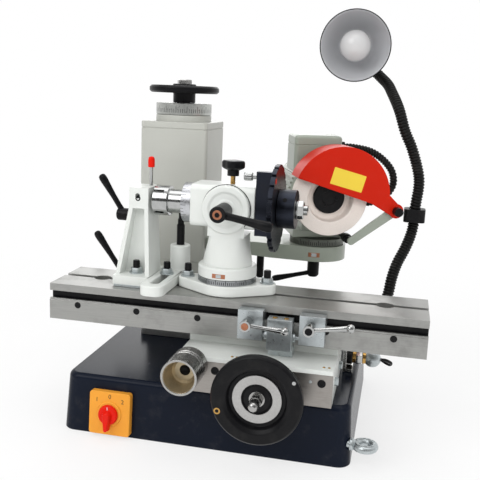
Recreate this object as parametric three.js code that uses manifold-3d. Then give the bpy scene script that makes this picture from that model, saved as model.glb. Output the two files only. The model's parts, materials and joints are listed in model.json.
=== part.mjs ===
// Universal tool and end mill grinder: a bench machine with a cross slide, a long table moved by
// a pinion and a rack, a workhead with an index plate, a tailstock, a column that goes up and
// down on a fixed ram, and a grinding head under a red guard. Millimetres, +Z up, +X to the right
// along the table, +Y to the back. The origin is the middle of the base's underside.
import * as THREE from "three";
import { mergeVertices, toCreasedNormals } from "three/addons/utils/BufferGeometryUtils.js";
import Module from "manifold-3d";

const wasm = await Module();
wasm.setup();

// Common sizes
const CLEAR = 0.3; // gap between pieces that touch or run in each other
const CUT = 2; // overrun of a cutting tool past the face that it opens
const WELD = 1e-3; // vertices nearer than this are one vertex
const ROUND = 20; // sides of a large turned piece
const FINE = 12; // sides of a small turned piece
const SMALL = 8; // sides of a stem, a bolt or a bore
const BEND = 2; // steps in the rounding of a corner

// Base
const BASE_LENGTH = 480;
const BASE_DEPTH = 400;
const BASE_HEIGHT = 97;
const BASE_SIDE_DRAFT = 5;
const BASE_FRONT_DRAFT = 8;
const BASE_CORNER = 22;
const BASE_EDGE = 8;

// Lifting eye on the base's right side
const EYE_Y = -184;
const EYE_Z = 35;
const EYE_RING_RADIUS = 14;
const EYE_WIRE = 6.5;
const EYE_SHANK = 6;
const EYE_SHANK_DEPTH = 18;
const EYE_COLLAR = 10;
const EYE_COLLAR_LENGTH = 7.5;

// Switch on the base's front
const SWITCH_X = -151;
const SWITCH_Z = 41;
const SWITCH_WIDTH = 70;
const SWITCH_HEIGHT = 72;
const SWITCH_THICKNESS = 13;
const SWITCH_CORNER = 6;
const SWITCH_STEM = 5;
const SWITCH_COLLAR = 22;
const SWITCH_COLLAR_THICKNESS = 3;
const KNOB_RADIUS = 17;
const KNOB_REACH = 27;
const KNOB_TIP = 4;
const KNOB_THICKNESS = 14;

// Bed of the cross slide
const BED_X = 83;
const BED_WIDTH = 166;
const BED_FRONT = -165;
const BED_BACK = 100;
const BED_PLATE = 6;
const RAIL_WIDTH = 32;
const RAIL_INSET = 8;
const RAIL_TOP = BASE_HEIGHT + 30;

// Cross screw and its nut on the bed
const SCREW_X = 99.5;
const SCREW_Z = BASE_HEIGHT + 22;
const SCREW_RADIUS = 8;
const SCREW_BACK = 62;
const SCREW_NOSE_FRONT = -286;
const SCREW_NUT_FRONT = -70;
const SCREW_NUT_BACK = -40;
const SCREW_NUT_WIDTH = 29;
const SCREW_NUT_TOP = BASE_HEIGHT + 38;
const SCREW_WASHER = 12.2;
const SCREW_WASHER_THICKNESS = 2.5;
const SCREW_DOME = 7.6;

// Saddle
const SADDLE_LEFT = -40;
const SADDLE_RIGHT = 206;
const SADDLE_FRONT = -198;
const SADDLE_BACK = -2;
const SADDLE_BOTTOM = BASE_HEIGHT + 0.6;
const SADDLE_TOP = BASE_HEIGHT + 60;
const SADDLE_LIP = 6;
const SADDLE_LIP_HEIGHT = 7;
const SADDLE_FRONT_WALL = 12;
const SADDLE_TUNNEL_TOP = BASE_HEIGHT + 43;
const SADDLE_TUNNEL_WIDTH = 65;
const FRONT_PLATE_BOTTOM = BASE_HEIGHT + 1;
const TABLE_RAIL_FRONT = -132;
const TABLE_RAIL_BACK = -80;
const DOVETAIL_NECK = 36;
const DOVETAIL_SPREAD = 48;
const DOVETAIL_HEIGHT = 11.3;

// Table and its drive
const TABLE_LEFT = -278.7;
const TABLE_RIGHT = 341.3;
const TABLE_FRONT = -159;
const TABLE_BACK = -37;
const TABLE_BOTTOM = BASE_HEIGHT + 80;
const TABLE_TOP = BASE_HEIGHT + 141;
const TABLE_PROUD = 1.5;
const SLOT_Y = -96;
const SLOT_WIDTH = 12;
const SLOT_NECK = 12;
const SLOT_FOOT_WIDTH = 24;
const SLOT_FOOT_HEIGHT = 9;
const POCKET_RADIUS = 15;
const POCKET_DEPTH = 14;
const POCKET_LEFT_X = -210;
const POCKET_RIGHT_X = 273;
const GROOVE_BOTTOM = BASE_HEIGHT + 116;
const GROOVE_TOP = BASE_HEIGHT + 128.5;
const GROOVE_NECK = 5;
const GROOVE_FOOT = 7;
const GROOVE_FOOT_EXTRA = 3.5;
const GEAR_MODULE = 2;
const PINION_TEETH = 17;
const PINION_X = -18;
const PINION_Z = BASE_HEIGHT + 46;
const PINION_FRONT = -74;
const PINION_WIDTH = 14;
const PINION_SHAFT = 8;
const PINION_SHAFT_BACK = -44;
const GEAR_BACKLASH = 0.5;
const PRESSURE_ANGLE = THREE.MathUtils.degToRad(20);
const RACK_TEETH = 52;
const RACK_MIDDLE_X = -18;

// Traverse hub
const HUB_RADIUS = 28.5;
const HUB_FRONT = -266;
const HUB_MOUTH = 25;
const HUB_MOUTH_DEPTH = 34;
const HUB_HOLE = 8.5;
const HUB_HOLE_DEPTH = 42;
const HUB_SEAT_DEPTH = 46;
const HUB_GROOVE = 1.2;
const HUB_GROOVES = 2;

// Cross handwheel
const WHEEL_RIM_FRONT = -262;
const WHEEL_RADIUS = 70;
const WHEEL_RIM_INNER = 45.5;
const WHEEL_RIM_THICKNESS = 16;
const WHEEL_RIM_CHAMFER = 3.5;
const WHEEL_DISH = 12.3;
const WHEEL_HUB = 23.4;
const WHEEL_HUB_RISE = 4;
const WHEEL_NECK = 22;
const WHEEL_RING_OUTER = 37.5;
const WHEEL_RING_THICKNESS = 3;

// Stop block and the two dogs
const STOP_LEFT = 97.3;
const STOP_RIGHT = 136.6;
const STOP_FRONT = -182;
const STOP_TOP = BASE_HEIGHT + 125.3;
const STOP_FOOT = BASE_HEIGHT + 75;
const STOP_TONGUE_BACK = -141;
const STOP_THICKNESS = 20.5;
const DOG_WIDTH = 39.6;
const DOG_LEFT_X = 70;
const DOG_RIGHT_X = 167;
const DOG_BOTTOM = BASE_HEIGHT + 88;
const DOG_TOP = BASE_HEIGHT + 135;
const DOG_FRONT = -180;
const DOG_SCREW_Z = BASE_HEIGHT + 95.6;
const DOG_SCREW_Y = -172;
const DOG_SCREW_HEAD = 7;
const DOG_SCREW_HEAD_LENGTH = 4;
const DOG_SCREW_SHANK = 3;
const DOG_LEVER_Y = -201;
const DOG_LEVER_LEFT_X = 68;
const DOG_LEVER_LEFT_Z = BASE_HEIGHT + 118;
const DOG_LEVER_LEFT_TIP_X = 128.6;
const DOG_LEVER_LEFT_TIP_Z = BASE_HEIGHT + 115;
const DOG_LEVER_RIGHT_X = 165.4;
const DOG_LEVER_RIGHT_Z = BASE_HEIGHT + 120.6;
const DOG_LEVER_RIGHT_TIP_X = 226.9;
const DOG_LEVER_RIGHT_TIP_Z = BASE_HEIGHT + 130.5;
const DOG_LEVER_HUB = 9;
const DOG_LEVER_BALL = 6.8;
const DOG_LEVER_NECK = 3.4;

// Workhead
const HEAD_X = 11.3;
const FLANGE_RADIUS = 52;
const FLANGE_EAR = 15;
const FLANGE_EAR_REACH = 68;
const FLANGE_TOP = BASE_HEIGHT + 159;
const FLANGE_BOLT = 6;
const SWIVEL_RING_RADIUS = 48.8;
const SWIVEL_RING_TOP = BASE_HEIGHT + 168;
const TURRET_TOP = BASE_HEIGHT + 187;
const NECK_BOTTOM = 40;
const NECK_TOP = 30;
const NECK_TOP_Z = BASE_HEIGHT + 239;
const NECK_FRONT = -136;
const BOSS_X = 14.5;
const BOSS_Z = BASE_HEIGHT + 283;
const BOSS_RADIUS = 39;
const BOSS_FRONT = -141;
const BOSS_DISH = 27;
const BOSS_DISH_DEPTH = 2;
const HEAD_FRONT = -132;
const HEAD_BACK = -60;
const HEAD_LEFT = -46.7;
const HEAD_RIGHT = 60;
const HEAD_BOTTOM = BASE_HEIGHT + 251;
const HEAD_TOP = BASE_HEIGHT + 320;
const HEAD_CORNER = 10;
const SPINDLE_Y = -96;
const SPINDLE_Z = BASE_HEIGHT + 284.7;
const SPINDLE_SHAFT = 14;
const SPINDLE_BORE = 9;
const NOSE_LEFT = -115.6;
const NOSE_SHOULDER = -89.4;
const NOSE_RADIUS = 25.3;
const NOSE_STEP_RADIUS = 20.1;
const NOSE_SLOT = 5;
const NOSE_SLOTS = 4;
const DIAL_LEFT = -63.7;
const DIAL_RADIUS = 33;
const INDEX_HOUSING_RIGHT = 84;
const INDEX_HOUSING_BOTTOM = BASE_HEIGHT + 243;
const INDEX_HOUSING_RADIUS = 32;
const INDEX_PLATE_LEFT = 85.3;
const INDEX_PLATE_RIGHT = 93;
const INDEX_PLATE_RADIUS = 71;
const INDEX_NOTCHES = 20;
const INDEX_NOTCH_DEPTH = 4;
const INDEX_PIN_RADIUS = 4;
const INDEX_PIN_OFFSET = 24;
const INDEX_PIN_HEAD = 7;
const COLLAR_RIGHT = 122;
const COLLAR_RADIUS = 31.7;
const COLLAR_HOLE = 4;
const DRAWBAR_RIGHT = 140;
const DRAWBAR_NUT_RIGHT = 134;
const DRAWBAR_NUT = 13;
const DRAWBAR_RADIUS = 8;
const TILT_HUB_RADIUS = 13;
const TILT_HUB_FRONT = -192;
const TILT_STUD = 6;
const TILT_TIP_X = 100;
const TILT_TIP_Y = -185;
const TILT_TIP_Z = BASE_HEIGHT + 268;
const STAR_X = 15.2;
const STAR_SCREW = 4;
const STAR_SCREW_DEPTH = 10;
const STAR_HUB = 9.7;
const STAR_HUB_BOTTOM = BASE_HEIGHT + 333;
const STAR_BOTTOM = BASE_HEIGHT + 342;
const STAR_TOP = BASE_HEIGHT + 358.4;
const STAR_RADIUS = 19;
const STAR_LOBES = 4;
const STAR_STEPS = 24;
const STAR_LOBE_SHARE = 0.1;

// Tailstock
const TAIL_LEFT = -174;
const TAIL_RIGHT = -114.5;
const TAIL_FRONT = -141;
const TAIL_BACK = -50;
const TAIL_FOOT_TOP = BASE_HEIGHT + 160;
const TAIL_HEAD_LEFT = -155;
const TAIL_HEAD_RIGHT = -121.5;
const TAIL_HEAD_FRONT = -118;
const TAIL_HEAD_BACK = -68;
const TAIL_HEAD_BOTTOM = BASE_HEIGHT + 271;
const TAIL_HEAD_TOP = BASE_HEIGHT + 306;
const TAIL_RIB = 7;
const TAIL_WEB_FRONT = -100;
const TAIL_CLAMP_BORE = 4.5;
const TAIL_CLAMP_Z = BASE_HEIGHT + 292;
const QUILL_Z = BASE_HEIGHT + 290;
const QUILL_RADIUS = 7;
const QUILL_TIP = -119.8;
const QUILL_KNOB = 3.8;
const QUILL_KNOB_LEFT = -159;
const QUILL_LEVER_X = -129.5;
const QUILL_LEVER_Y = -82;
const QUILL_LEVER_ROD = 3;
const QUILL_LEVER_TOP = BASE_HEIGHT + 355;
const QUILL_CAP_RADIUS = 5.8;
const QUILL_CAP_BOTTOM = BASE_HEIGHT + 337;

// Tooth rest
const REST_X = -94;
const REST_HALF = 20;
const REST_FRONT = -185;
const REST_BACK = -34;
const REST_TOP = BASE_HEIGHT + 159;
const REST_SLOT = 7;
const REST_SLOT_FRONT = -165;
const REST_SLOT_BACK = -84;
const REST_BOSS_X = -84;
const REST_BOSS_Y = -54;
const REST_BOSS_RADIUS = 17.5;
const REST_BOSS_TOP = BASE_HEIGHT + 203;
const REST_ROD = 7;
const REST_ROD_BOTTOM = BASE_HEIGHT + 165;
const REST_ROD_SHOULDER = BASE_HEIGHT + 248;
const REST_ROD_NECK = 4.2;
const REST_ROD_TOP = BASE_HEIGHT + 258;

// Column
const COLUMN_LEFT = -190;
const COLUMN_RIGHT = -64;
const COLUMN_FRONT = 28;
const COLUMN_BACK = 152;
const COLUMN_BOTTOM = BASE_HEIGHT + 87;
const COLUMN_TOP = BASE_HEIGHT + 409;
const COLUMN_CORNER = 6;
const COLUMN_SEAM_LOW = BASE_HEIGHT + 153;
const COLUMN_SEAM_HIGH = BASE_HEIGHT + 397;
const COLUMN_SEAM = 1.5;
const COLUMN_RING_RADIUS = 52;
const COLUMN_RING_TOP = BASE_HEIGHT + 420.5;
const COLUMN_DIAL_TOP = BASE_HEIGHT + 442;
const COLUMN_CEILING = COLUMN_TOP - 14;
const RAM_SIDE = 100;
const COLUMN_FALL = 65;
const RAM_TOP = COLUMN_CEILING - COLUMN_FALL - CUT;
const RAM_FOOT = 120;
const RAM_FOOT_TOP = BASE_HEIGHT + 20;
const RAM_BORE_BOTTOM = BASE_HEIGHT + 133;
const LIFT_SCREW = 10;
const LIFT_SCREW_BOTTOM = BASE_HEIGHT + 203;
const LIFT_WHEEL_RADIUS = 65;
const LIFT_RIM_BOTTOM = BASE_HEIGHT + 460;
const LIFT_RIM_TOP = BASE_HEIGHT + 474;
const LIFT_NECK = 21;
const LIFT_NECK_TOP = BASE_HEIGHT + 447;
const LIFT_HUB_TOP = BASE_HEIGHT + 477;
const LIFT_NUT_TOP = BASE_HEIGHT + 485;
const LEVER_Y = 60;
const LEVER_HUB_LEFT = -246;
const LEVER_HUB_RADIUS = 12;
const LEVER_STUD = 7;
const LEVER_WIDTH = 8.5;
const UPPER_LEVER_Z = BASE_HEIGHT + 227;
const UPPER_TIP_X = -281;
const UPPER_TIP_Z = BASE_HEIGHT + 301;
const LOWER_LEVER_Z = BASE_HEIGHT + 106;
const LOWER_TIP_X = -291;
const LOWER_TIP_Z = BASE_HEIGHT + 189;

// Arm and the swivel under the grinding motor
const SWIVEL_X = 136.5;
const SWIVEL_Y = 90;
const ARM_FRONT = 40;
const ARM_BACK = 140;
const ARM_END_RADIUS = 54;
const ARM_TOP = BASE_HEIGHT + 198;
const ARM_ROOT_BOTTOM = BASE_HEIGHT + 177;
const ARM_END_BOTTOM = BASE_HEIGHT + 171;
const ARM_TAPER_END_X = 60;
const ARM_LEVER_X = 135;
const ARM_LEVER_Y = 75;
const ARM_LEVER_BOTTOM = BASE_HEIGHT + 135;
const ARM_LEVER_RADIUS = 11;
const ARM_LEVER_TIP_X = 60;
const ARM_LEVER_TIP_Y = 60;
const ARM_LEVER_TIP_Z = BASE_HEIGHT + 125;
const GRIP_X = 36;
const GRIP_Y = 68;
const GRIP_RADIUS = 7;
const GRIP_BOTTOM = BASE_HEIGHT + 125;
const SWIVEL_DISC = 50;
const SWIVEL_DISC_TOP = BASE_HEIGHT + 211;
const SPIGOT_RADIUS = 14;
const SPIGOT_DEPTH = 15;

// Grinding head, in the swivel's own frame: its -Y is the wheel's side, turned by the yaw
const HEAD_YAW = THREE.MathUtils.degToRad(20);
const AXLE_Z = BASE_HEIGHT + 291;
const MOTOR_RADIUS = 66;
const MOTOR_FRONT = -45;
const MOTOR_BELL = -30;
const MOTOR_STATOR_BACK = 80;
const MOTOR_BACK = 112;
const MOTOR_FINS = 20;
const MOTOR_FIN_HEIGHT = 4;
const MOTOR_BASE_HALF = 52;
const MOTOR_BASE_FRONT = -30;
const MOTOR_BASE_BACK = 62;
const MOTOR_BASE_TOP = BASE_HEIGHT + 225;
const TERMINAL_LEFT = -55;
const TERMINAL_RIGHT = 32;
const TERMINAL_FRONT = -25;
const TERMINAL_BACK = 48;
const TERMINAL_TOP = BASE_HEIGHT + 396;
const GLAND_RADIUS = 10;
const GLAND_LENGTH = 9;
const TOP_GLAND_Y = 0;
const TOP_GLAND_Z = BASE_HEIGHT + 375;
const LOW_GLAND_Z = BASE_HEIGHT + 275;
const LOW_GLAND_Y = -12;
const LOW_GLAND_X = 62;
const GRIND_RADIUS = 65;
const GRIND_FRONT = -85;
const GRIND_BACK = -60;
const GRIND_RECESS_RADIUS = 40;
const GRIND_RECESS = 18;
const GRIND_BORE = 16;
const NUT_FLANGE_RADIUS = 28;
const NUT_FLANGE_THICKNESS = 6;
const BACK_FLANGE_RADIUS = 24;
const ARBOR_RADIUS = 9;
const ARBOR_SEAT = 25;
const GUARD_RADIUS = 84;
const GUARD_X = 15.5;
const GUARD_Z = BASE_HEIGHT + 299;
const GUARD_FRONT = -104;
const GUARD_BACK = -45.5;
const GUARD_SHEET = 2.6;
const GUARD_START = THREE.MathUtils.degToRad(2);
const GUARD_END = THREE.MathUtils.degToRad(160);
const GUARD_LIP_X = 67.6;
const GUARD_LIP_Z = BASE_HEIGHT + 286.8;
const EAR_X = 113;
const EAR_Z = BASE_HEIGHT + 274.4;
const EAR_RADIUS = 13;
const EAR_STUD = 5;
const EAR_KNOB = 7.8;
const EAR_KNOB_FRONT = -120;
const BAR_THICKNESS = 5;
const BAR_FRONT = -98;
const BAR_HALF = 5.5;
const BAR_X = 38;
const BAR_Z = BASE_HEIGHT + 219;
const BAR_KNOB_Y = -67;
const BAR_KNOB = 8.5;
const CONDUIT_OUTER = 7;
const CONDUIT_SIDES = 10;
const CONDUIT_STEPS = 14;

// Lamp
const BRACKET_LEFT = 209;
const BRACKET_THICKNESS = 6;
const BRACKET_FRONT = -45;
const BRACKET_BACK = 5;
const BRACKET_TOP = BASE_HEIGHT + 45;
const BRACKET_FOOT = 17;
const FITTING_Y = -20;
const FITTING_Z = BASE_HEIGHT + 21;
const FITTING_NUT = 15;
const FITTING_HEX = 13;
const FITTING_RING = 11;
const FITTING_ELBOW = 15;
const FITTING_ELBOW_X = 258;
const FITTING_FOOT = 7;
const HOSE_OUTER = 10;
const HOSE_ROOT = 8.3;
const HOSE_BORE = 6;
const HOSE_PITCH = 6.6;
const HOSE_SIDES = 8;
const HOSE_BORE_RIBS = 2; // ribs between two rings of the bore
const HOSE_STRAIGHT = HOSE_OUTER * 2;
const CLIP_LEFT = 291;
const CLIP_RIGHT = 329;
const CLIP_Y = 90;
const CLIP_BOTTOM = BASE_HEIGHT + 249;
const CLIP_TOP = BASE_HEIGHT + 273;
const CLIP_DEPTH = 32;
const SHADE_RADIUS = 63.5;
const SHADE_DEPTH = 75;
const SHADE_WALL = 1.6;
const SHADE_SOCKET = 24;
const SHADE_SOCKET_LENGTH = 28;
const SHADE_SPIGOT = 10;
const SHADE_X = 183;
const SHADE_Y = 105;
const SHADE_Z = BASE_HEIGHT + 555;
const BULB_RADIUS = 28;
const BULB_NECK = 13;
const LEAD_RADIUS = 2.5;
const LEAD_SIDES = 8;
const LEAD_STEPS = 20;

// Finishes of the pieces
const finish = (color, roughness, metalness = 0) => ({ color, roughness, metalness });
const NAVY = finish(0x0b0f18, 0.25);
const WHITE = finish(0xe6e8e2, 0.35);
const GREYWHITE = finish(0xb9bbb4, 0.45);
const STEEL = finish(0x9b9a96, 0.35, 0.9);
const CHROME = finish(0xd5d8da, 0.12, 1);
const ZINC = finish(0xb4b6b8, 0.28, 0.9);
const BLACK = finish(0x111213, 0.4);
const BLACK_STEEL = finish(0x1b1c1e, 0.35, 0.6);
const RED = finish(0xc4200c, 0.3);
const ORANGE = finish(0xf0a030, 0.4);
const STONE = finish(0xd9c9c4, 0.9);
const ALUMINIUM = finish(0xc3c5c8, 0.3, 0.9);
const GLASS = finish(0xf4f4f0, 0.3);

// A closed solid of manifold-3d from a geometry, whichever way its faces were wound
function solidOf(geometry) {
  const bare = new THREE.BufferGeometry();
  bare.setAttribute("position", geometry.getAttribute("position").clone());
  if (geometry.index) bare.setIndex(geometry.index.clone());
  const welded = mergeVertices(bare, WELD);
  const points = welded.attributes.position.array;
  const corners = welded.index.array;
  const kept = [];
  const vertex = (i) => new THREE.Vector3().fromArray(points, i * 3);
  let volume = 0;
  for (let i = 0; i < corners.length; i += 3) {
    const [a, b, c] = corners.slice(i, i + 3);
    if (a === b || b === c || c === a) continue;
    kept.push(a, b, c);
    volume += vertex(a).dot(vertex(b).cross(vertex(c)));
  }
  const faces = volume < 0 ? kept.reverse() : kept;
  const triVerts = new Uint32Array(faces);
  return new wasm.Manifold(new wasm.Mesh({ numProp: 3, vertProperties: points, triVerts }));
}

function geometryOf(solid) {
  const { numProp, vertProperties, triVerts } = solid.getMesh();
  const points = new Float32Array((vertProperties.length / numProp) * 3);
  for (let i = 0; i < points.length / 3; i += 1) {
    points.set(vertProperties.subarray(i * numProp, i * numProp + 3), i * 3);
  }
  const geometry = new THREE.BufferGeometry();
  geometry.setAttribute("position", new THREE.BufferAttribute(points, 3));
  geometry.setIndex(new THREE.BufferAttribute(new Uint32Array(triVerts), 1));
  return geometry;
}

const join = (...parts) => geometryOf(parts.map(solidOf).reduce((a, b) => a.add(b)));
const cut = (body, ...tools) => geometryOf(tools.map(solidOf).reduce(
  (a, b) => a.subtract(b), solidOf(body),
));
const common = (a, b) => geometryOf(solidOf(a).intersect(solidOf(b)));

// A box between two corners
function block(x0, x1, y0, y1, z0, z1) {
  const box = new THREE.BoxGeometry(x1 - x0, y1 - y0, z1 - z0);
  return box.translate((x0 + x1) / 2, (y0 + y1) / 2, (z0 + z1) / 2);
}

// A piece turned about +Z from [radius, height] pairs
function turned(profile, sides = FINE) {
  const outline = profile.map(([radius, height]) => new THREE.Vector2(radius, height));
  return new THREE.LatheGeometry(outline, sides).rotateX(Math.PI / 2);
}

// A solid rod about +Z
const rod = (radius, low, high, sides = FINE) =>
  turned([[0, low], [radius, low], [radius, high], [0, high]], sides);

// The tool that opens a bore for a rod: its flats, not its corners, keep the clearance
const bore = (radius, low, high, sides = SMALL) =>
  rod((radius + CLEAR) / Math.cos(Math.PI / sides), low, high, sides);

// A tube about +Z
const tube = (outer, inner, low, high, sides = FINE) =>
  turned([[inner, low], [outer, low], [outer, high], [inner, high], [inner, low]], sides);

// Turning a piece's +Z to the front, to the right or to the left
const facingFront = (geometry) => geometry.rotateX(Math.PI / 2);
const facingRight = (geometry) => geometry.rotateY(Math.PI / 2);
const facingLeft = (geometry) => geometry.rotateY(-Math.PI / 2);

// Points of an arc, ends included
function arc(x, y, radius, from, to, steps) {
  return Array.from({ length: steps + 1 }, (_, i) => {
    const angle = from + ((to - from) * i) / steps;
    return [x + radius * Math.cos(angle), y + radius * Math.sin(angle)];
  });
}

// A rectangle's outline with round corners
function roundedOutline(x0, x1, y0, y1, radius, steps = BEND) {
  const quarter = Math.PI / 2;
  return [
    ...arc(x1 - radius, y0 + radius, radius, -quarter, 0, steps),
    ...arc(x1 - radius, y1 - radius, radius, 0, quarter, steps),
    ...arc(x0 + radius, y1 - radius, radius, quarter, 2 * quarter, steps),
    ...arc(x0 + radius, y0 + radius, radius, 2 * quarter, 3 * quarter, steps),
  ];
}

// An outline in X and Y, raised from one height to another
function raised(outline, low, high) {
  const shape = new THREE.Shape(outline.map(([x, y]) => new THREE.Vector2(x, y)));
  const solid = new THREE.ExtrudeGeometry(shape, { depth: high - low, bevelEnabled: false });
  return solid.translate(0, 0, low);
}

// An outline in Y and Z, drawn out along X
function alongX(outline, left, right) {
  const axes = new THREE.Matrix4().makeBasis(
    new THREE.Vector3(0, 1, 0), new THREE.Vector3(0, 0, 1), new THREE.Vector3(1, 0, 0));
  return raised(outline, left, right).applyMatrix4(axes);
}

// An outline in X and Z, drawn out along Y
function alongY(outline, front, back) {
  const axes = new THREE.Matrix4().makeBasis(
    new THREE.Vector3(1, 0, 0), new THREE.Vector3(0, 0, 1), new THREE.Vector3(0, -1, 0));
  return raised(outline, -back, -front).applyMatrix4(axes);
}

// A closed skin over rings of as many points each, with a fan on each end
function loft(rings) {
  const size = rings[0].length;
  const middle = (ring) => ring.reduce((sum, p) => sum.add(p), new THREE.Vector3()).divideScalar(size);
  const points = [...rings.flat(), middle(rings[0]), middle(rings.at(-1))];
  const first = size * (rings.length - 1);
  const faces = [];
  for (let i = 0; i < size; i += 1) {
    const next = (i + 1) % size;
    for (let k = 0; k < rings.length - 1; k += 1) {
      const low = k * size;
      const high = low + size;
      faces.push(low + i, low + next, high + next, low + i, high + next, high + i);
    }
    faces.push(points.length - 2, next, i, points.length - 1, first + i, first + next);
  }
  const geometry = new THREE.BufferGeometry().setFromPoints(points);
  return geometry.setIndex(faces);
}

const ringAt = (outline, z) => outline.map(([x, y]) => new THREE.Vector3(x, y, z));

// A limb along points, with an oval section [half across, half along the flat's own direction]
function limb(path, sizes, flat, sides = SMALL) {
  const rings = path.map((point, i) => {
    const ahead = path[Math.min(
      i + 1, path.length - 1,
    )].clone().sub(path[Math.max(i - 1, 0)]).normalize();
    const across = new THREE.Vector3().crossVectors(ahead, flat).normalize();
    const other = new THREE.Vector3().crossVectors(across, ahead);
    return Array.from({ length: sides }, (_, k) => {
      const angle = (2 * Math.PI * k) / sides;
      return point.clone()
        .addScaledVector(across, sizes[i][0] * Math.cos(angle))
        .addScaledVector(other, sizes[i][1] * Math.sin(angle));
    });
  });
  return loft(rings);
}

const at = (x, y, z) => new THREE.Vector3(x, y, z);

// A point of a route, at a height above the base's top
const above = (x, y, rise) => at(x, y, BASE_HEIGHT + rise);

// A straight lever arm that swells at its rounded tip
function leverArm(from, to, width, thickness, flat) {
  const lengthShares = [0, 0.25, 0.7, 0.88, 0.97, 1];
  const swellShares = [0.82, 0.68, 0.86, 1, 0.82, 0.35];
  const path = lengthShares.map((share) => from.clone().lerp(to, share));
  return limb(path, swellShares.map((share) => [width * share, thickness * share]), flat);
}

// A tube with round ribs along a curve: straight at both ends, and open through its bore
function ribbedHose(curve) {
  const length = curve.getLength();
  const ribs = Math.round((length - HOSE_STRAIGHT * 2) / HOSE_PITCH);
  const inset = (length - ribs * HOSE_PITCH) / 2;
  const ribShares = [0.3, 0.8]; // a rib's crest and the root behind it, along one pitch
  const stations = [0, inset];
  for (let i = 0; i < ribs; i += 1) {
    stations.push(...ribShares.map((share) => inset + (i + share) * HOSE_PITCH));
  }
  stations.push(length - inset, length);
  const last = stations.length - 1;
  const frame = framesAt(curve, stations.map((station) => station / length));
  const isRoot = (i) => i < 2 || i > last - 2 || i % 2 === 1;
  const isBoreRing = (i) => i % (HOSE_BORE_RIBS * 2) === 0 || i === last;
  const boreRings = stations.map((_, i) => i).filter(isBoreRing).reverse();
  const ringOf = (i, size) => Array.from({ length: HOSE_SIDES }, (_, k) => {
    const angle = (2 * Math.PI * k) / HOSE_SIDES;
    return frame[i].point.clone()
      .addScaledVector(frame[i].across, size * Math.cos(angle))
      .addScaledVector(frame[i].other, size * Math.sin(angle));
  });
  const rings = [
    ...stations.map((_, i) => ringOf(i, isRoot(i) ? HOSE_ROOT : HOSE_OUTER)),
    ...boreRings.map((i) => ringOf(i, HOSE_BORE)),
  ];
  const faces = [];
  rings.forEach((_, k) => {
    const low = k * HOSE_SIDES;
    const high = ((k + 1) % rings.length) * HOSE_SIDES;
    for (let i = 0; i < HOSE_SIDES; i += 1) {
      const next = (i + 1) % HOSE_SIDES;
      faces.push(low + i, low + next, high + next, low + i, high + next, high + i);
    }
  });
  return new THREE.BufferGeometry().setFromPoints(rings.flat()).setIndex(faces);
}

// A round solid of a few sides, drawn along a curve
function drawnTube(radius, sides, steps, curve) {
  const outline = arc(0, 0, radius, 0, 2 * Math.PI, sides).slice(0, -1);
  const shape = new THREE.Shape(outline.map(([x, y]) => new THREE.Vector2(x, y)));
  return new THREE.ExtrudeGeometry(shape, { steps, extrudePath: curve, bevelEnabled: false });
}

// Frames along a curve that turn no more than the curve does
function framesAt(curve, shares) {
  const frames = [];
  shares.forEach((share, i) => {
    const point = curve.getPointAt(share);
    const ahead = curve.getTangentAt(share);
    const guide = i ? frames[i - 1].across : new THREE.Vector3(1, 0, 0);
    const other = new THREE.Vector3().crossVectors(ahead, guide).normalize();
    const across = new THREE.Vector3().crossVectors(other, ahead);
    frames.push({ point, across, other });
  });
  return frames;
}

// A hexagon nut about +Z
const hexagon = (radius, low, high) => rod(radius, low, high, 6);

const machine = new THREE.Group();

// Adds one named piece to a group
function piece(name, geometry, look, group = machine) {
  const clean = geometryOf(solidOf(geometry));
  const mesh = new THREE.Mesh(
    toCreasedNormals(clean, Math.PI / 5), new THREE.MeshStandardMaterial(look),
  );
  mesh.name = name;
  group.add(mesh);
  return mesh;
}

// Base casting, with its front leaning back and the bores of the eye and the switch
const frontLean = Math.atan2(BASE_FRONT_DRAFT, BASE_HEIGHT);
const sideAt = (z) => BASE_LENGTH / 2 - (BASE_SIDE_DRAFT * z) / BASE_HEIGHT;
const frontAt = (z) => -BASE_DEPTH / 2 + (BASE_FRONT_DRAFT * z) / BASE_HEIGHT;

function baseRing(z, inset) {
  const x = sideAt(z) - inset;
  const y = -frontAt(z) - inset;
  return ringAt(roundedOutline(-x, x, -y, y, BASE_CORNER - inset), z);
}

function base() {
  const rings = [baseRing(0, 0)];
  arc(0, 0, BASE_EDGE, 0, Math.PI / 2, BEND).forEach(([out, up]) => {
    rings.push(baseRing(BASE_HEIGHT - BASE_EDGE + up, BASE_EDGE - out));
  });
  const eyeBore = facingRight(bore(
    EYE_SHANK, BASE_LENGTH / 2 - EYE_SHANK_DEPTH - CLEAR, BASE_LENGTH / 2 + CUT,
  ));
  return cut(loft(rings), eyeBore.translate(0, EYE_Y, EYE_Z));
}

function eyeBolt() {
  const face = sideAt(EYE_Z - EYE_COLLAR) + CLEAR;
  const ringX = face + EYE_COLLAR_LENGTH + EYE_RING_RADIUS;
  const ring = new THREE.TorusGeometry(
    EYE_RING_RADIUS, EYE_WIRE, SMALL, FINE,
  ).translate(ringX, EYE_Y, EYE_Z);
  const shank = rod(EYE_SHANK, BASE_LENGTH / 2 - EYE_SHANK_DEPTH, face + EYE_COLLAR_LENGTH, SMALL);
  const collar = rod(EYE_COLLAR, face, face + EYE_COLLAR_LENGTH + EYE_WIRE / 2);
  const stem = facingRight(join(shank, collar)).translate(0, EYE_Y, EYE_Z);
  const hole = rod(
    EYE_RING_RADIUS - EYE_WIRE, EYE_Z - EYE_COLLAR - CUT, EYE_Z + EYE_COLLAR + CUT,
  ).translate(ringX, EYE_Y, 0);
  return join(ring, cut(stem, hole));
}

piece("base", base(), NAVY);
piece("eye_bolt", eyeBolt(), CHROME);

// Switch, in a frame that leans with the base's front
const switchBox = new THREE.Group();
switchBox.position.set(SWITCH_X, frontAt(SWITCH_Z), SWITCH_Z);
switchBox.rotation.x = Math.PI / 2 - frontLean;
machine.add(switchBox);

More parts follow.
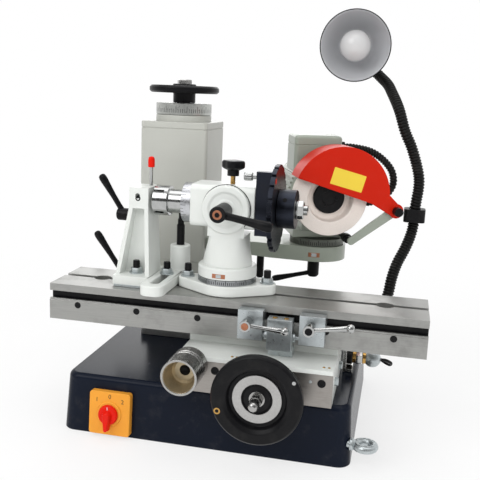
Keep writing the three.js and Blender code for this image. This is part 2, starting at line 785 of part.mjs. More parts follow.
function switchPlate() {
  const half = SWITCH_WIDTH / 2;
  const tall = SWITCH_HEIGHT / 2;
  const outline = (inset) => roundedOutline(
    -half + inset, half - inset, -tall + inset, tall - inset, SWITCH_CORNER,
  );
  const edge = SWITCH_COLLAR_THICKNESS / 2;
  const plate = loft([
    ringAt(outline(0), CLEAR),
    ringAt(outline(0), SWITCH_THICKNESS - edge),
    ringAt(outline(edge), SWITCH_THICKNESS),
  ]);
  const collar = rod(SWITCH_COLLAR, SWITCH_THICKNESS / 2, SWITCH_THICKNESS + SWITCH_COLLAR_THICKNESS);
  return cut(join(plate, collar), bore(SWITCH_STEM, SWITCH_THICKNESS / 3, SWITCH_THICKNESS * 2));
}

// The pointer knob hangs from its stem like a drop
function switchKnob() {
  const low = SWITCH_THICKNESS + SWITCH_COLLAR_THICKNESS + CLEAR;
  const taper = Math.asin((KNOB_RADIUS - KNOB_TIP) / KNOB_REACH);
  const drop = (inset) => [
    ...arc(0, 0, KNOB_RADIUS - inset, -taper, Math.PI + taper, FINE / 2),
    ...arc(0, -KNOB_REACH, KNOB_TIP - inset / 2, Math.PI + taper, 2 * Math.PI - taper, BEND),
  ];
  const grip = loft([
    ringAt(drop(0), low),
    ringAt(drop(0), low + KNOB_THICKNESS * 0.7),
    ringAt(drop(KNOB_TIP / 2), low + KNOB_THICKNESS),
  ]);
  return join(grip, rod(SWITCH_STEM, SWITCH_THICKNESS / 3 + CLEAR, low + KNOB_THICKNESS / 2, SMALL));
}

piece("switch_plate", switchPlate(), ORANGE, switchBox);
piece("switch_knob", switchKnob(), RED, switchBox);

// Bed with its two flat ways and the nut of the cross screw
const bedLeft = BED_X - BED_WIDTH / 2;
const bedRight = BED_X + BED_WIDTH / 2;
const bedBottom = BASE_HEIGHT + CLEAR;
const bedPlateTop = BASE_HEIGHT + BED_PLATE;

function bed() {
  const rail = (x) => block(x, x + RAIL_WIDTH, BED_FRONT, BED_BACK, bedPlateTop - CLEAR, RAIL_TOP);
  const nutLeft = SCREW_X - SCREW_NUT_WIDTH / 2;
  const nut = block(
    nutLeft, nutLeft + SCREW_NUT_WIDTH, SCREW_NUT_FRONT, SCREW_NUT_BACK, bedPlateTop - CLEAR,
    SCREW_NUT_TOP,
  );
  const thread = facingFront(bore(SCREW_RADIUS, -SCREW_NUT_BACK - CUT, -SCREW_NUT_FRONT + CUT));
  const body = join(
    block(bedLeft, bedRight, BED_FRONT, BED_BACK, bedBottom, bedPlateTop),
    rail(bedLeft + RAIL_INSET),
    rail(bedRight - RAIL_INSET - RAIL_WIDTH),
    nut,
  );
  return cut(body, thread.translate(SCREW_X, 0, SCREW_Z));
}

piece("bed", bed(), STEEL);

// Saddle: it straddles the two ways, and its top carries the table's dovetail
const tableRailMiddle = (TABLE_RAIL_FRONT + TABLE_RAIL_BACK) / 2;
const railTop = TABLE_BOTTOM - CLEAR;
const pinionPitch = (GEAR_MODULE * PINION_TEETH) / 2;
const pinionPocket = pinionPitch + GEAR_MODULE + 2 * CLEAR;

// Half outline of the dovetail, front side first, from its neck to its spread
function dovetailOutline(gap) {
  const neck = DOVETAIL_NECK / 2 + gap * 2;
  const spread = DOVETAIL_SPREAD / 2 + gap * 2;
  const top = railTop + DOVETAIL_HEIGHT + gap * 2;
  return [
    [tableRailMiddle - spread, top],
    [tableRailMiddle - neck, railTop],
    [tableRailMiddle - neck, railTop - SADDLE_LIP],
    [tableRailMiddle + neck, railTop - SADDLE_LIP],
    [tableRailMiddle + neck, railTop],
    [tableRailMiddle + spread, top],
  ];
}

function saddle() {
  const inner = SADDLE_FRONT + SADDLE_FRONT_WALL;
  const body = join(
    block(SADDLE_LEFT, SADDLE_RIGHT, SADDLE_FRONT, SADDLE_BACK, SADDLE_BOTTOM, SADDLE_TOP),
    block(
      SADDLE_LEFT, SADDLE_RIGHT, SADDLE_FRONT - SADDLE_LIP, SADDLE_FRONT + CUT,
      SADDLE_TOP - SADDLE_LIP_HEIGHT, SADDLE_TOP,
    ),
    block(SADDLE_LEFT, SADDLE_RIGHT, TABLE_RAIL_FRONT, TABLE_RAIL_BACK, SADDLE_TOP - CUT, railTop),
    alongX(dovetailOutline(0), SADDLE_LEFT, SADDLE_RIGHT),
  );
  const tunnelLeft = SCREW_X - SADDLE_TUNNEL_WIDTH / 2;
  const pinionBack = PINION_FRONT + PINION_WIDTH;
  const shaftBore = facingFront(bore(
    PINION_SHAFT, -PINION_SHAFT_BACK - CLEAR, -SADDLE_FRONT + SADDLE_LIP + CUT,
  ));
  const screwBore = facingFront(bore(SCREW_RADIUS, -inner - CUT, -SADDLE_FRONT + CUT));
  return cut(
    body,
    block(
      bedLeft - CLEAR, bedRight + CLEAR, inner, SADDLE_BACK + CUT, SADDLE_BOTTOM - CUT,
      bedPlateTop + CLEAR,
    ),
    block(
      bedLeft + RAIL_INSET - CLEAR, bedRight - RAIL_INSET + CLEAR, inner, SADDLE_BACK + CUT,
      SADDLE_BOTTOM, RAIL_TOP + CLEAR,
    ),
    block(
      tunnelLeft, tunnelLeft + SADDLE_TUNNEL_WIDTH, inner, SADDLE_BACK + CUT, SADDLE_BOTTOM,
      SADDLE_TUNNEL_TOP,
    ),
    block(
      PINION_X - pinionPocket, PINION_X + pinionPocket, PINION_FRONT - CLEAR, pinionBack + CLEAR,
      PINION_Z - pinionPocket, TABLE_BOTTOM,
    ),
    shaftBore.translate(PINION_X, 0, PINION_Z),
    screwBore.translate(SCREW_X, 0, SCREW_Z),
  );
}

function saddleFrontPlate() {
  const top = SADDLE_TOP - SADDLE_LIP_HEIGHT - CLEAR;
  const plate = block(
    SADDLE_LEFT, SADDLE_RIGHT, SADDLE_FRONT - SADDLE_LIP, SADDLE_FRONT - CLEAR, FRONT_PLATE_BOTTOM, top,
  );
  const hole = (radius, x, z) =>
    facingFront(bore(radius, -SADDLE_FRONT - CUT, -SADDLE_FRONT + SADDLE_LIP + CUT)).translate(x, 0, z);
  return cut(plate, hole(SCREW_RADIUS, SCREW_X, SCREW_Z), hole(PINION_SHAFT, PINION_X, PINION_Z));
}

piece("saddle", saddle(), WHITE);
piece("saddle_front_plate", saddleFrontPlate(), STEEL);

// Stop block: its tongue goes back under the table and sits on the saddle
function stopBlock() {
  const back = STOP_FRONT + STOP_THICKNESS;
  const tongueTop = STOP_FOOT + CUT;
  const outline = [
    [STOP_FRONT, STOP_FOOT],
    [back - CUT, STOP_FOOT],
    [back - CUT, SADDLE_TOP + CLEAR],
    [STOP_TONGUE_BACK, SADDLE_TOP + CLEAR],
    [STOP_TONGUE_BACK, tongueTop],
    [back, tongueTop],
    [back, STOP_TOP],
    [STOP_FRONT, STOP_TOP],
  ];
  return alongX(outline, STOP_LEFT, STOP_RIGHT);
}

piece("stop_block", stopBlock(), ZINC);

// Cross handwheel, its graduated ring and its screw, which turn together
const plateFace = SADDLE_FRONT - SADDLE_LIP;
const wheelBack = -plateFace + CLEAR;
const webFace = -WHEEL_RIM_FRONT - WHEEL_DISH;
const hubFace = webFace + WHEEL_HUB_RISE;

function crossHandwheel() {
  const rimFront = -WHEEL_RIM_FRONT;
  const rimBack = rimFront - WHEEL_RIM_THICKNESS;
  const ringSeat = webFace;
  return turned([
    [SCREW_RADIUS + CLEAR, wheelBack],
    [WHEEL_NECK, wheelBack],
    [WHEEL_NECK, wheelBack + WHEEL_RIM_CHAMFER * 2],
    [WHEEL_RING_OUTER, rimBack - WHEEL_RIM_CHAMFER * 4],
    [WHEEL_RIM_INNER, rimBack],
    [WHEEL_RADIUS - WHEEL_RIM_CHAMFER, rimBack],
    [WHEEL_RADIUS, rimBack + WHEEL_RIM_CHAMFER],
    [WHEEL_RADIUS, rimFront - WHEEL_RIM_CHAMFER],
    [WHEEL_RADIUS - WHEEL_RIM_CHAMFER, rimFront],
    [WHEEL_RIM_INNER + WHEEL_RIM_CHAMFER, rimFront],
    [WHEEL_RIM_INNER, rimFront - WHEEL_RIM_CHAMFER],
    [WHEEL_RIM_INNER, ringSeat],
    [WHEEL_HUB, ringSeat],
    [WHEEL_HUB, hubFace],
    [SCREW_RADIUS + CLEAR, hubFace],
    [SCREW_RADIUS + CLEAR, wheelBack],
  ], ROUND);
}

function handwheelDial() {
  const low = webFace + CLEAR;
  return tube(WHEEL_RING_OUTER, WHEEL_HUB + CLEAR, low, low + WHEEL_RING_THICKNESS, ROUND);
}

function crossScrew() {
  const washer = hubFace + CLEAR;
  const tip = -SCREW_NOSE_FRONT;
  const dome = arc(0, tip - SCREW_DOME, SCREW_DOME, 0, Math.PI / 2, BEND);
  return turned([
    [0, -SCREW_BACK],
    [SCREW_RADIUS, -SCREW_BACK],
    [SCREW_RADIUS, washer],
    [SCREW_WASHER, washer],
    [SCREW_WASHER, washer + SCREW_WASHER_THICKNESS],
    [SCREW_DOME, washer + SCREW_WASHER_THICKNESS],
    ...dome.slice(0, -1),
    [0, tip],
  ], FINE);
}

function onCrossAxis(geometry) {
  return facingFront(geometry).translate(SCREW_X, 0, SCREW_Z);
}

piece("cross_handwheel", onCrossAxis(crossHandwheel()), BLACK);
piece("handwheel_dial", onCrossAxis(handwheelDial()), ALUMINIUM);
piece("cross_screw", onCrossAxis(crossScrew()), ZINC);

// Traverse hub: a grooved cup on the pinion's shaft
function traverseHub() {
  const front = -HUB_FRONT;
  const step = (front - wheelBack) / (HUB_GROOVES + 1);
  const groove = (height) => [
    [HUB_RADIUS, height - HUB_GROOVE],
    [HUB_RADIUS - HUB_GROOVE, height],
    [HUB_RADIUS, height + HUB_GROOVE],
  ];
  const outside = turned([
    [0, wheelBack],
    [HUB_RADIUS - HUB_GROOVE, wheelBack],
    [HUB_RADIUS, wheelBack + HUB_GROOVE],
    ...Array.from({ length: HUB_GROOVES }, (_, i) => groove(wheelBack + (i + 1) * step)).flat(),
    [HUB_RADIUS, front - HUB_GROOVE],
    [HUB_RADIUS - HUB_GROOVE, front],
    [HUB_MOUTH, front],
    [HUB_HOLE, front - HUB_MOUTH_DEPTH],
    [HUB_HOLE, front - HUB_HOLE_DEPTH],
    [0, front - HUB_HOLE_DEPTH],
  ], ROUND);
  return cut(outside, bore(PINION_SHAFT, wheelBack - CUT, front - HUB_SEAT_DEPTH));
}

// Flank of an involute tooth: how far round the tooth's middle its half lies at a radius
const baseCircle = pinionPitch * Math.cos(PRESSURE_ANGLE);
const involute = (angle) => Math.tan(angle) - angle;

function toothHalf(radius) {
  const pressure = Math.acos(Math.min(1, baseCircle / radius));
  const thickness = (Math.PI * GEAR_MODULE) / 2 - GEAR_BACKLASH;
  return thickness / (2 * pinionPitch) + involute(PRESSURE_ANGLE) - involute(pressure);
}

function traversePinion() {
  const root = pinionPitch - 1.25 * GEAR_MODULE;
  const tip = pinionPitch + GEAR_MODULE;
  const radii = [root, pinionPitch, tip];
  const outline = [];
  for (let tooth = 0; tooth < PINION_TEETH; tooth += 1) {
    const middle = Math.PI / 2 + (2 * Math.PI * tooth) / PINION_TEETH;
    const point = (radius, side) => {
      const angle = middle + side * toothHalf(radius);
      return [radius * Math.cos(angle), radius * Math.sin(angle)];
    };
    outline.push(...radii.map((radius) => point(radius, -1)));
    outline.push(...radii.toReversed().map((radius) => point(radius, 1)));
  }
  const gear = alongY(outline, PINION_FRONT, PINION_FRONT + PINION_WIDTH);
  const shaftFront = -HUB_FRONT - HUB_SEAT_DEPTH - CLEAR;
  const shaft = facingFront(rod(PINION_SHAFT, -PINION_SHAFT_BACK, shaftFront, SMALL));
  return join(gear, shaft).translate(PINION_X, 0, PINION_Z);
}

piece("traverse_hub", facingFront(traverseHub()).translate(PINION_X, 0, PINION_Z), CHROME);
piece("traverse_pinion", traversePinion(), STEEL);

// Table, the rack under it and the dogs in its groove ride along the saddle
const frontProud = TABLE_FRONT - TABLE_PROUD;

function tableOutline() {
  const slot = SLOT_WIDTH / 2;
  const foot = SLOT_FOOT_WIDTH / 2;
  const slotFloor = TABLE_TOP - SLOT_NECK - SLOT_FOOT_HEIGHT;
  const grooveBack = TABLE_FRONT + GROOVE_NECK + GROOVE_FOOT;
  const tail = dovetailOutline(CLEAR).filter((_, i) => i !== 2 && i !== 3);
  return [
    [frontProud, TABLE_BOTTOM],
    [tail[1][0], TABLE_BOTTOM],
    tail[0],
    tail[3],
    [tail[2][0], TABLE_BOTTOM],
    [TABLE_BACK, TABLE_BOTTOM],
    [TABLE_BACK, TABLE_TOP],
    [SLOT_Y + slot, TABLE_TOP],
    [SLOT_Y + slot, TABLE_TOP - SLOT_NECK],
    [SLOT_Y + foot, TABLE_TOP - SLOT_NECK],
    [SLOT_Y + foot, slotFloor],
    [SLOT_Y - foot, slotFloor],
    [SLOT_Y - foot, TABLE_TOP - SLOT_NECK],
    [SLOT_Y - slot, TABLE_TOP - SLOT_NECK],
    [SLOT_Y - slot, TABLE_TOP],
    [TABLE_FRONT, TABLE_TOP],
    [TABLE_FRONT, GROOVE_TOP],
    [TABLE_FRONT + GROOVE_NECK, GROOVE_TOP],
    [TABLE_FRONT + GROOVE_NECK, GROOVE_TOP + GROOVE_FOOT_EXTRA],
    [grooveBack, GROOVE_TOP + GROOVE_FOOT_EXTRA],
    [grooveBack, GROOVE_BOTTOM - GROOVE_FOOT_EXTRA],
    [TABLE_FRONT + GROOVE_NECK, GROOVE_BOTTOM - GROOVE_FOOT_EXTRA],
    [TABLE_FRONT + GROOVE_NECK, GROOVE_BOTTOM],
    [TABLE_FRONT, GROOVE_BOTTOM],
    [TABLE_FRONT, GROOVE_BOTTOM - TABLE_PROUD * 2],
    [frontProud, GROOVE_BOTTOM - TABLE_PROUD * 2],
  ];
}

function table() {
  const pocket = (x) => rod(
    POCKET_RADIUS, TABLE_TOP - POCKET_DEPTH, TABLE_TOP + CUT,
  ).translate(x, SLOT_Y, 0);
  return cut(
    alongX(tableOutline(), TABLE_LEFT, TABLE_RIGHT), pocket(POCKET_LEFT_X), pocket(POCKET_RIGHT_X),
  );
}

function tableRack() {
  const pitch = Math.PI * GEAR_MODULE;
  const line = PINION_Z + pinionPitch;
  const tip = line - GEAR_MODULE;
  const root = line + 1.25 * GEAR_MODULE;
  const half = pitch / 4 - GEAR_BACKLASH / 2;
  const lean = Math.tan(PRESSURE_ANGLE);
  const left = RACK_MIDDLE_X - (RACK_TEETH * pitch) / 2;
  const teeth = Array.from({ length: RACK_TEETH }, (_, i) => {
    const middle = left + (i + 0.5) * pitch;
    const atTip = half - (line - tip) * lean;
    const atRoot = half + (root - line) * lean;
    return [
      [middle - atRoot, root], [middle - atTip, tip], [middle + atTip, tip], [middle + atRoot, root],
    ];
  }).flat();
  const right = left + RACK_TEETH * pitch;
  const top = TABLE_BOTTOM - CLEAR;
  const outline = [[left, root], ...teeth, [right, root], [right, top], [left, top]];
  return alongY(outline, PINION_FRONT, PINION_FRONT + PINION_WIDTH);
}

piece("table", table(), STEEL);
piece("table_rack", tableRack(), STEEL);

// A dog: a clamp block on the table's front, its foot in the groove, with its stop screw
function dog(x, screwSide) {
  const back = frontProud - CLEAR;
  const left = x - DOG_WIDTH / 2;
  const right = x + DOG_WIDTH / 2;
  const footBack = TABLE_FRONT + GROOVE_NECK + CLEAR;
  const neckTop = GROOVE_TOP - CLEAR;
  const neckBottom = GROOVE_BOTTOM + CLEAR;
  const footDepth = GROOVE_FOOT - 2 * CLEAR;
  const footTop = GROOVE_TOP + GROOVE_FOOT_EXTRA - CLEAR;
  const footBottom = GROOVE_BOTTOM - GROOVE_FOOT_EXTRA + CLEAR;
  const outline = [
    [DOG_FRONT, DOG_BOTTOM],
    [back, DOG_BOTTOM],
    [back, neckBottom],
    [footBack, neckBottom],
    [footBack, footBottom],
    [footBack + footDepth, footBottom],
    [footBack + footDepth, footTop],
    [footBack, footTop],
    [footBack, neckTop],
    [back, neckTop],
    [back, DOG_TOP],
    [DOG_FRONT, DOG_TOP],
  ];
  const side = screwSide > 0 ? right : left;
  const tip = screwSide > 0 ? STOP_LEFT : STOP_RIGHT;
  const gap = Math.abs(tip - side);
  const screw = join(
    rod(DOG_SCREW_SHANK, -DOG_WIDTH / 4, gap - DOG_SCREW_HEAD_LENGTH, SMALL),
    rod(DOG_SCREW_HEAD, gap - DOG_SCREW_HEAD_LENGTH - CLEAR * 2, gap - CLEAR * 2),
  );
  const turnedScrew = screwSide > 0 ? facingRight(screw) : facingLeft(screw);
  return join(alongX(outline, left, right), turnedScrew.translate(side, DOG_SCREW_Y, DOG_SCREW_Z));
}

// A dog's clamp lever: a hub, a thin neck and a ball
function dogLever(hubX, hubZ, tipX, tipZ) {
  const hub = facingFront(turned([
    [0, -DOG_FRONT + CLEAR],
    [DOG_LEVER_HUB * 0.8, -DOG_FRONT + CLEAR],
    [DOG_LEVER_HUB, -DOG_LEVER_Y - DOG_LEVER_HUB],
    [DOG_LEVER_HUB, -DOG_LEVER_Y + DOG_LEVER_HUB * 0.6],
    [DOG_LEVER_HUB * 0.6, -DOG_LEVER_Y + DOG_LEVER_HUB * 0.75],
    [0, -DOG_LEVER_Y + DOG_LEVER_HUB * 0.75],
  ])).translate(hubX, 0, hubZ);
  const from = at(hubX, DOG_LEVER_Y, hubZ);
  const to = at(tipX, DOG_LEVER_Y - DOG_LEVER_NECK, tipZ);
  const neckShares = [0, 0.3, 0.6, 0.85, 1];
  const swellShares = [1.9, 1.15, 1, 1.35, 1.5];
  const path = neckShares.map((share) => from.clone().lerp(to, share));
  const sizes = swellShares.map((share) => [DOG_LEVER_NECK * share, DOG_LEVER_NECK * share]);
  const ball = new THREE.SphereGeometry(DOG_LEVER_BALL, SMALL, 6).translate(to.x, to.y, to.z);
  return join(hub, limb(path, sizes, at(0, 1, 0)), ball);
}

piece("dog_left", dog(DOG_LEFT_X, 1), ZINC);
piece("dog_right", dog(DOG_RIGHT_X, -1), ZINC);
piece(
  "dog_lever_left",
  dogLever(DOG_LEVER_LEFT_X, DOG_LEVER_LEFT_Z, DOG_LEVER_LEFT_TIP_X, DOG_LEVER_LEFT_TIP_Z), CHROME,
);
piece(
  "dog_lever_right",
  dogLever(DOG_LEVER_RIGHT_X, DOG_LEVER_RIGHT_Z, DOG_LEVER_RIGHT_TIP_X, DOG_LEVER_RIGHT_TIP_Z), CHROME,
);

// Workhead, from its flange up
const onTable = TABLE_TOP + CLEAR;

function workheadBase() {
  const turn = Math.acos((FLANGE_RADIUS - FLANGE_EAR) / FLANGE_EAR_REACH);
  const outline = [
    ...arc(FLANGE_EAR_REACH, 0, FLANGE_EAR, -turn, turn, BEND * 2),
    ...arc(0, 0, FLANGE_RADIUS, turn, Math.PI - turn, BEND * 3),
    ...arc(-FLANGE_EAR_REACH, 0, FLANGE_EAR, Math.PI - turn, Math.PI + turn, BEND * 2),
    ...arc(0, 0, FLANGE_RADIUS, Math.PI + turn, 2 * Math.PI - turn, BEND * 3),
  ];
  const bolt = (x) => bore(FLANGE_BOLT, TABLE_TOP - CUT, FLANGE_TOP + CUT).translate(x, 0, 0);
  const plate = cut(
    raised(outline, onTable, FLANGE_TOP), bolt(FLANGE_EAR_REACH), bolt(-FLANGE_EAR_REACH),
  );
  return plate.translate(HEAD_X, SPINDLE_Y, 0);
}

function workheadPedestal() {
  const sides = ROUND;
  const oval = (z, halfX, front, back) => Array.from({ length: sides }, (_, k) => {
    const angle = (2 * Math.PI * k) / sides;
    const reach = Math.sin(angle) < 0 ? front : back;
    return at(HEAD_X + halfX * Math.cos(angle), SPINDLE_Y + reach * Math.sin(angle), z);
  });
  const turret = tube(
    SWIVEL_RING_RADIUS, 0, SWIVEL_RING_TOP + CLEAR, TURRET_TOP, ROUND,
  ).translate(HEAD_X, SPINDLE_Y, 0);
  const frontReach = SPINDLE_Y - NECK_FRONT;
  const neck = loft([
    oval(TURRET_TOP - CUT, NECK_BOTTOM, NECK_BOTTOM, NECK_BOTTOM),
    oval(TURRET_TOP + CUT, NECK_BOTTOM, NECK_BOTTOM, NECK_BOTTOM),
    oval(NECK_TOP_Z, NECK_TOP, frontReach, NECK_TOP),
  ]);
  const cheek = block(
    BOSS_X - NECK_TOP, BOSS_X + NECK_TOP, NECK_FRONT, HEAD_FRONT - CLEAR, NECK_TOP_Z - BOSS_DISH,
    BOSS_Z,
  );
  const boss = facingFront(turned([
    [0, -HEAD_FRONT + CLEAR],
    [BOSS_RADIUS, -HEAD_FRONT + CLEAR],
    [BOSS_RADIUS, -BOSS_FRONT - BOSS_DISH_DEPTH],
    [BOSS_RADIUS - BOSS_DISH_DEPTH, -BOSS_FRONT],
    [BOSS_DISH, -BOSS_FRONT],
    [BOSS_DISH - BOSS_DISH_DEPTH, -BOSS_FRONT - BOSS_DISH_DEPTH],
    [TILT_HUB_RADIUS + BOSS_DISH_DEPTH, -BOSS_FRONT - BOSS_DISH_DEPTH],
    [TILT_HUB_RADIUS, -BOSS_FRONT],
    [0, -BOSS_FRONT],
  ], ROUND)).translate(BOSS_X, 0, BOSS_Z);
  const stud = facingFront(bore(
    TILT_STUD, -HEAD_FRONT - CUT, -BOSS_FRONT + CUT,
  )).translate(BOSS_X, 0, BOSS_Z);
  return cut(join(turret, neck, cheek, boss), stud);
}

// Head body: bored for the spindle, for the tilt stud and for the star knob's screw
function workheadHead() {
  const outline = roundedOutline(HEAD_FRONT, HEAD_BACK, HEAD_BOTTOM, HEAD_TOP, HEAD_CORNER);
  const quill = facingRight(bore(
    SPINDLE_SHAFT, HEAD_LEFT - CUT, HEAD_RIGHT + CUT, ROUND,
  )).translate(0, SPINDLE_Y, SPINDLE_Z);
  const stud = facingFront(bore(
    TILT_STUD, -SPINDLE_Y + SPINDLE_SHAFT, -HEAD_FRONT + CUT,
  )).translate(BOSS_X, 0, BOSS_Z);
  const screw = bore(STAR_SCREW, SPINDLE_Z, HEAD_TOP + CUT).translate(STAR_X, SPINDLE_Y, 0);
  return cut(alongX(outline, HEAD_LEFT, HEAD_RIGHT), quill, stud, screw);
}

function tiltLever() {
  const hub = facingFront(turned([
    [0, -HEAD_FRONT - TILT_HUB_RADIUS],
    [TILT_STUD, -HEAD_FRONT - TILT_HUB_RADIUS],
    [TILT_STUD, -BOSS_FRONT + CLEAR],
    [TILT_HUB_RADIUS * 0.85, -BOSS_FRONT + CLEAR],
    [TILT_HUB_RADIUS * 0.85, -TILT_TIP_Y - TILT_HUB_RADIUS * 1.4],
    [TILT_HUB_RADIUS, -TILT_TIP_Y - TILT_HUB_RADIUS],
    [TILT_HUB_RADIUS, -TILT_HUB_FRONT - CUT],
    [TILT_HUB_RADIUS - CUT, -TILT_HUB_FRONT],
    [0, -TILT_HUB_FRONT],
  ])).translate(BOSS_X, 0, BOSS_Z);
  const from = at(BOSS_X, TILT_TIP_Y + TILT_HUB_RADIUS / 3, BOSS_Z);
  const arm = leverArm(
    from, at(TILT_TIP_X, TILT_TIP_Y, TILT_TIP_Z), LEVER_WIDTH, LEVER_WIDTH * 0.8, at(0, 1, 0),
  );
  return join(hub, arm);
}

// Star knob with four round lobes on a clamp screw
function starKnob() {
  const outline = Array.from({ length: STAR_STEPS }, (_, i) => {
    const angle = (2 * Math.PI * i) / STAR_STEPS;
    const reach = STAR_RADIUS * (1 - STAR_LOBE_SHARE * (1 - Math.cos(STAR_LOBES * angle)));
    return [reach * Math.cos(angle), reach * Math.sin(angle)];
  });
  const smaller = (share) => outline.map(([x, y]) => [x * share, y * share]);
  const grip = loft([
    ringAt(smaller(0.85), STAR_BOTTOM),
    ringAt(outline, STAR_BOTTOM + CUT),
    ringAt(outline, STAR_TOP - CUT),
    ringAt(smaller(0.85), STAR_TOP),
  ]);
  const hub = rod(STAR_HUB, STAR_HUB_BOTTOM, STAR_BOTTOM + CUT);
  const screw = rod(STAR_SCREW, HEAD_TOP - STAR_SCREW_DEPTH, STAR_BOTTOM, SMALL);
  return join(grip, hub, screw).translate(STAR_X, SPINDLE_Y, 0);
}

// Spindle: a bored shaft through the head, with a slotted nose
function spindle() {
  const body = turned([
    [SPINDLE_BORE, NOSE_LEFT],
    [NOSE_RADIUS - CUT, NOSE_LEFT],
    [NOSE_RADIUS, NOSE_LEFT + CUT],
    [NOSE_RADIUS, NOSE_SHOULDER],
    [NOSE_STEP_RADIUS, NOSE_SHOULDER],
    [NOSE_STEP_RADIUS, DIAL_LEFT - CLEAR],
    [SPINDLE_SHAFT, DIAL_LEFT - CLEAR],
    [SPINDLE_SHAFT, COLLAR_RIGHT],
    [SPINDLE_BORE, COLLAR_RIGHT],
    [SPINDLE_BORE, NOSE_LEFT],
  ], ROUND);
  const slots = Array.from({ length: NOSE_SLOTS }, (_, i) => {
    const slot = block(
      NOSE_STEP_RADIUS, NOSE_RADIUS + CUT, -NOSE_SLOT / 2, NOSE_SLOT / 2, NOSE_LEFT - CUT,
      NOSE_SHOULDER - NOSE_SLOT,
    );
    return slot.rotateZ((2 * Math.PI * (i + 0.5)) / NOSE_SLOTS);
  });
  return cut(body, ...slots);
}

const onSpindle = (geometry) => facingRight(geometry).translate(0, SPINDLE_Y, SPINDLE_Z);

function spindleDial() {
  const right = HEAD_LEFT - CLEAR;
  return turned([
    [SPINDLE_SHAFT + CLEAR, DIAL_LEFT],
    [DIAL_RADIUS - CUT, DIAL_LEFT],
    [DIAL_RADIUS, DIAL_LEFT + CUT],
    [DIAL_RADIUS, right],
    [SPINDLE_SHAFT + CLEAR, right],
    [SPINDLE_SHAFT + CLEAR, DIAL_LEFT],
  ], ROUND);
}

// Index housing behind the plate: a round boss on a flat pad that holds the plunger
function indexHousing() {
  const left = HEAD_RIGHT + CLEAR;
  const pinY = SPINDLE_Y - INDEX_PIN_OFFSET;
  const boss = facingRight(rod(
    INDEX_HOUSING_RADIUS, left, INDEX_HOUSING_RIGHT, ROUND,
  )).translate(0, SPINDLE_Y, SPINDLE_Z);
  const pad = block(
    left, INDEX_HOUSING_RIGHT, SPINDLE_Y - INDEX_HOUSING_RADIUS, SPINDLE_Y + INDEX_HOUSING_RADIUS,
    INDEX_HOUSING_BOTTOM, SPINDLE_Z,
  );
  const shaft = facingRight(bore(
    SPINDLE_SHAFT, left - CUT, INDEX_HOUSING_RIGHT + CUT, ROUND,
  )).translate(0, SPINDLE_Y, SPINDLE_Z);
  const pinZ = pinHeight();
  const lug = block(
    left, INDEX_HOUSING_RIGHT, pinY - INDEX_PIN_HEAD - CUT, pinY + INDEX_PIN_HEAD, SPINDLE_Z,
    pinZ + INDEX_PIN_HEAD + CUT,
  );
  const hole = facingRight(bore(
    INDEX_PIN_RADIUS, left - CUT, INDEX_HOUSING_RIGHT + CUT,
  )).translate(0, pinY, pinZ);
  return cut(join(boss, pad, lug), shaft, hole);
}

// Height of the plunger: it meets the plate just inside the rim
function pinHeight() {
  const reach = INDEX_PLATE_RADIUS - INDEX_PIN_HEAD * 2;
  return SPINDLE_Z + Math.sqrt(reach * reach - INDEX_PIN_OFFSET * INDEX_PIN_OFFSET);
}

function indexPin() {
  const stem = rod(INDEX_PIN_RADIUS, HEAD_RIGHT - INDEX_PIN_HEAD, INDEX_HOUSING_RIGHT, SMALL);
  const head = rod(INDEX_PIN_HEAD, HEAD_RIGHT - INDEX_PIN_HEAD * 3, HEAD_RIGHT - INDEX_PIN_HEAD);
  return facingRight(join(stem, head)).translate(0, SPINDLE_Y - INDEX_PIN_OFFSET, pinHeight());
}

// Index plate: a disc with a notch for each division
function indexPlate() {
  const notch = INDEX_NOTCH_DEPTH / INDEX_PLATE_RADIUS / 2;
  const outline = Array.from({ length: INDEX_NOTCHES }, (_, i) => {
    const middle = (2 * Math.PI * i) / INDEX_NOTCHES;
    const floor = INDEX_PLATE_RADIUS - INDEX_NOTCH_DEPTH;
    return [
      [floor, -notch], [floor, notch], [INDEX_PLATE_RADIUS, notch],
      [INDEX_PLATE_RADIUS, Math.PI / INDEX_NOTCHES],
    ]
      .concat([[INDEX_PLATE_RADIUS, (2 * Math.PI) / INDEX_NOTCHES - notch]])
      .map(([radius, turn]) => [radius * Math.cos(middle + turn), radius * Math.sin(middle + turn)]);
  }).flat();
  const hole = bore(SPINDLE_SHAFT, INDEX_PLATE_LEFT - CUT, INDEX_PLATE_RIGHT + CUT, ROUND);
  return cut(raised(outline, INDEX_PLATE_LEFT, INDEX_PLATE_RIGHT), hole);
}

function spindleCollar() {
  const left = INDEX_PLATE_RIGHT + CLEAR;
  const body = turned([
    [SPINDLE_SHAFT + CLEAR, left],
    [COLLAR_RADIUS, left],
    [COLLAR_RADIUS, COLLAR_RIGHT - CUT],
    [COLLAR_RADIUS - CUT, COLLAR_RIGHT],
    [SPINDLE_SHAFT + CLEAR, COLLAR_RIGHT],
    [SPINDLE_SHAFT + CLEAR, left],
  ], ROUND);
  const middle = (left + COLLAR_RIGHT) / 2;
  const hole = facingFront(rod(
    COLLAR_HOLE, SPINDLE_SHAFT, COLLAR_RADIUS + CUT, SMALL,
  )).translate(0, 0, middle);
  return cut(body, hole);
}

function drawbarNut() {
  const low = COLLAR_RIGHT + CLEAR;
  return join(
    rod(SPINDLE_SHAFT + CUT, low, low + CUT),
    hexagon(DRAWBAR_NUT, low + CLEAR, DRAWBAR_NUT_RIGHT),
    rod(DRAWBAR_RADIUS, HEAD_RIGHT, DRAWBAR_RIGHT, SMALL),
  );
}

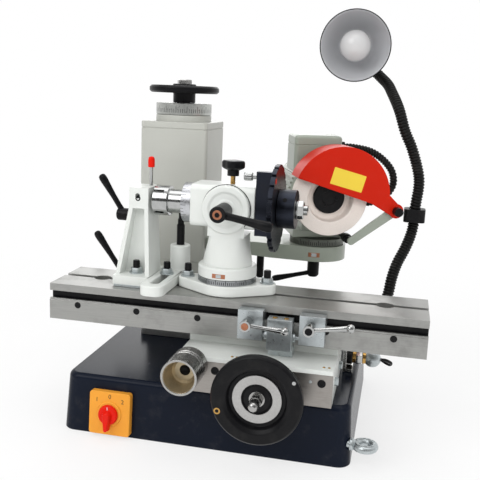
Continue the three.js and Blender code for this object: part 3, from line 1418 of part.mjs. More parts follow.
piece("workhead_base", workheadBase(), WHITE);
piece(
  "swivel_ring",
  rod(SWIVEL_RING_RADIUS, FLANGE_TOP + CLEAR, SWIVEL_RING_TOP, ROUND).translate(HEAD_X, SPINDLE_Y, 0),
  STEEL,
);
piece("workhead_pedestal", workheadPedestal(), WHITE);
piece("workhead_head", workheadHead(), WHITE);
piece("tilt_lever", tiltLever(), BLACK);
piece("star_knob", starKnob(), BLACK);
piece("spindle", onSpindle(spindle()), CHROME);
piece("spindle_dial", onSpindle(spindleDial()), ALUMINIUM);
piece("index_housing", indexHousing(), BLACK_STEEL);
piece("index_pin", indexPin(), STEEL);
piece("index_plate", onSpindle(indexPlate()), BLACK_STEEL);
piece("spindle_collar", onSpindle(spindleCollar()), BLACK_STEEL);
piece("drawbar_nut", onSpindle(drawbarNut()), BLACK_STEEL);

// Tailstock: a ribbed upright that leans in towards its head block
function tailstockBody() {
  const foot = block(TAIL_LEFT, TAIL_RIGHT, TAIL_FRONT, TAIL_BACK, onTable, TAIL_FOOT_TOP);
  const head = block(
    TAIL_HEAD_LEFT, TAIL_HEAD_RIGHT, TAIL_HEAD_FRONT, TAIL_HEAD_BACK, TAIL_HEAD_BOTTOM, TAIL_HEAD_TOP,
  );
  const low = TAIL_FOOT_TOP - CUT;
  const high = TAIL_HEAD_BOTTOM + CUT;
  const front = (TAIL_FRONT + TAIL_HEAD_FRONT) / 2;
  const slab = (lowLeft, lowRight, highLeft, highRight, frontLow, frontHigh, back) => loft([
    [
      at(lowLeft, frontLow, low), at(lowRight, frontLow, low), at(lowRight, back, low),
      at(lowLeft, back, low),
    ],
    [
      at(highLeft, frontHigh, high), at(highRight, frontHigh, high), at(highRight, back, high),
      at(highLeft, back, high),
    ],
  ]);
  const leftRib = slab(
    TAIL_LEFT, TAIL_LEFT + TAIL_RIB, TAIL_HEAD_LEFT, TAIL_HEAD_LEFT + TAIL_RIB, front, TAIL_HEAD_FRONT,
    TAIL_HEAD_BACK,
  );
  const rightRib = slab(
    TAIL_RIGHT - TAIL_RIB, TAIL_RIGHT, TAIL_HEAD_RIGHT - TAIL_RIB, TAIL_HEAD_RIGHT, front,
    TAIL_HEAD_FRONT, TAIL_HEAD_BACK,
  );
  const web = slab(
    TAIL_LEFT, TAIL_RIGHT, TAIL_HEAD_LEFT, TAIL_HEAD_RIGHT, TAIL_WEB_FRONT, TAIL_WEB_FRONT,
    TAIL_HEAD_BACK,
  );
  const quillBore = facingRight(bore(
    QUILL_RADIUS, TAIL_HEAD_LEFT + TAIL_RIB, TAIL_HEAD_RIGHT + CUT, FINE,
  )).translate(0, SPINDLE_Y, QUILL_Z);
  const knobBore = facingRight(bore(
    QUILL_KNOB, TAIL_HEAD_LEFT - CUT, TAIL_HEAD_LEFT + TAIL_RIB + CUT,
  )).translate(0, SPINDLE_Y, QUILL_Z);
  const clampBore = facingFront(rod(
    TAIL_CLAMP_BORE, -SPINDLE_Y + QUILL_RADIUS + CUT, -TAIL_HEAD_FRONT + CUT, SMALL,
  ));
  const leverBore = bore(QUILL_LEVER_ROD, QUILL_Z - QUILL_RADIUS, TAIL_HEAD_TOP + CUT);
  return cut(
    join(foot, head, leftRib, rightRib, web),
    quillBore,
    knobBore,
    clampBore.translate((TAIL_HEAD_LEFT + TAIL_HEAD_RIGHT) / 2 - CUT, 0, TAIL_CLAMP_Z),
    leverBore.translate(QUILL_LEVER_X, QUILL_LEVER_Y, 0),
  );
}

// Sprung centre: a rod with a short cone, and the knob at its back end
function tailstockQuill() {
  const cone = QUILL_RADIUS * 0.8;
  const back = TAIL_HEAD_LEFT + TAIL_RIB + QUILL_RADIUS * 2;
  return facingRight(turned([
    [0, QUILL_KNOB_LEFT],
    [QUILL_KNOB, QUILL_KNOB_LEFT],
    [QUILL_KNOB, back],
    [QUILL_RADIUS, back],
    [QUILL_RADIUS, QUILL_TIP - cone],
    [0, QUILL_TIP],
  ])).translate(0, SPINDLE_Y, QUILL_Z);
}

function quillLever() {
  const capRound = arc(0, QUILL_LEVER_TOP - QUILL_CAP_RADIUS, QUILL_CAP_RADIUS, 0, Math.PI / 2, BEND);
  return turned([
    [0, QUILL_Z - QUILL_RADIUS + CLEAR],
    [QUILL_LEVER_ROD, QUILL_Z - QUILL_RADIUS + CLEAR],
    [QUILL_LEVER_ROD, QUILL_CAP_BOTTOM],
    [QUILL_CAP_RADIUS, QUILL_CAP_BOTTOM],
    ...capRound.slice(0, -1),
    [0, QUILL_LEVER_TOP],
  ], SMALL).translate(QUILL_LEVER_X, QUILL_LEVER_Y, 0);
}

piece("tailstock_body", tailstockBody(), WHITE);
piece("tailstock_quill", tailstockQuill(), STEEL);
piece("quill_lever", quillLever(), BLACK_STEEL);

// Tooth rest: a slotted arm with a round boss at its back, and a stepped rod in the boss
function toothRestArm() {
  const outline = roundedOutline(
    REST_X - REST_HALF, REST_X + REST_HALF, REST_FRONT, REST_BACK, REST_HALF * 0.75,
  );
  const slotLine = [
    ...arc(REST_X, REST_SLOT_BACK - REST_SLOT, REST_SLOT, 0, Math.PI, BEND * 2),
    ...arc(REST_X, REST_SLOT_FRONT + REST_SLOT, REST_SLOT, Math.PI, 2 * Math.PI, BEND * 2),
  ];
  const boss = turned([
    [0, onTable],
    [REST_BOSS_RADIUS + CUT, onTable],
    [REST_BOSS_RADIUS + CUT, REST_TOP + CUT],
    [REST_BOSS_RADIUS, REST_TOP + REST_BOSS_RADIUS / 2],
    [REST_BOSS_RADIUS - CUT / 2, REST_BOSS_TOP - CUT],
    [REST_BOSS_RADIUS - CUT, REST_BOSS_TOP],
    [0, REST_BOSS_TOP],
  ], ROUND).translate(REST_BOSS_X, REST_BOSS_Y, 0);
  const seat = bore(
    REST_ROD, REST_ROD_BOTTOM - REST_ROD * 3, REST_BOSS_TOP + CUT,
  ).translate(REST_BOSS_X, REST_BOSS_Y, 0);
  return cut(
    join(raised(outline, onTable, REST_TOP), boss), raised(slotLine, onTable - CUT, REST_TOP + CUT),
    seat,
  );
}

function toothRestRod() {
  return turned([
    [0, REST_ROD_BOTTOM],
    [REST_ROD, REST_ROD_BOTTOM],
    [REST_ROD, REST_ROD_SHOULDER - CUT],
    [REST_ROD_NECK, REST_ROD_SHOULDER],
    [REST_ROD_NECK, REST_ROD_TOP],
    [0, REST_ROD_TOP],
  ], SMALL).translate(REST_BOSS_X, REST_BOSS_Y, 0);
}

piece("tooth_rest_arm", toothRestArm(), WHITE);
piece("tooth_rest_rod", toothRestRod(), BLACK_STEEL);

// Column: a housing that rides up and down on a fixed square ram
const columnX = (COLUMN_LEFT + COLUMN_RIGHT) / 2;
const columnY = (COLUMN_FRONT + COLUMN_BACK) / 2;
const onBase = BASE_HEIGHT + CLEAR;
const centred = (geometry) => geometry.translate(columnX, columnY, 0);
const squareRing = (side, inset, corner, z) =>
  ringAt(
    roundedOutline(-side / 2 + inset, side / 2 - inset, -side / 2 + inset, side / 2 - inset, corner), z,
  );

function columnRam() {
  const foot = loft([
    squareRing(RAM_FOOT, 0, COLUMN_CORNER, onBase),
    squareRing(RAM_FOOT, 0, COLUMN_CORNER, RAM_FOOT_TOP),
  ]);
  const ram = block(
    -RAM_SIDE / 2, RAM_SIDE / 2, -RAM_SIDE / 2, RAM_SIDE / 2, RAM_FOOT_TOP - CUT, RAM_TOP,
  );
  return centred(cut(join(foot, ram), bore(LIFT_SCREW, RAM_BORE_BOTTOM, RAM_TOP + CUT, FINE)));
}

function columnHousing() {
  const ring = (z, inset) => {
    const halfX = (COLUMN_RIGHT - COLUMN_LEFT) / 2 - inset;
    const halfY = (COLUMN_BACK - COLUMN_FRONT) / 2 - inset;
    return ringAt(roundedOutline(-halfX, halfX, -halfY, halfY, COLUMN_CORNER), z);
  };
  const seam = (z) => [ring(z - COLUMN_SEAM, 0), ring(z, COLUMN_SEAM), ring(z + COLUMN_SEAM, 0)];
  const shell = loft([
    ring(COLUMN_BOTTOM, 0),
    ...seam(COLUMN_SEAM_LOW),
    ...seam(COLUMN_SEAM_HIGH),
    ring(COLUMN_TOP - COLUMN_SEAM, 0),
    ring(COLUMN_TOP, COLUMN_SEAM),
  ]);
  const cap = rod(COLUMN_RING_RADIUS, COLUMN_TOP - CUT, COLUMN_RING_TOP, ROUND);
  const inside = RAM_SIDE / 2 + CLEAR;
  const hollow = block(-inside, inside, -inside, inside, COLUMN_BOTTOM - CUT, COLUMN_CEILING);
  const shaft = bore(LIFT_SCREW, COLUMN_CEILING - CUT, COLUMN_RING_TOP + CUT, FINE);
  const body = centred(cut(join(shell, cap), hollow, shaft));
  const stud = (z) => facingLeft(bore(
    LEVER_STUD, -COLUMN_LEFT - LEVER_STUD * 1.5, -COLUMN_LEFT + CUT, FINE,
  )).translate(0, LEVER_Y, z);
  return cut(body, stud(UPPER_LEVER_Z), stud(LOWER_LEVER_Z));
}

function columnDial() {
  return centred(turned([
    [LIFT_SCREW + CLEAR, COLUMN_RING_TOP + CLEAR],
    [COLUMN_RING_RADIUS, COLUMN_RING_TOP + CLEAR],
    [COLUMN_RING_RADIUS, COLUMN_DIAL_TOP - CUT],
    [COLUMN_RING_RADIUS - CUT, COLUMN_DIAL_TOP],
    [LIFT_SCREW + CLEAR, COLUMN_DIAL_TOP],
    [LIFT_SCREW + CLEAR, COLUMN_RING_TOP + CLEAR],
  ], ROUND));
}

function elevatingHandwheel() {
  const low = COLUMN_DIAL_TOP + CLEAR;
  return centred(turned([
    [LIFT_SCREW + CLEAR, low],
    [LIFT_NECK, low],
    [LIFT_NECK, LIFT_NECK_TOP],
    [LIFT_WHEEL_RADIUS * 0.72, LIFT_RIM_BOTTOM],
    [LIFT_WHEEL_RADIUS - WHEEL_RIM_CHAMFER, LIFT_RIM_BOTTOM],
    [LIFT_WHEEL_RADIUS, LIFT_RIM_BOTTOM + WHEEL_RIM_CHAMFER],
    [LIFT_WHEEL_RADIUS, LIFT_RIM_TOP - WHEEL_RIM_CHAMFER],
    [LIFT_WHEEL_RADIUS - WHEEL_RIM_CHAMFER, LIFT_RIM_TOP],
    [LIFT_WHEEL_RADIUS * 0.75, LIFT_RIM_TOP],
    [LIFT_WHEEL_RADIUS * 0.7, LIFT_RIM_TOP - WHEEL_RIM_CHAMFER * 2],
    [LIFT_NECK, LIFT_RIM_TOP - WHEEL_RIM_CHAMFER * 2],
    [LIFT_NECK - CUT, LIFT_HUB_TOP],
    [LIFT_SCREW + CLEAR, LIFT_HUB_TOP],
    [LIFT_SCREW + CLEAR, low],
  ], ROUND));
}

function elevatingScrew() {
  const nut = LIFT_HUB_TOP + CLEAR;
  const dome = LIFT_SCREW;
  return centred(turned([
    [0, LIFT_SCREW_BOTTOM],
    [LIFT_SCREW, LIFT_SCREW_BOTTOM],
    [LIFT_SCREW, nut],
    [LIFT_SCREW + CUT * 2, nut],
    [LIFT_SCREW + CUT * 2, nut + CUT],
    [dome, nut + CUT],
    [dome * 0.7, LIFT_NUT_TOP - CUT / 2],
    [0, LIFT_NUT_TOP],
  ]));
}

// Clamp lever on the column's left side, its stud in the housing
function columnLever(z, tipX, tipZ) {
  const face = -COLUMN_LEFT + CLEAR;
  const end = -LEVER_HUB_LEFT;
  const hub = facingLeft(turned([
    [0, -COLUMN_LEFT - LEVER_STUD],
    [LEVER_STUD, -COLUMN_LEFT - LEVER_STUD],
    [LEVER_STUD, face],
    [LEVER_HUB_RADIUS * 0.8, face],
    [LEVER_HUB_RADIUS * 0.8, face + LEVER_HUB_RADIUS],
    [LEVER_HUB_RADIUS, face + LEVER_HUB_RADIUS * 1.4],
    [LEVER_HUB_RADIUS, end - CUT],
    [LEVER_HUB_RADIUS - CUT, end],
    [0, end],
  ])).translate(0, LEVER_Y, z);
  const from = at(LEVER_HUB_LEFT + LEVER_HUB_RADIUS, LEVER_Y, z);
  return join(
    hub, leverArm(from, at(tipX, LEVER_Y, tipZ), LEVER_WIDTH, LEVER_WIDTH * 0.8, at(0, 1, 0)),
  );
}

piece("column_ram", columnRam(), STEEL);
piece("column_housing", columnHousing(), GREYWHITE);
piece("column_dial", columnDial(), STEEL);
piece("elevating_handwheel", elevatingHandwheel(), BLACK);
piece("elevating_screw", elevatingScrew(), STEEL);
piece("column_lever_upper", columnLever(UPPER_LEVER_Z, UPPER_TIP_X, UPPER_TIP_Z), BLACK);
piece("column_lever_lower", columnLever(LOWER_LEVER_Z, LOWER_TIP_X, LOWER_TIP_Z), BLACK);

// Arm: its round end lies under the swivel, and its underside rises towards the column
function arm() {
  const left = COLUMN_RIGHT + CLEAR;
  const reach = SWIVEL_X - left;
  const frontTurn = Math.atan2(SWIVEL_Y - ARM_END_RADIUS - ARM_FRONT, reach);
  const backTurn = Math.atan2(SWIVEL_Y + ARM_END_RADIUS - ARM_BACK, reach);
  const outline = [
    [left, ARM_FRONT],
    ...arc(SWIVEL_X, SWIVEL_Y, ARM_END_RADIUS, -Math.PI / 2 + frontTurn, Math.PI / 2 + backTurn, FINE),
    [left, ARM_BACK],
  ];
  const profile = [
    [left, ARM_ROOT_BOTTOM],
    [ARM_TAPER_END_X, ARM_END_BOTTOM],
    [SWIVEL_X + ARM_END_RADIUS * 2, ARM_END_BOTTOM],
    [SWIVEL_X + ARM_END_RADIUS * 2, ARM_TOP],
    [left, ARM_TOP],
  ];
  const body = common(
    raised(outline, ARM_END_BOTTOM - CUT, ARM_TOP + CUT),
    alongY(profile, ARM_FRONT - ARM_END_RADIUS, ARM_BACK + ARM_END_RADIUS),
  );
  const spigot = bore(
    SPIGOT_RADIUS, ARM_TOP - SPIGOT_DEPTH - CLEAR, ARM_TOP + CUT, ROUND,
  ).translate(SWIVEL_X, SWIVEL_Y, 0);
  const depth = (ARM_TOP - ARM_END_BOTTOM) / 3;
  const lever = bore(
    LEVER_STUD, ARM_END_BOTTOM - CUT * 2, ARM_END_BOTTOM + depth, FINE,
  ).translate(ARM_LEVER_X, ARM_LEVER_Y, 0);
  const grip = bore(
    GRIP_RADIUS / 2, ARM_END_BOTTOM - CUT * 2, ARM_ROOT_BOTTOM + depth,
  ).translate(GRIP_X, GRIP_Y, 0);
  return cut(body, spigot, lever, grip);
}

function armLever() {
  const top = ARM_END_BOTTOM - CLEAR;
  const tall = top - ARM_LEVER_BOTTOM;
  const depth = (ARM_TOP - ARM_END_BOTTOM) / 3 - CLEAR;
  const hub = turned([
    [0, ARM_LEVER_BOTTOM],
    [ARM_LEVER_RADIUS * 0.75, ARM_LEVER_BOTTOM],
    [ARM_LEVER_RADIUS, ARM_LEVER_BOTTOM + tall * 0.2],
    [ARM_LEVER_RADIUS, ARM_LEVER_BOTTOM + tall * 0.8],
    [ARM_LEVER_RADIUS * 0.75, ARM_LEVER_BOTTOM + tall * 0.85],
    [ARM_LEVER_RADIUS * 0.75, top],
    [LEVER_STUD, top],
    [LEVER_STUD, ARM_END_BOTTOM + depth],
    [0, ARM_END_BOTTOM + depth],
  ]).translate(ARM_LEVER_X, ARM_LEVER_Y, 0);
  const from = at(ARM_LEVER_X, ARM_LEVER_Y, ARM_LEVER_BOTTOM + tall / 2);
  return join(
    hub,
    leverArm(
      from, at(ARM_LEVER_TIP_X, ARM_LEVER_TIP_Y, ARM_LEVER_TIP_Z), LEVER_WIDTH * 0.8, LEVER_WIDTH * 0.7,
      at(0, 1, 0),
    ),
  );
}

function armGrip() {
  const slope = (ARM_ROOT_BOTTOM - ARM_END_BOTTOM) / (ARM_TAPER_END_X - COLUMN_RIGHT);
  const top = ARM_END_BOTTOM + slope * (ARM_TAPER_END_X - GRIP_X - GRIP_RADIUS) - CLEAR;
  const stud = GRIP_RADIUS / 2;
  return turned([
    [0, GRIP_BOTTOM],
    [GRIP_RADIUS * 0.6, GRIP_BOTTOM],
    [GRIP_RADIUS, GRIP_BOTTOM + GRIP_RADIUS / 2],
    [GRIP_RADIUS, top],
    [stud, top],
    [stud, top + GRIP_RADIUS],
    [0, top + GRIP_RADIUS],
  ]).translate(GRIP_X, GRIP_Y, 0);
}

piece("arm", arm(), GREYWHITE);
piece("arm_lever", armLever(), BLACK);
piece("arm_grip", armGrip(), BLACK_STEEL);

// Grinding head, turned about the swivel
const head = new THREE.Group();
head.position.set(SWIVEL_X, SWIVEL_Y, 0);
head.rotation.z = HEAD_YAW;
machine.add(head);

function swivelDisc() {
  return turned([
    [0, ARM_TOP - SPIGOT_DEPTH],
    [SPIGOT_RADIUS, ARM_TOP - SPIGOT_DEPTH],
    [SPIGOT_RADIUS, ARM_TOP + CLEAR],
    [SWIVEL_DISC, ARM_TOP + CLEAR],
    [SWIVEL_DISC, SWIVEL_DISC_TOP],
    [0, SWIVEL_DISC_TOP],
  ], ROUND);
}

const onAxle = (geometry) => facingFront(geometry).translate(0, 0, AXLE_Z);
const glandAt = (x, y, z, radius, length) => facingRight(rod(
  radius, 0, length, SMALL,
)).translate(x, y, z);

// Motor: finned stator between a front bell and a fan cover, on a foot, with its terminal box
function motor() {
  const fins = [];
  for (let i = 0; i < MOTOR_FINS; i += 1) {
    const pitch = (2 * Math.PI) / MOTOR_FINS;
    const start = i * pitch;
    const inner = MOTOR_RADIUS - MOTOR_FIN_HEIGHT;
    fins.push(...arc(0, 0, inner, start, start + pitch * 0.4, 1));
    fins.push(...arc(0, 0, MOTOR_RADIUS, start + pitch * 0.5, start + pitch * 0.9, 1));
  }
  const stator = onAxle(raised(fins, -MOTOR_STATOR_BACK, -MOTOR_BELL));
  const inner = MOTOR_RADIUS - MOTOR_FIN_HEIGHT;
  const shell = onAxle(turned([
    [0, -MOTOR_BACK],
    [inner * 0.85, -MOTOR_BACK],
    [inner + CUT, -MOTOR_BACK + MOTOR_FIN_HEIGHT * 2],
    [inner + CUT, -MOTOR_STATOR_BACK + CUT],
    [inner - CUT, -MOTOR_STATOR_BACK + CUT],
    [inner - CUT, -MOTOR_BELL - CUT],
    [inner, -MOTOR_BELL - CUT],
    [inner - CUT, -MOTOR_BELL + MOTOR_FIN_HEIGHT],
    [inner * 0.72, -MOTOR_FRONT - CUT],
    [inner * 0.45, -MOTOR_FRONT - CUT],
    [inner * 0.42, -MOTOR_FRONT],
    [0, -MOTOR_FRONT],
  ], ROUND));
  const foot = block(
    -MOTOR_BASE_HALF, MOTOR_BASE_HALF * 0.8, MOTOR_BASE_FRONT, MOTOR_BASE_BACK, SWIVEL_DISC_TOP + CLEAR,
    MOTOR_BASE_TOP,
  );
  const saddleFoot = block(
    -MOTOR_BASE_HALF * 0.7, MOTOR_BASE_HALF * 0.7, MOTOR_BASE_FRONT + CUT, MOTOR_BASE_BACK - CUT,
    MOTOR_BASE_TOP - CUT, AXLE_Z - inner * 0.6,
  );
  const boxLow = AXLE_Z + inner * 0.6;
  const boxRing = (z, inset) => ringAt(
    roundedOutline(
      TERMINAL_LEFT + inset, TERMINAL_RIGHT - inset, TERMINAL_FRONT + inset, TERMINAL_BACK - inset,
      MOTOR_FIN_HEIGHT * 2,
    ),
    z,
  );
  const boxRings = [
    boxRing(boxLow, 0),
    boxRing(TERMINAL_TOP - MOTOR_FIN_HEIGHT, 0),
    boxRing(TERMINAL_TOP, MOTOR_FIN_HEIGHT),
  ];
  const topGland = glandAt(
    TERMINAL_RIGHT - CUT, TOP_GLAND_Y, TOP_GLAND_Z, GLAND_RADIUS, GLAND_LENGTH + CUT,
  );
  const lowGland = glandAt(
    LOW_GLAND_X - GLAND_LENGTH, LOW_GLAND_Y, LOW_GLAND_Z, GLAND_RADIUS, GLAND_LENGTH * 2,
  );
  const seat = onAxle(bore(ARBOR_RADIUS, -MOTOR_FRONT - ARBOR_SEAT, -MOTOR_FRONT + CUT, ROUND));
  return cut(join(shell, stator, foot, saddleFoot, loft(boxRings), topGland, lowGland), seat);
}

// Arbor, back flange and front flange of the wheel
function wheelFlange() {
  const web = -GRIND_FRONT - GRIND_RECESS;
  return onAxle(turned([
    [0, -MOTOR_FRONT - ARBOR_SEAT + CLEAR],
    [ARBOR_RADIUS, -MOTOR_FRONT - ARBOR_SEAT + CLEAR],
    [ARBOR_RADIUS, -MOTOR_FRONT + CUT * 2],
    [BACK_FLANGE_RADIUS - CUT, -MOTOR_FRONT + CUT * 2],
    [BACK_FLANGE_RADIUS, -GRIND_BACK - CUT],
    [BACK_FLANGE_RADIUS, -GRIND_BACK - CLEAR],
    [GRIND_BORE - CLEAR, -GRIND_BACK - CLEAR],
    [GRIND_BORE - CLEAR, web + CLEAR],
    [NUT_FLANGE_RADIUS, web + CLEAR],
    [NUT_FLANGE_RADIUS, web + NUT_FLANGE_THICKNESS - CUT / 2],
    [NUT_FLANGE_RADIUS - CUT, web + NUT_FLANGE_THICKNESS],
    [0, web + NUT_FLANGE_THICKNESS],
  ], FINE));
}

function grindingWheel() {
  const web = -GRIND_FRONT - GRIND_RECESS;
  return onAxle(turned([
    [GRIND_BORE, -GRIND_BACK],
    [GRIND_RADIUS - CUT, -GRIND_BACK],
    [GRIND_RADIUS, -GRIND_BACK + CUT / 2],
    [GRIND_RADIUS, -GRIND_FRONT - CUT / 2],
    [GRIND_RADIUS - CUT / 2, -GRIND_FRONT],
    [GRIND_RECESS_RADIUS + CUT, -GRIND_FRONT],
    [GRIND_RECESS_RADIUS, web],
    [GRIND_BORE, web],
    [GRIND_BORE, -GRIND_BACK],
  ], ROUND));
}

// Guard: a hood of sheet with a front plate, a band and a short back plate, hung by its ear
function wheelGuard() {
  const steps = FINE;
  const rim = arc(GUARD_X, GUARD_Z, GUARD_RADIUS, GUARD_START, GUARD_END, steps);
  const inside = arc(GUARD_X, GUARD_Z, GUARD_RADIUS - GUARD_SHEET, GUARD_END, GUARD_START, steps);
  const lip = [GUARD_LIP_X, GUARD_LIP_Z];
  const ear = arc(EAR_X, EAR_Z, EAR_RADIUS, -Math.PI * 0.8, Math.PI * 0.45, steps / 2);
  const plate = alongY([...rim, lip, ...ear], GUARD_FRONT, GUARD_FRONT + GUARD_SHEET);
  const band = alongY([...rim, ...inside], GUARD_FRONT + GUARD_SHEET / 2, GUARD_BACK);
  const back = alongY([...rim, lip], GUARD_BACK - GUARD_SHEET, GUARD_BACK);
  const low = -GUARD_BACK - GUARD_SHEET;
  const opening = onAxle(rod(MOTOR_RADIUS * 0.8, low, low + GUARD_SHEET * 3, ROUND));
  const stud = facingFront(bore(EAR_STUD, -GUARD_FRONT - GUARD_SHEET - CUT, -GUARD_FRONT + CUT));
  return cut(join(plate, band, cut(back, opening)), stud.translate(EAR_X, 0, EAR_Z));
}

// Bar that carries the guard: from the ear's stud down and back to the motor's foot
function guardBar() {
  const back = BAR_FRONT + BAR_THICKNESS;
  const turn = Math.atan2(EAR_Z - BAR_Z, EAR_X - BAR_X);
  const flat = alongY([
    ...arc(EAR_X, EAR_Z, BAR_HALF * 1.6, turn - Math.PI / 2, turn + Math.PI / 2, BEND * 2),
    ...arc(BAR_X, BAR_Z, BAR_HALF * 1.2, turn + Math.PI / 2, turn + (3 * Math.PI) / 2, BEND * 2),
  ], BAR_FRONT, back);
  const stud = facingFront(turned([
    [0, -BAR_FRONT - CUT],
    [EAR_STUD, -BAR_FRONT - CUT],
    [EAR_STUD, -GUARD_FRONT + CLEAR],
    [EAR_KNOB, -GUARD_FRONT + CLEAR],
    [EAR_KNOB, -EAR_KNOB_FRONT - CUT],
    [EAR_KNOB - CUT, -EAR_KNOB_FRONT],
    [0, -EAR_KNOB_FRONT],
  ], SMALL)).translate(EAR_X, 0, EAR_Z);
  const leg = facingFront(turned([
    [0, -MOTOR_BASE_FRONT + CLEAR],
    [BAR_HALF, -MOTOR_BASE_FRONT + CLEAR],
    [BAR_HALF, -BAR_KNOB_Y - BAR_KNOB],
    [BAR_KNOB, -BAR_KNOB_Y - BAR_KNOB + CUT],
    [BAR_KNOB, -BAR_KNOB_Y + BAR_KNOB - CUT],
    [BAR_HALF, -BAR_KNOB_Y + BAR_KNOB],
    [BAR_HALF, -back + CUT],
    [0, -back + CUT],
  ], SMALL)).translate(BAR_X, 0, BAR_Z);
  return join(flat, stud, leg);
}

// Corrugated conduit from the terminal box down to the motor's body
function motorConduit() {
  const start = TERMINAL_RIGHT + GLAND_LENGTH + CLEAR;
  const end = LOW_GLAND_X + GLAND_LENGTH + CLEAR;
  const straight = CONDUIT_OUTER * 2;
  const curve = new THREE.CatmullRomCurve3([
    at(start, TOP_GLAND_Y, TOP_GLAND_Z),
    at(start + straight, TOP_GLAND_Y, TOP_GLAND_Z),
    above(92, -4, 368),
    above(118, -8, 351),
    above(133, -10, 331),
    above(135, -12, 309),
    above(122, -13, 289),
    above(102, -12, 278),
    at(end + straight, LOW_GLAND_Y, LOW_GLAND_Z),
    at(end, LOW_GLAND_Y, LOW_GLAND_Z),
  ], false, "centripetal");
  return drawnTube(CONDUIT_OUTER, CONDUIT_SIDES, CONDUIT_STEPS, curve);
}

piece("swivel_disc", swivelDisc(), STEEL, head);
piece("motor", motor(), GREYWHITE, head);
piece("wheel_flange", wheelFlange(), BLACK_STEEL, head);
piece("grinding_wheel", grindingWheel(), STONE, head);
piece("wheel_guard", wheelGuard(), RED, head);
piece("guard_bar", guardBar(), BLACK, head);
piece("motor_conduit", motorConduit(), BLACK, head);

// Lamp on the base: bracket, fitting, gooseneck, clip, shade, bulb and lead
const fittingRight = FITTING_ELBOW_X;
const shadeAxis = at(0.072, -0.995, -0.064).normalize();
const shadeTurn = new THREE.Quaternion().setFromUnitVectors(at(0, 0, 1), shadeAxis);
const onShade = (mesh) => {
  mesh.position.set(SHADE_X, SHADE_Y, SHADE_Z);
  mesh.quaternion.copy(shadeTurn);
};

// The gooseneck leaves the elbow along one direction and meets the shade's spigot along another
const footAxis = at(0.05, 0.55, 0.83).normalize();
const elbow = at(FITTING_ELBOW_X, FITTING_Y, FITTING_Z);
const neckFoot = elbow.clone().addScaledVector(footAxis, FITTING_ELBOW + FITTING_FOOT);
const spigotAxis = at(0.68, -0.7, 0.2).normalize();
const spigotRoot = at(0, 0, -SHADE_DEPTH - SHADE_SOCKET_LENGTH / 2);
const spigotEnd = spigotRoot.clone().addScaledVector(spigotAxis, SHADE_SOCKET + SHADE_SPIGOT);
const toWorld = (point) => point.clone().applyQuaternion(shadeTurn).add(at(SHADE_X, SHADE_Y, SHADE_Z));
const hosePoints = [
  neckFoot,
  neckFoot.clone().addScaledVector(footAxis, HOSE_STRAIGHT),
  above(263.5, 13, 77),
  above(268.5, 22, 100),
  above(275.6, 32, 127),
  above(279.5, 44, 152),
  above(286, 57, 175),
  above(299.3, 73.1, 204),
  above(306.5, 84.5, 225),
  above(309.4, 89, 241),
  above(310, 90, 255),
  above(310, 90, 269),
  above(311.6, 92.1, 289),
  above(313.4, 95.7, 308),
  above(312.9, 98.4, 325),
  above(308.6, 100, 344),
  above(294.9, 100, 382),
  above(282, 100, 408),
  above(268.4, 112, 445.5),
  above(253.5, 142.5, 474),
  above(243.5, 161.7, 490),
  above(227.5, 180.4, 504.8),
  toWorld(spigotEnd.clone().addScaledVector(spigotAxis, HOSE_STRAIGHT + CLEAR)),
  toWorld(spigotEnd.clone().addScaledVector(spigotAxis, CLEAR)),
];

// Bracket plate and foot, with the fitting's nuts and its elbow on one axis
function lampFitting() {
  const right = BRACKET_LEFT + BRACKET_THICKNESS;
  const plate = alongX(
    roundedOutline(BRACKET_FRONT, BRACKET_BACK, onBase, BRACKET_TOP, BRACKET_THICKNESS), BRACKET_LEFT,
    right,
  );
  const foot = block(
    BRACKET_LEFT, BRACKET_LEFT + BRACKET_FOOT, BRACKET_FRONT, BRACKET_BACK, onBase,
    onBase + BRACKET_THICKNESS,
  );
  const span = fittingRight - right;
  const stem = facingRight(turned([
    [0, right - CUT],
    [FITTING_NUT, right - CUT],
    [FITTING_NUT, right + span * 0.22],
    [FITTING_RING, right + span * 0.24],
    [FITTING_RING, right + span * 0.34],
    [FITTING_HEX, right + span * 0.36],
    [FITTING_HEX, right + span * 0.62],
    [FITTING_RING, right + span * 0.64],
    [FITTING_RING, fittingRight],
    [0, fittingRight],
  ])).translate(0, FITTING_Y, FITTING_Z);
  const ball = new THREE.SphereGeometry(FITTING_ELBOW, FINE, 8).translate(
    fittingRight, FITTING_Y, FITTING_Z,
  );
  const top = neckFoot.clone().addScaledVector(footAxis, -CLEAR);
  const nozzle = limb(
    [elbow, top], [[HOSE_OUTER + CUT, HOSE_OUTER + CUT], [HOSE_OUTER + CUT, HOSE_OUTER + CUT]],
    at(1, 0, 0),
  );
  return join(plate, foot, stem, ball, nozzle);
}

function gooseneck() {
  return ribbedHose(new THREE.CatmullRomCurve3(hosePoints, false, "centripetal"));
}

// Clip: two halves round the gooseneck, as one block with its bore and a split at the back
function gooseneckClip() {
  const x = (CLIP_LEFT + CLIP_RIGHT) / 2;
  const half = CLIP_DEPTH / 2;
  const outline = roundedOutline(CLIP_LEFT, CLIP_RIGHT, CLIP_Y - half, CLIP_Y + half, CLIP_DEPTH / 4);
  const hole = bore(
    HOSE_OUTER + CLEAR * 2, CLIP_BOTTOM - CUT, CLIP_TOP + CUT, ROUND,
  ).translate(x, CLIP_Y, 0);
  return cut(raised(outline, CLIP_BOTTOM, CLIP_TOP), hole);
}

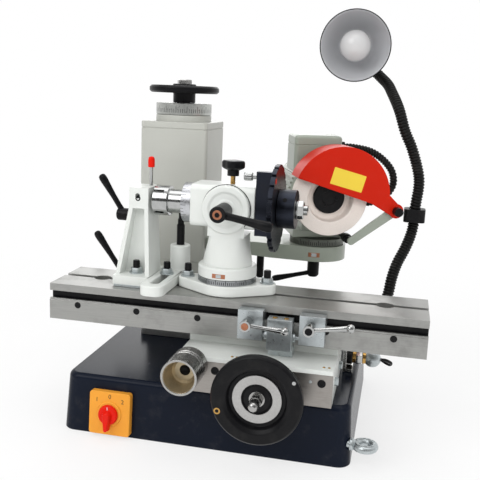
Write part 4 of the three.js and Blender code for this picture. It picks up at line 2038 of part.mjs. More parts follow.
// Shade: a spun reflector about its own axis, open at the front, its socket at the back
function lampShade() {
  const neck = SHADE_SOCKET;
  const outer = [
    [0, -SHADE_DEPTH - SHADE_SOCKET_LENGTH],
    [neck * 0.8, -SHADE_DEPTH - SHADE_SOCKET_LENGTH],
    [neck, -SHADE_DEPTH - SHADE_SOCKET_LENGTH * 0.85],
    [neck, -SHADE_DEPTH],
    [SHADE_RADIUS * 0.55, -SHADE_DEPTH * 0.93],
    [SHADE_RADIUS * 0.78, -SHADE_DEPTH * 0.68],
    [SHADE_RADIUS * 0.93, -SHADE_DEPTH * 0.32],
    [SHADE_RADIUS, 0],
  ];
  const inner = [
    [SHADE_RADIUS - SHADE_WALL, 0],
    [SHADE_RADIUS * 0.93 - SHADE_WALL, -SHADE_DEPTH * 0.32],
    [SHADE_RADIUS * 0.78 - SHADE_WALL, -SHADE_DEPTH * 0.67],
    [SHADE_RADIUS * 0.55 - SHADE_WALL, -SHADE_DEPTH * 0.9],
    [BULB_NECK + CLEAR, -SHADE_DEPTH * 0.95],
    [BULB_NECK + CLEAR, -SHADE_DEPTH - SHADE_SOCKET_LENGTH / 2],
    [0, -SHADE_DEPTH - SHADE_SOCKET_LENGTH / 2],
  ];
  const wide = HOSE_OUTER + CUT;
  const inside = spigotRoot.clone().addScaledVector(spigotAxis, BULB_NECK + CUT * 2);
  const spigot = limb([inside, spigotEnd], [[wide, wide], [wide, wide]], at(0, 0, 1));
  return join(turned([...outer, ...inner], ROUND), spigot);
}

function lampBulb() {
  const middle = -SHADE_DEPTH * 0.35;
  const low = -SHADE_DEPTH - SHADE_SOCKET_LENGTH / 2 + CLEAR;
  const start = -Math.PI / 2 + Math.asin(BULB_NECK / BULB_RADIUS);
  return turned([
    [0, low],
    [BULB_NECK, low],
    ...arc(0, middle, BULB_RADIUS, start, Math.PI / 2, FINE / 2).slice(0, -1),
    [0, middle + BULB_RADIUS],
  ], ROUND);
}

// Lead from the fitting's elbow in two loose loops to its gland on the base
function lampLead() {
  const start = FITTING_ELBOW_X + FITTING_ELBOW;
  const curve = new THREE.CatmullRomCurve3([
    at(start + CLEAR, FITTING_Y, FITTING_Z),
    at(start + LEAD_RADIUS * 3, FITTING_Y, FITTING_Z),
    above(290, -14, 15),
    above(288, 0, 6),
    above(276, 12, 7),
    above(262, 22, 15),
    above(246, 34, 25),
    above(230, 48, 27),
    above(219, 60, 19),
    at(216, 64, BASE_HEIGHT + LEAD_RADIUS * 4),
    at(216, 64, BASE_HEIGHT + CLEAR),
  ], false, "centripetal");
  return drawnTube(LEAD_RADIUS, LEAD_SIDES, LEAD_STEPS, curve);
}

piece("lamp_fitting", lampFitting(), ZINC);
piece("gooseneck", gooseneck(), BLACK);
piece("gooseneck_clip", gooseneckClip(), BLACK);
onShade(piece("lamp_shade", lampShade(), BLACK));
onShade(piece("lamp_bulb", lampBulb(), GLASS));
piece("lamp_lead", lampLead(), BLACK);

export default machine;
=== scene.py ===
import json
import math

import bmesh
import bpy
from mathutils import Matrix, Vector

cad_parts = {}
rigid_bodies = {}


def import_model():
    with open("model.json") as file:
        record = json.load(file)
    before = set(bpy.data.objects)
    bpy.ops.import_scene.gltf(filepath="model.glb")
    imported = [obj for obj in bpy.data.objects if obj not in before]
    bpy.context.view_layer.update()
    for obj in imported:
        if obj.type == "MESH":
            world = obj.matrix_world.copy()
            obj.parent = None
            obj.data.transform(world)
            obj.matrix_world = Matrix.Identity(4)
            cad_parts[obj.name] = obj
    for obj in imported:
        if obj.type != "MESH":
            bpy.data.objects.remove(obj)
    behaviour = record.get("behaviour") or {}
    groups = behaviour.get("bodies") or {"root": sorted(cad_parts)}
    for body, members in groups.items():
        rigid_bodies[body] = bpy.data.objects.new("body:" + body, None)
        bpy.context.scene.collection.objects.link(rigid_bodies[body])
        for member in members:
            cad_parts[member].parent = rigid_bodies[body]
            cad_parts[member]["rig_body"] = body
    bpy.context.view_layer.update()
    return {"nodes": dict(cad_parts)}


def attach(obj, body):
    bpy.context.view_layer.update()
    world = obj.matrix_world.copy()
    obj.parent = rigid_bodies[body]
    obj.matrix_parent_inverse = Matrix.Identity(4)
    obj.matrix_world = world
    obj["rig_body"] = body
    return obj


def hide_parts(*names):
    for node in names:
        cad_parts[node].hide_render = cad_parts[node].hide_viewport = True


# Looks of a bench tool and cutter grinder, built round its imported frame. Profiles, outlines and
# places are written in millimetres, in the frame's own axes, and MM turns them into metres.
bl_info = {
    "name": "Tool Grinder Looks",
    "version": (1, 0, 0),
    "blender": (4, 5, 0),
    "location": "3D View > Sidebar > Grinder",
    "description": "Finished surfaces and fine forms for a bench tool and cutter grinder",
    "category": "Object",
}

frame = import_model()

MM = 0.001
ROUND = 72  # steps round a large turned piece
FINE = 36  # steps round a small turned piece
CORNER = 8  # steps in a rounded corner
SHARP = math.radians(34)  # edges that turn more than this stay crisp
BEVELLED = math.radians(38)  # edges that turn more than this are rounded
WELD = 1e-6  # points nearer than this, in metres, become one
BUMP_DEPTH = 0.0004  # the most, in metres, that a bump stands for


def srgb(code):
    """The linear colour of a hex code."""
    values = [int(code[i:i + 2], 16) / 255 for i in (1, 3, 5)]
    return tuple(v / 12.92 if v <= 0.04045 else ((v + 0.055) / 1.055) ** 2.4 for v in values)


# Shapes: lists of points in millimetres and faces that index them


def softened(profile, radius):
    """A profile with each corner taken off by a short arc of four points."""
    closed = profile[0] == profile[-1]
    points = [Vector(p) for p in (profile[:-1] if closed else profile)]
    count = len(points)
    made = []
    for i, here in enumerate(points):
        if not closed and i in (0, count - 1):
            made.append(tuple(here))
            continue
        before, after = points[i - 1] - here, points[(i + 1) % count] - here
        reach = min(radius, before.length * 0.45, after.length * 0.45)
        if reach < 0.02 or before.angle(after) > math.radians(165):
            made.append(tuple(here))
            continue
        start, end = here + before.normalized() * reach, here + after.normalized() * reach
        for share in (0, 0.3, 0.7, 1):
            made.append(tuple(start.lerp(here, share).lerp(here.lerp(end, share), share)))
    return made + [made[0]] if closed else made


def turned(profile, steps=FINE, soft=0.5, radius_at=None):
    """A shape turned about +Z from (radius, height) pairs. radius_at may change a point's radius."""
    points, rings = [], []
    for radius, height in softened(profile, soft):
        if radius < 1e-6:
            rings.append([len(points)])
            points.append((0, 0, height))
            continue
        rings.append(list(range(len(points), len(points) + steps)))
        for k in range(steps):
            angle = 2 * math.pi * k / steps
            reach = radius_at(radius, height, angle) if radius_at else radius
            points.append((reach * math.cos(angle), reach * math.sin(angle), height))
    faces = []
    for low, high in zip(rings, rings[1:]):
        for k in range(steps):
            corners = [low[k % len(low)], low[(k + 1) % len(low)], high[(k + 1) % len(high)],
                       high[k % len(high)]]
            unique = list(dict.fromkeys(corners))
            if len(unique) > 2:
                faces.append(unique)
    return points, faces


def rod(radius, low, high, steps=FINE, soft=0.5):
    return turned([(0, low), (radius, low), (radius, high), (0, high)], steps, soft)


def ring(outer, inner, low, high, steps=ROUND, soft=0.5):
    return turned([(inner, low), (outer, low), (outer, high), (inner, high), (inner, low)], steps, soft)


def arc(x, y, radius, start, end, steps=CORNER):
    """Points of an arc between two angles in degrees, ends included."""
    angles = [math.radians(start + (end - start) * i / steps) for i in range(steps + 1)]
    return [(x + radius * math.cos(a), y + radius * math.sin(a)) for a in angles]


def rounded(x0, x1, y0, y1, radius, steps=CORNER):
    """A rectangle's outline with round corners."""
    return [
        *arc(x1 - radius, y0 + radius, radius, -90, 0, steps),
        *arc(x1 - radius, y1 - radius, radius, 0, 90, steps),
        *arc(x0 + radius, y1 - radius, radius, 90, 180, steps),
        *arc(x0 + radius, y0 + radius, radius, 180, 270, steps),
    ]


def loft(rings):
    """A closed skin over rings of as many points each."""
    size = len(rings[0])
    points = [p for ring_points in rings for p in ring_points]
    faces = [list(range(size)), list(range(size * (len(rings) - 1), size * len(rings)))]
    for k in range(len(rings) - 1):
        for i in range(size):
            n = (i + 1) % size
            faces.append([k * size + i, k * size + n, (k + 1) * size + n, (k + 1) * size + i])
    return points, faces


def prism(outline, low, high):
    return loft([[(x, y, z) for x, y in outline] for z in (low, high)])


def block(x0, x1, y0, y1, z0, z1):
    return prism([(x0, y0), (x1, y0), (x1, y1), (x0, y1)], z0, z1)


def moved(shape, place):
    """A shape put somewhere by a matrix in millimetres."""
    points, faces = shape
    return [tuple(place @ Vector(p)) for p in points], faces


def together(*shapes):
    """Several closed shapes as one."""
    points, faces = [], []
    for more_points, more_faces in shapes:
        faces += [[i + len(points) for i in face] for face in more_faces]
        points += more_points
    return points, faces


def oval(point, across, other, wide, thick, steps):
    """Points of an oval about a point, in the plane of two directions."""
    angles = [2 * math.pi * s / steps for s in range(steps)]
    return [tuple(point + across * wide * math.cos(a) + other * thick * math.sin(a)) for a in angles]


def limb(path, sizes, flat, steps=20, spread=4):
    """An oval limb along points, with [half across, half along the flat direction] at each."""
    path = [Vector(p) for p in path]
    count = (len(path) - 1) * spread
    rings = []
    for i in range(count + 1):
        k = min(i // spread, len(path) - 2)
        share = i / spread - k
        point = path[k].lerp(path[k + 1], share)
        wide, thick = (a + (b - a) * share for a, b in zip(sizes[k], sizes[k + 1]))
        ahead = (path[min(k + 1, len(path) - 1)] - path[k]).normalized()
        across = ahead.cross(Vector(flat)).normalized()
        rings.append(oval(point, across, across.cross(ahead), wide, thick, steps))
    return loft(rings)


def lever_arm(start, end, width, thickness, flat):
    """A straight lever arm that swells towards its rounded tip."""
    shares = (0, 0.2, 0.45, 0.7, 0.84, 0.92, 0.97, 0.992, 1)
    swell = (0.84, 0.7, 0.72, 0.88, 1, 1, 0.86, 0.6, 0.28)
    path = [Vector(start).lerp(Vector(end), share) for share in shares]
    return limb(path, [(width * s, thickness * s) for s in swell], flat)


def smooth_route(points, step=0.5):
    """Points every step along a centripetal curve through the given ones."""
    given = [Vector(p) for p in points]
    given = [given[0] * 2 - given[1], *given, given[-1] * 2 - given[-2]]
    dense = []
    for a, b, c, d in zip(given, given[1:], given[2:], given[3:]):
        d0, d1, d2 = (max(math.sqrt((q - p).length), 1e-4) for p, q in ((a, b), (b, c), (c, d)))
        t1 = ((b - a) / d0 - (c - a) / (d0 + d1) + (c - b) / d1) * d1
        t2 = ((c - b) / d1 - (d - b) / (d1 + d2) + (d - c) / d2) * d1
        for i in range(40):
            t = i / 40
            dense.append(
                b * (2 * t**3 - 3 * t**2 + 1) + t1 * (t**3 - 2 * t**2 + t)
                + c * (3 * t**2 - 2 * t**3) + t2 * (t**3 - t**2)
            )
    dense.append(given[-2])
    made, travelled, due = [dense[0]], 0, step
    for p, q in zip(dense, dense[1:]):
        span = (q - p).length
        while span and travelled + span >= due:
            made.append(p.lerp(q, (due - travelled) / span))
            due += step
        travelled += span
    made.append(dense[-1])
    return made


def hose(route, radius_at, steps=16):
    """A tube along a route whose radius follows the distance along it."""
    across = None
    rings, travelled = [], 0
    for i, point in enumerate(route):
        ahead = (route[min(i + 1, len(route) - 1)] - route[max(i - 1, 0)]).normalized()
        guide = across or Vector((1, 0, 0))
        other = ahead.cross(guide).normalized()
        across = other.cross(ahead)
        radius = radius_at(travelled)
        rings.append(oval(point, across, other, radius, radius, steps))
        if i + 1 < len(route):
            travelled += (route[i + 1] - point).length
    return loft(rings)


# Places


def upright(x, y, z=0):
    return Matrix.Translation((x, y, z))


def facing_front(x, z):
    """Turns +Z to the front: a height h lies at y = -h."""
    return Matrix.Translation((x, 0, z)) @ Matrix.Rotation(math.pi / 2, 4, "X")


def facing_right(y, z):
    return Matrix.Translation((0, y, z)) @ Matrix.Rotation(math.pi / 2, 4, "Y")


def facing_left(y, z):
    return Matrix.Translation((0, y, z)) @ Matrix.Rotation(-math.pi / 2, 4, "Y")


# Pieces


def in_metres(place):
    made = place.copy()
    made.translation *= MM
    return made


def linked(name, data):
    """A new object in the scene."""
    obj = bpy.data.objects.new(name, data)
    bpy.context.scene.collection.objects.link(obj)
    return obj


def evaluated(obj):
    """The mesh that an object shows with its modifiers applied."""
    bpy.context.view_layer.update()
    graph = bpy.context.evaluated_depsgraph_get()
    return bpy.data.meshes.new_from_object(obj.evaluated_get(graph))


def mesh_of(name, shape, weld=True):
    """A shape's mesh in metres, with its faces turned outwards."""
    points, faces = shape
    mesh = bpy.data.meshes.new(name)
    mesh.from_pydata([tuple(v * MM for v in p) for p in points], [], faces)
    shaped = bmesh.new()
    shaped.from_mesh(mesh)
    if weld:
        bmesh.ops.remove_doubles(shaped, verts=shaped.verts, dist=WELD)
    bmesh.ops.recalc_face_normals(shaped, faces=shaped.faces)
    shaped.to_mesh(mesh)
    shaped.free()
    return mesh


def settle(obj):
    """Applies what was added to a piece, then shades it smooth between its crisp edges."""
    mesh = evaluated(obj)
    obj.modifiers.clear()
    obj.data = mesh
    mesh.polygons.foreach_set("use_smooth", [True] * len(mesh.polygons))
    mesh.set_sharp_from_angle(angle=SHARP)
    even = obj.modifiers.new("Even shading", "WEIGHTED_NORMAL")
    even.keep_sharp = True


def make(name, shape, look, body, nodes=(), place=None, edge=0, cutter=None):
    """One piece: its mesh, cut and rounded, with its finish, its body and the nodes it stands for.

    Bare metal keeps its place, since its turning rings and graduations run about the piece's own +Z.
    """
    if place and FINISHES[look[0]][0] is not metal_material:
        shape, cutter, place = moved(shape, place), cutter and moved(cutter, place), None
    obj = linked(name, mesh_of(name, shape))
    obj.matrix_world = in_metres(place or Matrix.Identity(4))
    if cutter:
        carve(obj, cutter)
    if edge:
        round_edges(obj, edge)
    return finish(obj, look, body, nodes)


def carve(obj, shape):
    """Takes a shape out of a piece."""
    tool = linked("cutter", mesh_of("cutter", shape, weld=False))
    tool.matrix_world = obj.matrix_world
    cut = obj.modifiers.new("Cut", "BOOLEAN")
    cut.object, cut.operation, cut.solver = tool, "DIFFERENCE", "EXACT"
    obj.data = evaluated(obj)
    obj.modifiers.clear()
    bpy.data.objects.remove(tool)


def round_edges(obj, width):
    edge = obj.modifiers.new("Rounded edges", "BEVEL")
    edge.width, edge.segments, edge.limit_method = width * MM, 3, "ANGLE"
    edge.angle_limit, edge.use_clamp_overlap = BEVELLED, True


def finish(obj, look, body, nodes=()):
    settle(obj)
    name, slot = look
    obj.data.materials.clear()
    obj.data.materials.append(surface(name))
    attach(obj, body)
    if nodes:
        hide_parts(*([nodes] if isinstance(nodes, str) else nodes))
    return obj


def dressed(node, look, edge=0.8):
    """A piece with a frame node's own form and its edges rounded."""
    source = frame["nodes"][node]
    mesh = source.data.copy()
    shaped = bmesh.new()
    shaped.from_mesh(mesh)
    bmesh.ops.remove_doubles(shaped, verts=shaped.verts, dist=2 * WELD)
    bmesh.ops.dissolve_limit(
        shaped, angle_limit=math.radians(1), verts=shaped.verts, edges=shaped.edges, delimit=set(),
    )
    shaped.to_mesh(mesh)
    shaped.free()
    obj = linked(node + "_finished", mesh)
    round_edges(obj, edge)
    return finish(obj, look, source["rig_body"], node)


# Node groups shared by the finishes


def new_group(name, inputs, outputs):
    """An empty group with sockets given as (name, type, default) and (name, type)."""
    group = bpy.data.node_groups.new(name, "ShaderNodeTree")
    for label, kind, default in inputs:
        socket = group.interface.new_socket(label, in_out="INPUT", socket_type=kind)
        socket.default_value = default
    for label, kind in outputs:
        group.interface.new_socket(label, in_out="OUTPUT", socket_type=kind)
    return group, group.nodes.new("NodeGroupInput"), group.nodes.new("NodeGroupOutput")


def feed(tree, socket, value):
    """Sets a socket to a number or a colour, or links it to another socket."""
    if isinstance(value, (int, float)):
        socket.default_value = value
    elif isinstance(value, tuple):
        socket.default_value = (*value[:3], 1)
    else:
        tree.links.new(value, socket)


def math_node(tree, operation, *values):
    """A Math node fed by sockets or numbers, and its result."""
    node = tree.nodes.new("ShaderNodeMath")
    node.operation = operation
    for socket, value in zip(node.inputs, values):
        feed(tree, socket, value)
    return node.outputs[0]


def times(tree, first, second):
    return math_node(tree, "MULTIPLY", first, second)


def plus(tree, first, second):
    return math_node(tree, "ADD", first, second)


def noise(tree, vector, scale, detail=3, roughness=0.5):
    node = tree.nodes.new("ShaderNodeTexNoise")
    node.inputs["Detail"].default_value = detail
    node.inputs["Roughness"].default_value = roughness
    feed(tree, node.inputs["Vector"], vector)
    feed(tree, node.inputs["Scale"], scale)
    return node.outputs["Fac"]


def mix_colour(tree, mask, first, second):
    node = tree.nodes.new("ShaderNodeMix")
    node.data_type = "RGBA"
    for socket, value in ((node.inputs[0], mask), (node.inputs[6], first), (node.inputs[7], second)):
        feed(tree, socket, value)
    return node.outputs[2]


def span(tree, value, low, high, to_low, to_high):
    """Maps a value from one range to another, held at the ends."""
    node = tree.nodes.new("ShaderNodeMapRange")
    for socket, given in zip(node.inputs, (value, low, high, to_low, to_high)):
        feed(tree, socket, given)
    return node.outputs[0]


def axes(tree, vector):
    """A vector's three numbers."""
    parts = tree.nodes.new("ShaderNodeSeparateXYZ")
    tree.links.new(vector, parts.inputs[0])
    return parts.outputs


def object_place(tree):
    return tree.nodes.new("ShaderNodeTexCoord").outputs["Object"]


COLOUR, VALUE, VECTOR = "NodeSocketColor", "NodeSocketFloat", "NodeSocketVector"


def shaded(group, colour, value):
    """A colour made darker or lighter by a value."""
    shade = group.nodes.new("ShaderNodeHueSaturation")
    group.links.new(colour, shade.inputs["Color"])
    group.links.new(value, shade.inputs["Value"])
    return shade.outputs[0]


def skin_group():
    """Enamel or moulded plastic: a fine uneven skin, soft colour drift and a little workshop dust."""
    group, given, result = new_group(
        "Moulded skin",
        [("Color", COLOUR, (0.8, 0.8, 0.8, 1)), ("Dust Color", COLOUR, (0.3, 0.28, 0.25, 1)),
         ("Dust", VALUE, 0.1), ("Peel Scale", VALUE, 600.0), ("Roughness", VALUE, 0.3)],
        [("Color", COLOUR), ("Roughness", VALUE), ("Height", VALUE)],
    )
    place = object_place(group)
    drift = span(group, noise(group, place, 9.0, 4), 0.3, 0.7, 0.93, 1.0)
    cloud = span(group, noise(group, place, 38.0, 6, 0.62), 0.52, 0.76, 0.0, 1.0)
    dust = times(group, cloud, given.outputs["Dust"])
    painted = shaded(group, given.outputs["Color"], drift)
    group.links.new(mix_colour(group, dust, painted, given.outputs["Dust Color"]), result.inputs["Color"])
    fine = noise(group, place, given.outputs["Peel Scale"], 2)
    group.links.new(fine, result.inputs["Height"])
    rough = plus(group, given.outputs["Roughness"], times(group, dust, 0.5))
    rough = plus(group, rough, span(group, fine, 0.3, 0.7, -0.02, 0.03))
    group.links.new(rough, result.inputs["Roughness"])
    return group


def metal_group():
    """Bare metal: tool marks drawn out along one direction, smears and small stains."""
    group, given, result = new_group(
        "Tool marks",
        [("Color", COLOUR, (0.6, 0.6, 0.6, 1)), ("Stretch", VECTOR, (60.0, 900.0, 900.0)),
         ("Roughness", VALUE, 0.25), ("Marks", VALUE, 0.5), ("Stain", VALUE, 0.2)],
        [("Color", COLOUR), ("Roughness", VALUE), ("Height", VALUE)],
    )
    place = object_place(group)
    scaled = group.nodes.new("ShaderNodeVectorMath")
    scaled.operation = "MULTIPLY"
    group.links.new(place, scaled.inputs[0])
    group.links.new(given.outputs["Stretch"], scaled.inputs[1])
    lines = noise(group, scaled.outputs[0], 1.0, 4, 0.6)
    smear = noise(group, place, 22.0, 5, 0.6)
    stain = times(group, span(group, smear, 0.5, 0.75, 0.0, 1.0), given.outputs["Stain"])
    dark = mix_colour(group, stain, given.outputs["Color"], (0.05, 0.045, 0.04))
    light = span(group, lines, 0.3, 0.7, 0.86, 1.04)
    group.links.new(shaded(group, dark, light), result.inputs["Color"])
    group.links.new(times(group, lines, given.outputs["Marks"]), result.inputs["Height"])
    spread = plus(group, span(group, lines, 0.3, 0.7, -0.05, 0.09), times(group, stain, 0.3))
    group.links.new(plus(group, given.outputs["Roughness"], spread), result.inputs["Roughness"])
    return group


def rings_group():
    """Fine rings that a lathe leaves about the piece's own +Z, as a height."""
    group, given, result = new_group(
        "Turning rings", [("Pitch", VALUE, 1500.0)], [("Height", VALUE)],
    )
    x, y, z = axes(group, object_place(group))
    radius = math_node(group, "SQRT", plus(group, times(group, x, x), times(group, y, y)))
    joined = group.nodes.new("ShaderNodeCombineXYZ")
    group.links.new(times(group, plus(group, radius, z), given.outputs["Pitch"]), joined.inputs[0])
    group.links.new(noise(group, joined.outputs[0], 1.0, 2), result.inputs["Height"])
    return group


def marks_group():
    """Engraved graduations about the piece's own +Z, long ones among short ones, as a mask."""
    group, given, result = new_group(
        "Graduations",
        [("Count", VALUE, 72.0), ("Long Every", VALUE, 5.0), ("Width", VALUE, 0.16),
         ("Start", VALUE, 0.0), ("Short End", VALUE, 0.004), ("Long End", VALUE, 0.007)],
        [("Mask", VALUE)],
    )
    x, y, height = axes(group, object_place(group))
    turn = plus(group, math_node(group, "DIVIDE", math_node(group, "ARCTAN2", y, x), 2 * math.pi), 1.0)

    def lines(count, width, end):
        share = math_node(group, "FRACT", times(group, turn, count))
        line = math_node(group, "LESS_THAN", share, width)
        above = math_node(group, "GREATER_THAN", height, given.outputs["Start"])
        below = math_node(group, "LESS_THAN", height, end)
        return times(group, line, times(group, above, below))

    count, width, every = (given.outputs[label] for label in ("Count", "Width", "Long Every"))
    rare, slim = (math_node(group, "DIVIDE", whole, every) for whole in (count, width))
    short = lines(count, width, given.outputs["Short End"])
    long = lines(rare, slim, given.outputs["Long End"])
    group.links.new(math_node(group, "MAXIMUM", short, long), result.inputs["Mask"])
    return group


GROUPS = {
    "Moulded skin": skin_group, "Tool marks": metal_group, "Turning rings": rings_group,
    "Graduations": marks_group,
}


def placed_group(tree, name, **values):
    """A shared group in a material, with its own values."""
    node = tree.nodes.new("ShaderNodeGroup")
    node.node_tree = bpy.data.node_groups.get(name) or GROUPS[name]()
    for label, value in values.items():
        given = (*value, 1) if label.endswith("Color") else value
        node.inputs[label.replace("_", " ")].default_value = given
    return node


def bump_from(tree, shader, height, strength):
    bump = tree.nodes.new("ShaderNodeBump")
    bump.inputs["Strength"].default_value = strength
    bump.inputs["Distance"].default_value = BUMP_DEPTH
    tree.links.new(height, bump.inputs["Height"])
    tree.links.new(bump.outputs[0], shader.inputs["Normal"])


def new_material(name):
    """A node material, its tree and its main shader."""
    material = bpy.data.materials.new(name)
    material.use_nodes = True
    tree = material.node_tree
    return material, tree, tree.nodes["Principled BSDF"]


def skin_material(name, colour, roughness, dust=0.02, coat=0.0, peel=300.0, bump=0.05, shine=0.4):
    material, tree, shader = new_material(name)
    skin = placed_group(tree, "Moulded skin", Color=colour, Dust=dust, Peel_Scale=peel, Roughness=roughness)
    tree.links.new(skin.outputs["Color"], shader.inputs["Base Color"])
    tree.links.new(skin.outputs["Roughness"], shader.inputs["Roughness"])
    shader.inputs["Specular IOR Level"].default_value = shine
    shader.inputs["Coat Weight"].default_value = coat
    shader.inputs["Coat Roughness"].default_value = 0.08
    bump_from(tree, shader, skin.outputs["Height"], bump)
    return material


def metal_material(name, colour, roughness, marks=0.2, stain=0.1, stretch=(300.0, 300.0, 300.0), bump=0.12,
                   rings=0.0, graduations=None, metallic=1.0):
    material, tree, shader = new_material(name)
    shader.inputs["Metallic"].default_value = metallic
    metal = placed_group(
        tree, "Tool marks", Color=colour, Stretch=stretch, Roughness=roughness, Marks=marks, Stain=stain)
    base, height = metal.outputs["Color"], metal.outputs["Height"]
    if graduations:
        marked = placed_group(tree, "Graduations", **graduations)
        base = mix_colour(tree, marked.outputs["Mask"], base, (0.01, 0.01, 0.012))
    if rings:
        height = times(tree, placed_group(tree, "Turning rings").outputs["Height"], rings)
    tree.links.new(base, shader.inputs["Base Color"])
    tree.links.new(metal.outputs["Roughness"], shader.inputs["Roughness"])
    bump_from(tree, shader, height, bump)
    return material


def coated_material(name, colour, roughness, specks, scale=1400.0):
    """Grit held in a bond: pale grains and darker pores."""
    material, tree, shader = new_material(name)
    skin = placed_group(tree, "Moulded skin", Color=colour, Dust=0.12, Peel_Scale=scale,
                        Roughness=roughness)
    grain = noise(tree, object_place(tree), scale * 0.7, 4, 0.7)
    mask = times(tree, span(tree, grain, 0.5, 0.68, 0.0, 1.0), specks)
    tree.links.new(mix_colour(tree, mask, skin.outputs["Color"], (0.32, 0.22, 0.19)),
                   shader.inputs["Base Color"])
    tree.links.new(skin.outputs["Roughness"], shader.inputs["Roughness"])
    bump_from(tree, shader, grain, 0.35)
    return material


def glowing_material(name, colour, roughness, glow):
    """Milky glass that glows a little, warmer towards its neck."""
    material = skin_material(name, colour, roughness, dust=0.03, coat=0.5, peel=600.0, bump=0.01)
    tree = material.node_tree
    shader = tree.nodes["Principled BSDF"]
    warm = span(tree, axes(tree, object_place(tree))[2], -0.06, 0.0, 0.0, 1.0)
    tree.links.new(mix_colour(tree, warm, (0.9, 0.66, 0.36), (1.0, 0.95, 0.85)),
                   shader.inputs["Emission Color"])
    shader.inputs["Emission Strength"].default_value = glow
    return material


def marks(count, every, width, start, short_end, long_end):
    """The graduations of a finish. Their start and ends are heights in metres."""
    return {"Count": count, "Long_Every": every, "Width": width, "Start": start, "Short_End": short_end,
            "Long_End": long_end}


def skin(colour, roughness, **more):
    """A finish of enamel, plastic or rubber, with a hex code or the name of a paint."""
    return skin_material, {"colour": colour, "roughness": roughness, **more}


def metal(colour, roughness, **more):
    """A finish of bare metal."""
    return metal_material, {"colour": colour, "roughness": roughness, **more}


FINISHES = {
    "base enamel": skin("base_paint", 0.24, dust=0.04, peel=260.0, bump=0.04, shine=0.1),
    "white enamel": skin("white_paint", 0.34, dust=0.05, coat=0.1, peel=320.0, bump=0.07),
    "column enamel": skin("column_paint", 0.38, dust=0.05, coat=0.15),
    "arm enamel": skin("arm_paint", 0.34, dust=0.08, coat=0.2, bump=0.07),
    "guard enamel": skin("guard_paint", 0.36, peel=380.0, bump=0.04, shine=0.12),
    "switch plate": skin("switch_paint", 0.4, peel=900.0, bump=0.03, shine=0.2),
    "red plastic": skin("#e01b08", 0.34, peel=900.0, bump=0.03, shine=0.16),
    "yellow film": skin("#f0cf3c", 0.4, dust=0.04, coat=0.1, peel=1200.0, bump=0.02),
    "black plastic": skin("#121214", 0.34, dust=0.03, peel=700.0, bump=0.06, shine=0.16),
    "hose rubber": skin("#151514", 0.42, dust=0.06, peel=1400.0, bump=0.06, shine=0.2),
    "print ink": skin("#1d1a16", 0.5, dust=0.1, peel=1600.0, bump=0.02),
    "silver lining": skin("#c4c5c8", 0.42, dust=0.03, peel=800.0, bump=0.03),
    "abrasive": (coated_material, {"colour": "#f3e9e1", "roughness": 0.8, "specks": 0.16}),
    "bulb glass": (glowing_material, {"colour": "#c9c9ca", "roughness": 0.24, "glow": 0.05}),
    "ground table": metal("#a9a9a6", 0.36, marks=0.6, stain=0.3, stretch=(25.0, 900.0, 900.0),
                          metallic=0.8),
    "ground steel": metal("#c4c3c0", 0.24, marks=0.5, stain=0.15, stretch=(60.0, 900.0, 900.0)),
    "front plate": metal("#a9a49f", 0.36, marks=0.4, stain=0.2, stretch=(40.0, 700.0, 700.0)),
    "ram steel": metal(
        "#b4b4b2", 0.4, marks=0.15, stain=0.15, stretch=(40.0, 40.0, 300.0), bump=0.02, metallic=0.8),
    "zinc": metal("#c3cacc", 0.3, stain=0.15, stretch=(160.0, 160.0, 160.0), bump=0.05, metallic=0.8),
    "chrome": metal("#b9bab9", 0.1, marks=0.1, stain=0.08, stretch=(90.0, 90.0, 90.0), bump=0.02,
                    rings=0.3),
    "turned steel": metal("#b4b3b1", 0.22, stretch=(200.0, 200.0, 200.0), rings=0.8),
    "cup steel": metal("#c3b497", 0.36, stretch=(200.0, 200.0, 200.0), rings=0.8, metallic=0.8),
    "dull aluminium": metal("#c9c8c6", 0.45, stain=0.08, rings=0.5),
    "brass": metal("#c99f5c", 0.26, stain=0.2, bump=0.05),
    "copper": metal("#bd8063", 0.3, stain=0.25, bump=0.05),
    "blackened steel": metal("#33363f", 0.34, marks=0.3, stain=0.2, rings=0.5),
    "spindle graduations": metal(
        "#cfd0d4", 0.3, stain=0.05, graduations=marks(36.0, 3.0, 0.12, 0.0, 0.005, 0.009)),
    "swivel graduations": metal("#a6a9ab", 0.34, graduations=marks(90.0, 5.0, 0.3, 0.0015, 0.0062, 0.0086)),
    "disc graduations": metal(
        "#73766f", 0.42, stain=0.2, graduations=marks(90.0, 5.0, 0.3, 0.017, 0.023, 0.0265)),
    "dial graduations": metal(
        "#c2c4c0", 0.3, stain=0.05, graduations=marks(80.0, 5.0, 0.2, 0.004, 0.011, 0.0155)),
}


def surface(name):
    """A finish by its name, made when it is first asked for, apart from the frame's own materials."""
    label = "Finish " + name
    ready = bpy.data.materials.get(label)
    if ready:
        return ready
    maker, values = FINISHES[name]
    colour = values["colour"]
    if colour.startswith("#"):
        colour = srgb(colour)
    else:
        colour = tuple(getattr(bpy.context.scene.grinder_paints, colour))
    return maker(label, **{**values, "colour": colour})


